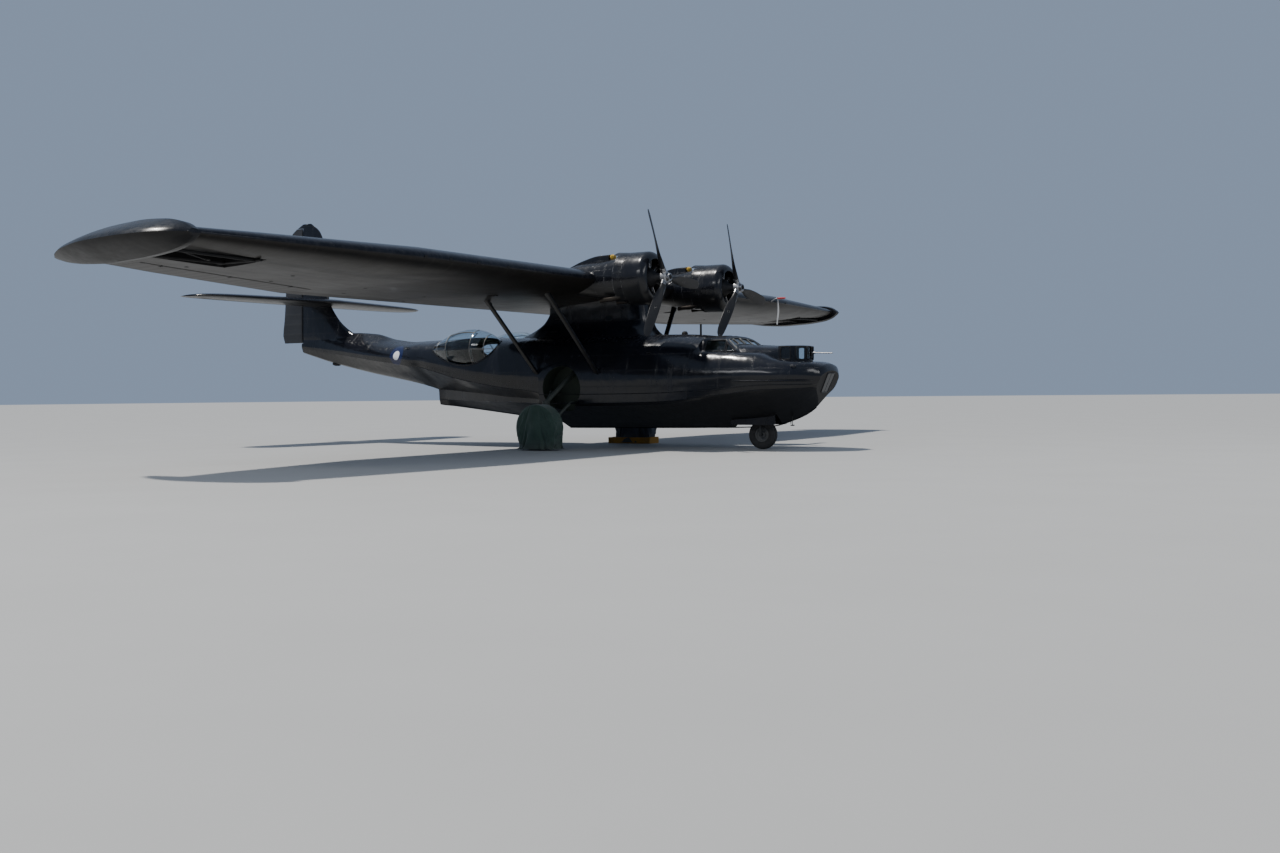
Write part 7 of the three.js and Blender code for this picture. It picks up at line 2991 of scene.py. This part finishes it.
@dataclass
class NoseGear:
    """The nose wheel in its steering fork, the leg that carries it, and the doors of its well."""

    station: float = 1.96
    radius: float = 0.381
    width: float = 0.25

    def build(self) -> None:
        """Makes the wheel, the fork, the leg and the doors."""
        centre = at(self.station, 0, self.radius)
        tyre = Maker().turned(tyre_rings(self.radius, self.width, 0.0), centre, Axis.Y, 60, close=True)
        publish(
            tyre.mesh_object("nose_tyre_rubber"), NOSE_RUBBER, ["nose_tyre"], body="nose_wheel",
        )
        hub = Maker().turned(wheel_disc(self.radius, self.width, 0.0, 0.032), centre, Axis.Y, 44, close=True)
        publish(
            hub.mesh_object("nose_wheel_disc"), GREY_PAINT, ["nose_hub"], body="nose_wheel",
        )
        fork = Maker().bar(centre - [0, 0.185, 0], centre + [0, 0.185, 0], 0.032, 24)
        for side in (1, -1):
            blade = [
                (0.045, 0.336), (0.045, 0.42), (0.032, 0.6), (0.05, 0.80), (0.05, 0.892),
                (-0.05, 0.892), (-0.05, 0.80), (-0.032, 0.6), (-0.045, 0.42), (-0.045, 0.336),
            ]
            outline = rounded([(self.station + s, z) for s, z in blade], 0.03, 3)
            low = upright(outline, side * 0.155)
            fork.prism(low, (0, side * 0.03, 0))
            fork.bar(centre + [0, side * 0.18, 0], centre + [0, side * 0.2, 0], 0.04, 6)
        crown = rounded([(-0.06, -0.185), (0.06, -0.185), (0.06, 0.185), (-0.06, 0.185)], 0.03)
        fork.prism(np.array([at(self.station + s, y, 0.832) for s, y in crown]), (0, 0, 0.06))
        fork.bar(at(self.station, 0, 0.862), at(self.station, 0, 1.18), 0.045, 28)
        fork.bar(at(self.station, 0, 0.89), at(self.station, 0, 0.915), 0.062, 28)
        publish(fork.mesh_object("nose_fork_arms"), GEAR_DARK, ["nose_fork"], body="nose_steering")
        leg = Maker().bar(at(self.station, 0, 0.935), at(self.station, 0, 1.48), 0.075, 32)
        for z in (0.935, 1.1, 1.3):
            leg.bar(at(self.station, 0, z), at(self.station, 0, z + 0.03), 0.085, 32)
        leg.bar(at(2.6, 0, 1.42), at(1.98, 0, 1.01), 0.03, 18)
        leg.bar(at(2.58, -0.11, 1.42), at(2.58, 0.11, 1.42), 0.03, 16)
        leg.block((x_of(2.7), -0.12, 1.445), (x_of(2.4), 0.12, 1.48))
        publish(leg.mesh_object("nose_leg_tubes"), GEAR_DARK, ["nose_leg"])
        lock = Maker().bar(at(1.90, -0.1, 0.98), at(1.90, 0.1, 0.98), 0.022, 14)
        lock.bar(at(1.88, -0.095, 0.86), at(1.88, -0.095, 1.02), 0.016, 12)
        publish(lock.mesh_object("nose_lock"), RED_PAINT)
        rod = Maker().bar(at(1.84, -0.12, 1.0), at(1.66, -0.2, 1.3), 0.011, 12)
        publish(rod.mesh_object("nose_rod"), PALE_PAINT)
        for name, side in SIDES.items():
            outline = rounded(
                [(1.44, 0.66), (1.44, 1.0), (2.72, 1.0), (2.72, 0.66), (2.64, 0.642), (1.52, 0.642)], 0.03,
                3
            )
            door = Maker().prism(upright(outline, 0.35), (0, 0.018, 0))
            for s in (1.6, 2.1, 2.56):
                door.prism(
                    np.array(
                        [at(s + d, 0.352, z) for d, z in ((0, 0.7), (0.03, 0.7), (0.03, 0.98), (0, 0.98))]
                    ),
                    (0, -0.016, 0)
                )
                door.bar(at(s - 0.04, 0.356, 0.992), at(s + 0.08, 0.356, 0.992), 0.012, 12)
            thing = door.on_side(side).mesh_object("nose_door_skin_" + name)
            publish(thing, PLAIN_PAINT, ["nose_door_" + name])


# Soft covers


@dataclass
class WheelCover:
    """A canvas bag over a main wheel, hung in folds by a cloth simulation.

    Fields:
        station, y: the wheel's middle.
        half: half the bag's length at its shoulder.
        width: half its width.
        shoulder, top: heights where its sides start to curve, and of its crown.
        folds: number of folds round each face.
        wheel: radius of the wheel inside, and half its width.
        sheet: length of the sheet that it is cut from, and the share of its width that isn't lapped; not
            used.
        frames: steps of the simulation.
    """

    station: float = 7.35
    y: float = 2.51
    half: float = 0.632
    width: float = 0.245
    shoulder: float = 0.6
    top: float = 1.225
    folds: float = 15.0
    wheel: tuple[float, float] = (0.6, 0.235)
    sheet: tuple[float, float] = (2.4, 0.92)
    frames: int = 30

    def _bag(self, seed: float) -> Array:
        """Level rings of the bag, from its crown to its hem, with folds that deepen downwards.

        Args:
            seed: sets where the folds lie.

        Returns:
            Shape (rings, points, 3), for the port wheel.
        """
        t = np.concatenate([np.linspace(math.radians(87), 0, 26), np.zeros(18)])
        z = np.concatenate(
            [
                self.shoulder + (self.top - self.shoulder) * np.sin(t[:26]),
                np.linspace(self.shoulder, 0.035, 19)[1:]
            ]
        )
        long = self.half * np.cos(t) ** 0.92
        count = 200
        a = np.linspace(0, 2 * math.pi, count, endpoint=False)[None]
        power = 0.36
        c, s = np.cos(a), np.sin(a)
        tuck = 1 - 0.07 * np.clip((0.5 - z) / 0.4, 0, 1) + 0.06 * np.clip((0.12 - z) / 0.1, 0, 1)
        wide = self.width * (tuck * (0.86 + 0.14 * np.clip((self.top - z) / 0.3, 0, 1)))[:, None]
        x = ((long + 0.02) * tuck)[:, None] * np.sign(c) * np.abs(c) ** power
        y = wide * np.sign(s) * np.abs(s) ** power
        drop = np.clip((self.top - z) / self.top, 0, 1)[:, None]
        fan = np.arctan2(x, self.top + 0.25 - z[:, None])
        wave = np.sin(
            fan * self.folds * 2.2 + seed + 1.3 * np.sin(fan * 5.0 + seed)
        ) + 0.5 * np.sin(fan * self.folds * 4.1 - seed)
        wave = wave + 0.55 * np.sin(
            z[:, None] * 21 + 7 * fan + 2.5 * np.sin(fan * 6 + seed)
        ) * np.clip(1.6 * fan * np.sign(s), 0, 1)
        depth = 0.010 + 0.026 * drop
        out_y = np.sign(s) * np.abs(s) ** 0.8 * depth * wave
        out_x = np.sign(c) * np.abs(c) ** 0.8 * depth * np.sin(z[:, None] * 16 + 9 * np.sin(a) + seed)
        ripple = 0.03 * np.clip((0.22 - z[:, None]) / 0.2, 0, 1) * np.sin(a * 19 + seed * 2)
        points = np.stack(
            [x + out_x + c * ripple, y + out_y + s * ripple, np.broadcast_to(z[:, None], x.shape)], axis=2
        )
        return points + np.array([x_of(self.station), self.y, 0.0])

    def build(self) -> None:
        """Makes both bags and lets them settle on their wheels."""
        for name, side, finish, seed in (
            ("port", 1.0, COVER_BLUE, 2.1), ("starboard", -1.0, COVER_CANVAS, 0.4)
        ):
            points = self._bag(seed)
            bag = Maker().grid(points, around=True)
            count = points.shape[1]
            for k in range(-count // 4, count // 4):
                pair = (k, k + 1, count // 2 - k - 1, count // 2 - k)
                bag.faces.append(list(dict.fromkeys(i % count for i in pair)))
            cloth = bag.on_side(side).mesh_object("wheel_bag_" + name, 60)
            self._settle(cloth, side)
            self._thicken(cloth)
            publish(cloth, finish, ["wheel_cover_" + name])

    def _settle(self, cloth: bpy.types.Object, side: float) -> None:
        """Drops the bag onto its wheel and the floor by a cloth simulation, and keeps the result.

        Args:
            cloth: the bag.
            side: 1 to port and -1 to starboard.
        """
        radius, half = self.wheel
        port = [(half, 0), (half, 0.55), (0.2, radius)]
        profile = [(self.y - d, r) for d, r in port] + [(self.y + d, r) for d, r in port[::-1]]
        wheel = Maker().turned(profile, at(self.station, 0, 0.597), Axis.Y, 48)
        ground = Maker().block((x_of(9), self.y - 1.2, -0.3), (x_of(6), self.y + 1.2, 0.012))
        solids = [wheel.on_side(side).mesh_object("form"), ground.on_side(side).mesh_object("ground")]
        for solid in solids:
            solid.modifiers.new("push", "COLLISION")
            solid.collision.thickness_outer = 0.012
            solid.collision.cloth_friction = 25
        change = cloth.modifiers.new("cloth", "CLOTH")
        settings = change.settings
        settings.quality = 6
        settings.mass = 0.35
        settings.tension_stiffness = settings.compression_stiffness = 30
        settings.shear_stiffness = 12
        settings.bending_stiffness = 0.8
        settings.air_damping = 2.0
        change.collision_settings.distance_min = 0.010
        change.collision_settings.collision_quality = 3
        scene = bpy.context.scene
        for number in range(1, self.frames + 1):
            scene.frame_set(number)
            bpy.context.view_layer.update()
        applied(cloth)
        scene.frame_set(1)
        discard(solids)

    def _thicken(self, cloth: bpy.types.Object) -> None:
        """Rounds the folds off and gives the cloth its thickness.

        Args:
            cloth: the bag.
        """
        fine = cloth.modifiers.new("fine", "SUBSURF")
        fine.levels = fine.render_levels = 1
        skin = cloth.modifiers.new("skin", "SOLIDIFY")
        skin.thickness = 0.004
        skin.offset = 0.0
        applied(cloth)
        cloth.data.shade_smooth()


def hanging_strip(
    name: str, start: Array, size: tuple[float, float], sway: float, turn: float
) -> bpy.types.Object:
    """A thin ribbon that hangs from a point in a slow wave.

    Args:
        name: the piece's name.
        start: middle of its upper end.
        size: its width and its length.
        sway: how far the wave leans.
        turn: bearing of its width, in radians from level aft.

    Returns:
        The ribbon, as a closed thin mesh.
    """
    rows = 40
    width, length = size
    t = np.linspace(0, 1, rows)
    bearing = turn + 1.2 * t + 0.5 * np.sin(4 * t)
    across = np.stack([-np.cos(bearing), np.sin(bearing), 0 * t], axis=1)
    lean = np.stack([sway * np.sin(5 * t) * t, 0.6 * sway * np.sin(3 * t + 1) * t, 0 * t], axis=1)
    step = np.diff(lean, axis=0)
    fall = np.sqrt(np.maximum((length / (rows - 1)) ** 2 - (step**2).sum(axis=1), 0))
    z = -np.concatenate([[0], np.cumsum(fall)])
    middle = start + lean + np.stack([0 * t, 0 * t, z], axis=1)
    out = np.cross(across, [0, 0, 1.0])
    u = np.linspace(-0.5, 0.5, 7)[None, :, None]
    curl = 0.12 * width * (4 * u**2 - 1)
    sheet = middle[:, None] + across[:, None] * width * u + out[:, None] * curl
    back = sheet + out[:, None] * 0.0012
    return Maker().solid(np.concatenate([sheet, back[:, ::-1]], axis=1)).mesh_object(name, 60)


@dataclass
class Fittings:
    """The small things that show: the pitot and its cover, the bow barrel, the mast and the chock.

    Fields:
        pitot: distance from the centre plane, and height, of the pitot tube.
        streamer: width and length of its cover's streamer.
    """

    pitot: tuple[float, float] = (8.1, 4.56)
    streamer: tuple[float, float] = (0.055, 0.84)

    def build(self) -> None:
        """Makes them all."""
        y, z = self.pitot
        tube = Maker().bar(at(5.29, y, z), at(4.98, y, z), 0.014, 16)
        bend = smooth_path(
            [at(5.25, y, z), at(5.33, y, z - 0.02), at(5.45, y, z - 0.09), at(5.56, y, z - 0.13)], 6
        )
        tube.tube(bend, 0.018, 14)
        publish(tube.mesh_object("pitot_pipe"), STEEL, ["pitot_tube"])
        s = np.linspace(4.952, 5.245, 22)
        t = np.linspace(0, 2 * math.pi, 28, endpoint=False)
        swell = np.interp(
            s, [4.952, 4.965, 5.0, 5.2, 5.222, 5.235, 5.245],
            [0.012, 0.022, 0.027, 0.028, 0.0185, 0.018, 0.026]
        )
        r = swell[:, None] * (1 + 0.05 * np.sin(3 * t + 30 * s[:, None]) + 0.03 * np.sin(7 * t))
        sock = np.stack([x_of(s)[:, None] + 0 * r, y + r * np.cos(t), z + r * np.sin(t)], axis=2)
        inner = np.stack(
            [
                x_of(s[2:])[:, None] + 0 * r[2:], y + (r[2:] - 0.002) * np.cos(t),
                z + (r[2:] - 0.002) * np.sin(t)
            ],
            axis=2
        )
        rings = np.concatenate([sock, inner[::-1]])
        cover = Maker().solid(rings).mesh_object("pitot_sock", 60)
        publish(cover, RED_CLOTH, ["pitot_cover"])
        ribbon = hanging_strip("pitot_streamer", at(5.226, y, z - 0.02), self.streamer, 0.03, 1.2)
        publish(ribbon, WHITE_CLOTH)
        barrel = Maker().bar(at(0.64, 0, 2.5), at(0.001, 0, 2.475), 0.014, 16)
        barrel.bar(at(0.64, 0, 2.5), at(0.48, 0, 2.494), 0.027, 18)
        publish(barrel.mesh_object("bow_barrel_tube"), STEEL, ["bow_barrel"])
        mast = Maker().solid(teardrop(at(3.79, 0, 2.98), at(3.79, 0, 3.34), 0.06, 0.024))
        publish(mast.mesh_object("deck_mast_blade"), DARK_PAINT, ["deck_mast"])
        self._chock()

    def _chock(self) -> None:
        """The wooden chock: a rail along the wheel and a wedge before and behind it."""
        wood = Maker()
        station, y = 7.35, 2.51
        rail = rounded([(0.0, 0.0), (0.129, 0.0), (0.129, 0.178), (0.0, 0.178)], 0.008, 2)
        start = np.array([[x_of(station - 0.718), y - 0.43 + a, 0.001 + b] for a, b in rail])
        wood.prism(start, (-1.436, 0, 0))
        for way in (1, -1):
            outline = [(0.668, 0.001), (0.668, 0.188), (0.59, 0.188), (0.25, 0.034), (0.25, 0.001)]
            low = np.array([at(station + way * d, y - 0.28, z) for d, z in outline])
            wood.prism(low, (0, 0.475, 0))
            strip = np.array(
                [
                    at(station + way * d, y - 0.42, z)
                    for d, z in ((0.66, 0.001), (0.66, 0.032), (0.26, 0.032), (0.26, 0.001))
                ]
            )
            wood.prism(strip, (0, 0.16, 0))
        publish(wood.mesh_object("chock_boards"), YELLOW_PAINT, ["wheel_chock_port"])


# Studio


@dataclass
class Studio:
    """The floor, the light and the camera that sees the boat as the photograph does.

    Fields:
        place: where the camera stands.
        yaw, pitch, roll: which way it looks, in radians; pitch is downwards.
        lens, sensor: focal length and width of the sensor, in millimetres.
        sky: colour and strength of the sky's light.
        sun: power, spread in degrees, colour and direction of the sun.
        panels: name, place, aim, size and power of each lit panel.
    """

    place: tuple[float, float, float] = (22.3725, -30.9519, 1.5327)
    yaw: float = 0.5362
    pitch: float = 0.0267
    roll: float = 0.0089
    lens: float = 36.5244
    sensor: float = 36.0
    sky: tuple[Colour, float] = ((0.56, 0.72, 1.0), 0.42)
    sun: tuple[
        float, float, Colour, tuple[float, float, float]
    ] = (4.6, 2.5, (1.0, 0.965, 0.91), (0.38, 0.16, -1.0))
    panels: tuple[tuple[Any, ...], ...] = (
        ("side_panel", (4, -34, 20), (0, 0, 2), (26, 5), 3000.0),
        ("bow_panel", (34, -4, 15), (4, 0, 2), (16, 5), 1200.0),
    )

    def build(self) -> None:
        """Makes them."""
        self._floor()
        self._light()
        self._camera()

    def _floor(self) -> None:
        """A wide pale floor."""
        ring = np.array(
            [[math.cos(a) * 260, math.sin(a) * 260, -0.001] for a in np.linspace(0, 2 * math.pi, 97)[:-1]]
        )
        floor = Maker().prism(ring, (0, 0, -0.05)).mesh_object("floor", finish=FloorFinish("studio_floor"))

    def _light(self) -> None:
        """A pale sky, a high sun from abaft the starboard beam, and wide panels for long highlights."""
        world = bpy.data.worlds.new("studio")
        world.use_nodes = True
        back = world.node_tree.nodes["Background"]
        colour, strength = self.sky
        back.inputs[0].default_value = (*colour, 1.0)
        back.inputs[1].default_value = strength
        bpy.context.scene.world = world
        sun = bpy.data.lights.new("sun", "SUN")
        sun.energy, spread, sun.color, way = self.sun
        sun.angle = math.radians(spread)
        self._hang(sun, (0, 0, 0), way)
        for name, place, aim, size, power in self.panels:
            panel = bpy.data.lights.new(name, "AREA")
            panel.shape = "RECTANGLE"
            panel.size, panel.size_y = size
            panel.energy = power
            self._hang(panel, place, Vector(aim) - Vector(place))

    @staticmethod
    def _hang(light: bpy.types.Light, place: Sequence[float], way: Sequence[float]) -> None:
        """Hangs a light at a place, shining one way.

        Args:
            light: the light.
            place: where it hangs.
            way: the direction of its rays.
        """
        lamp = bpy.data.objects.new(light.name, light)
        lamp.location = place
        lamp.rotation_euler = Vector(way).to_track_quat("-Z", "Y").to_euler()
        bpy.context.scene.collection.objects.link(lamp)

    def _camera(self) -> None:
        """The camera, turned by the yaw, then down by the pitch, then about its own line by the roll."""
        forward = np.array([-math.sin(self.yaw), math.cos(self.yaw), 0.0])
        right = np.array([math.cos(self.yaw), math.sin(self.yaw), 0.0])
        up = np.array([0.0, 0.0, 1.0])
        ahead = forward * math.cos(self.pitch) - up * math.sin(self.pitch)
        top = up * math.cos(self.pitch) + forward * math.sin(self.pitch)
        across = right * math.cos(self.roll) - top * math.sin(self.roll)
        above = right * math.sin(self.roll) + top * math.cos(self.roll)
        data = bpy.data.cameras.new("camera")
        data.lens, data.sensor_width = self.lens, self.sensor
        data.clip_end = 600.0
        camera = bpy.data.objects.new("camera", data)
        axes = np.stack([across, above, -ahead], axis=1)
        rows = [[*row, place] for row, place in zip(axes, self.place)]
        camera.matrix_world = Matrix([*rows, [0, 0, 0, 1]])
        bpy.context.scene.collection.objects.link(camera)
        bpy.context.scene.camera = camera


def main() -> None:
    """Builds every sub-assembly, then the studio."""
    logging.basicConfig(level=logging.INFO, format="%(message)s")
    parts = (
        Hull(), BowEnclosure(), Canopy(), Blisters(), Pylon(), Wing(), Floats(), Tail(), PowerPlant(),
        Propeller(), Struts(), MainGear(), NoseGear(), WheelCover(), Fittings(), Studio(),
    )
    for part in parts:
        started = time.time()
        part.build()
        log.info("%s took %.1f s", type(part).__name__, time.time() - started)


if __name__ == "__main__":
    main()
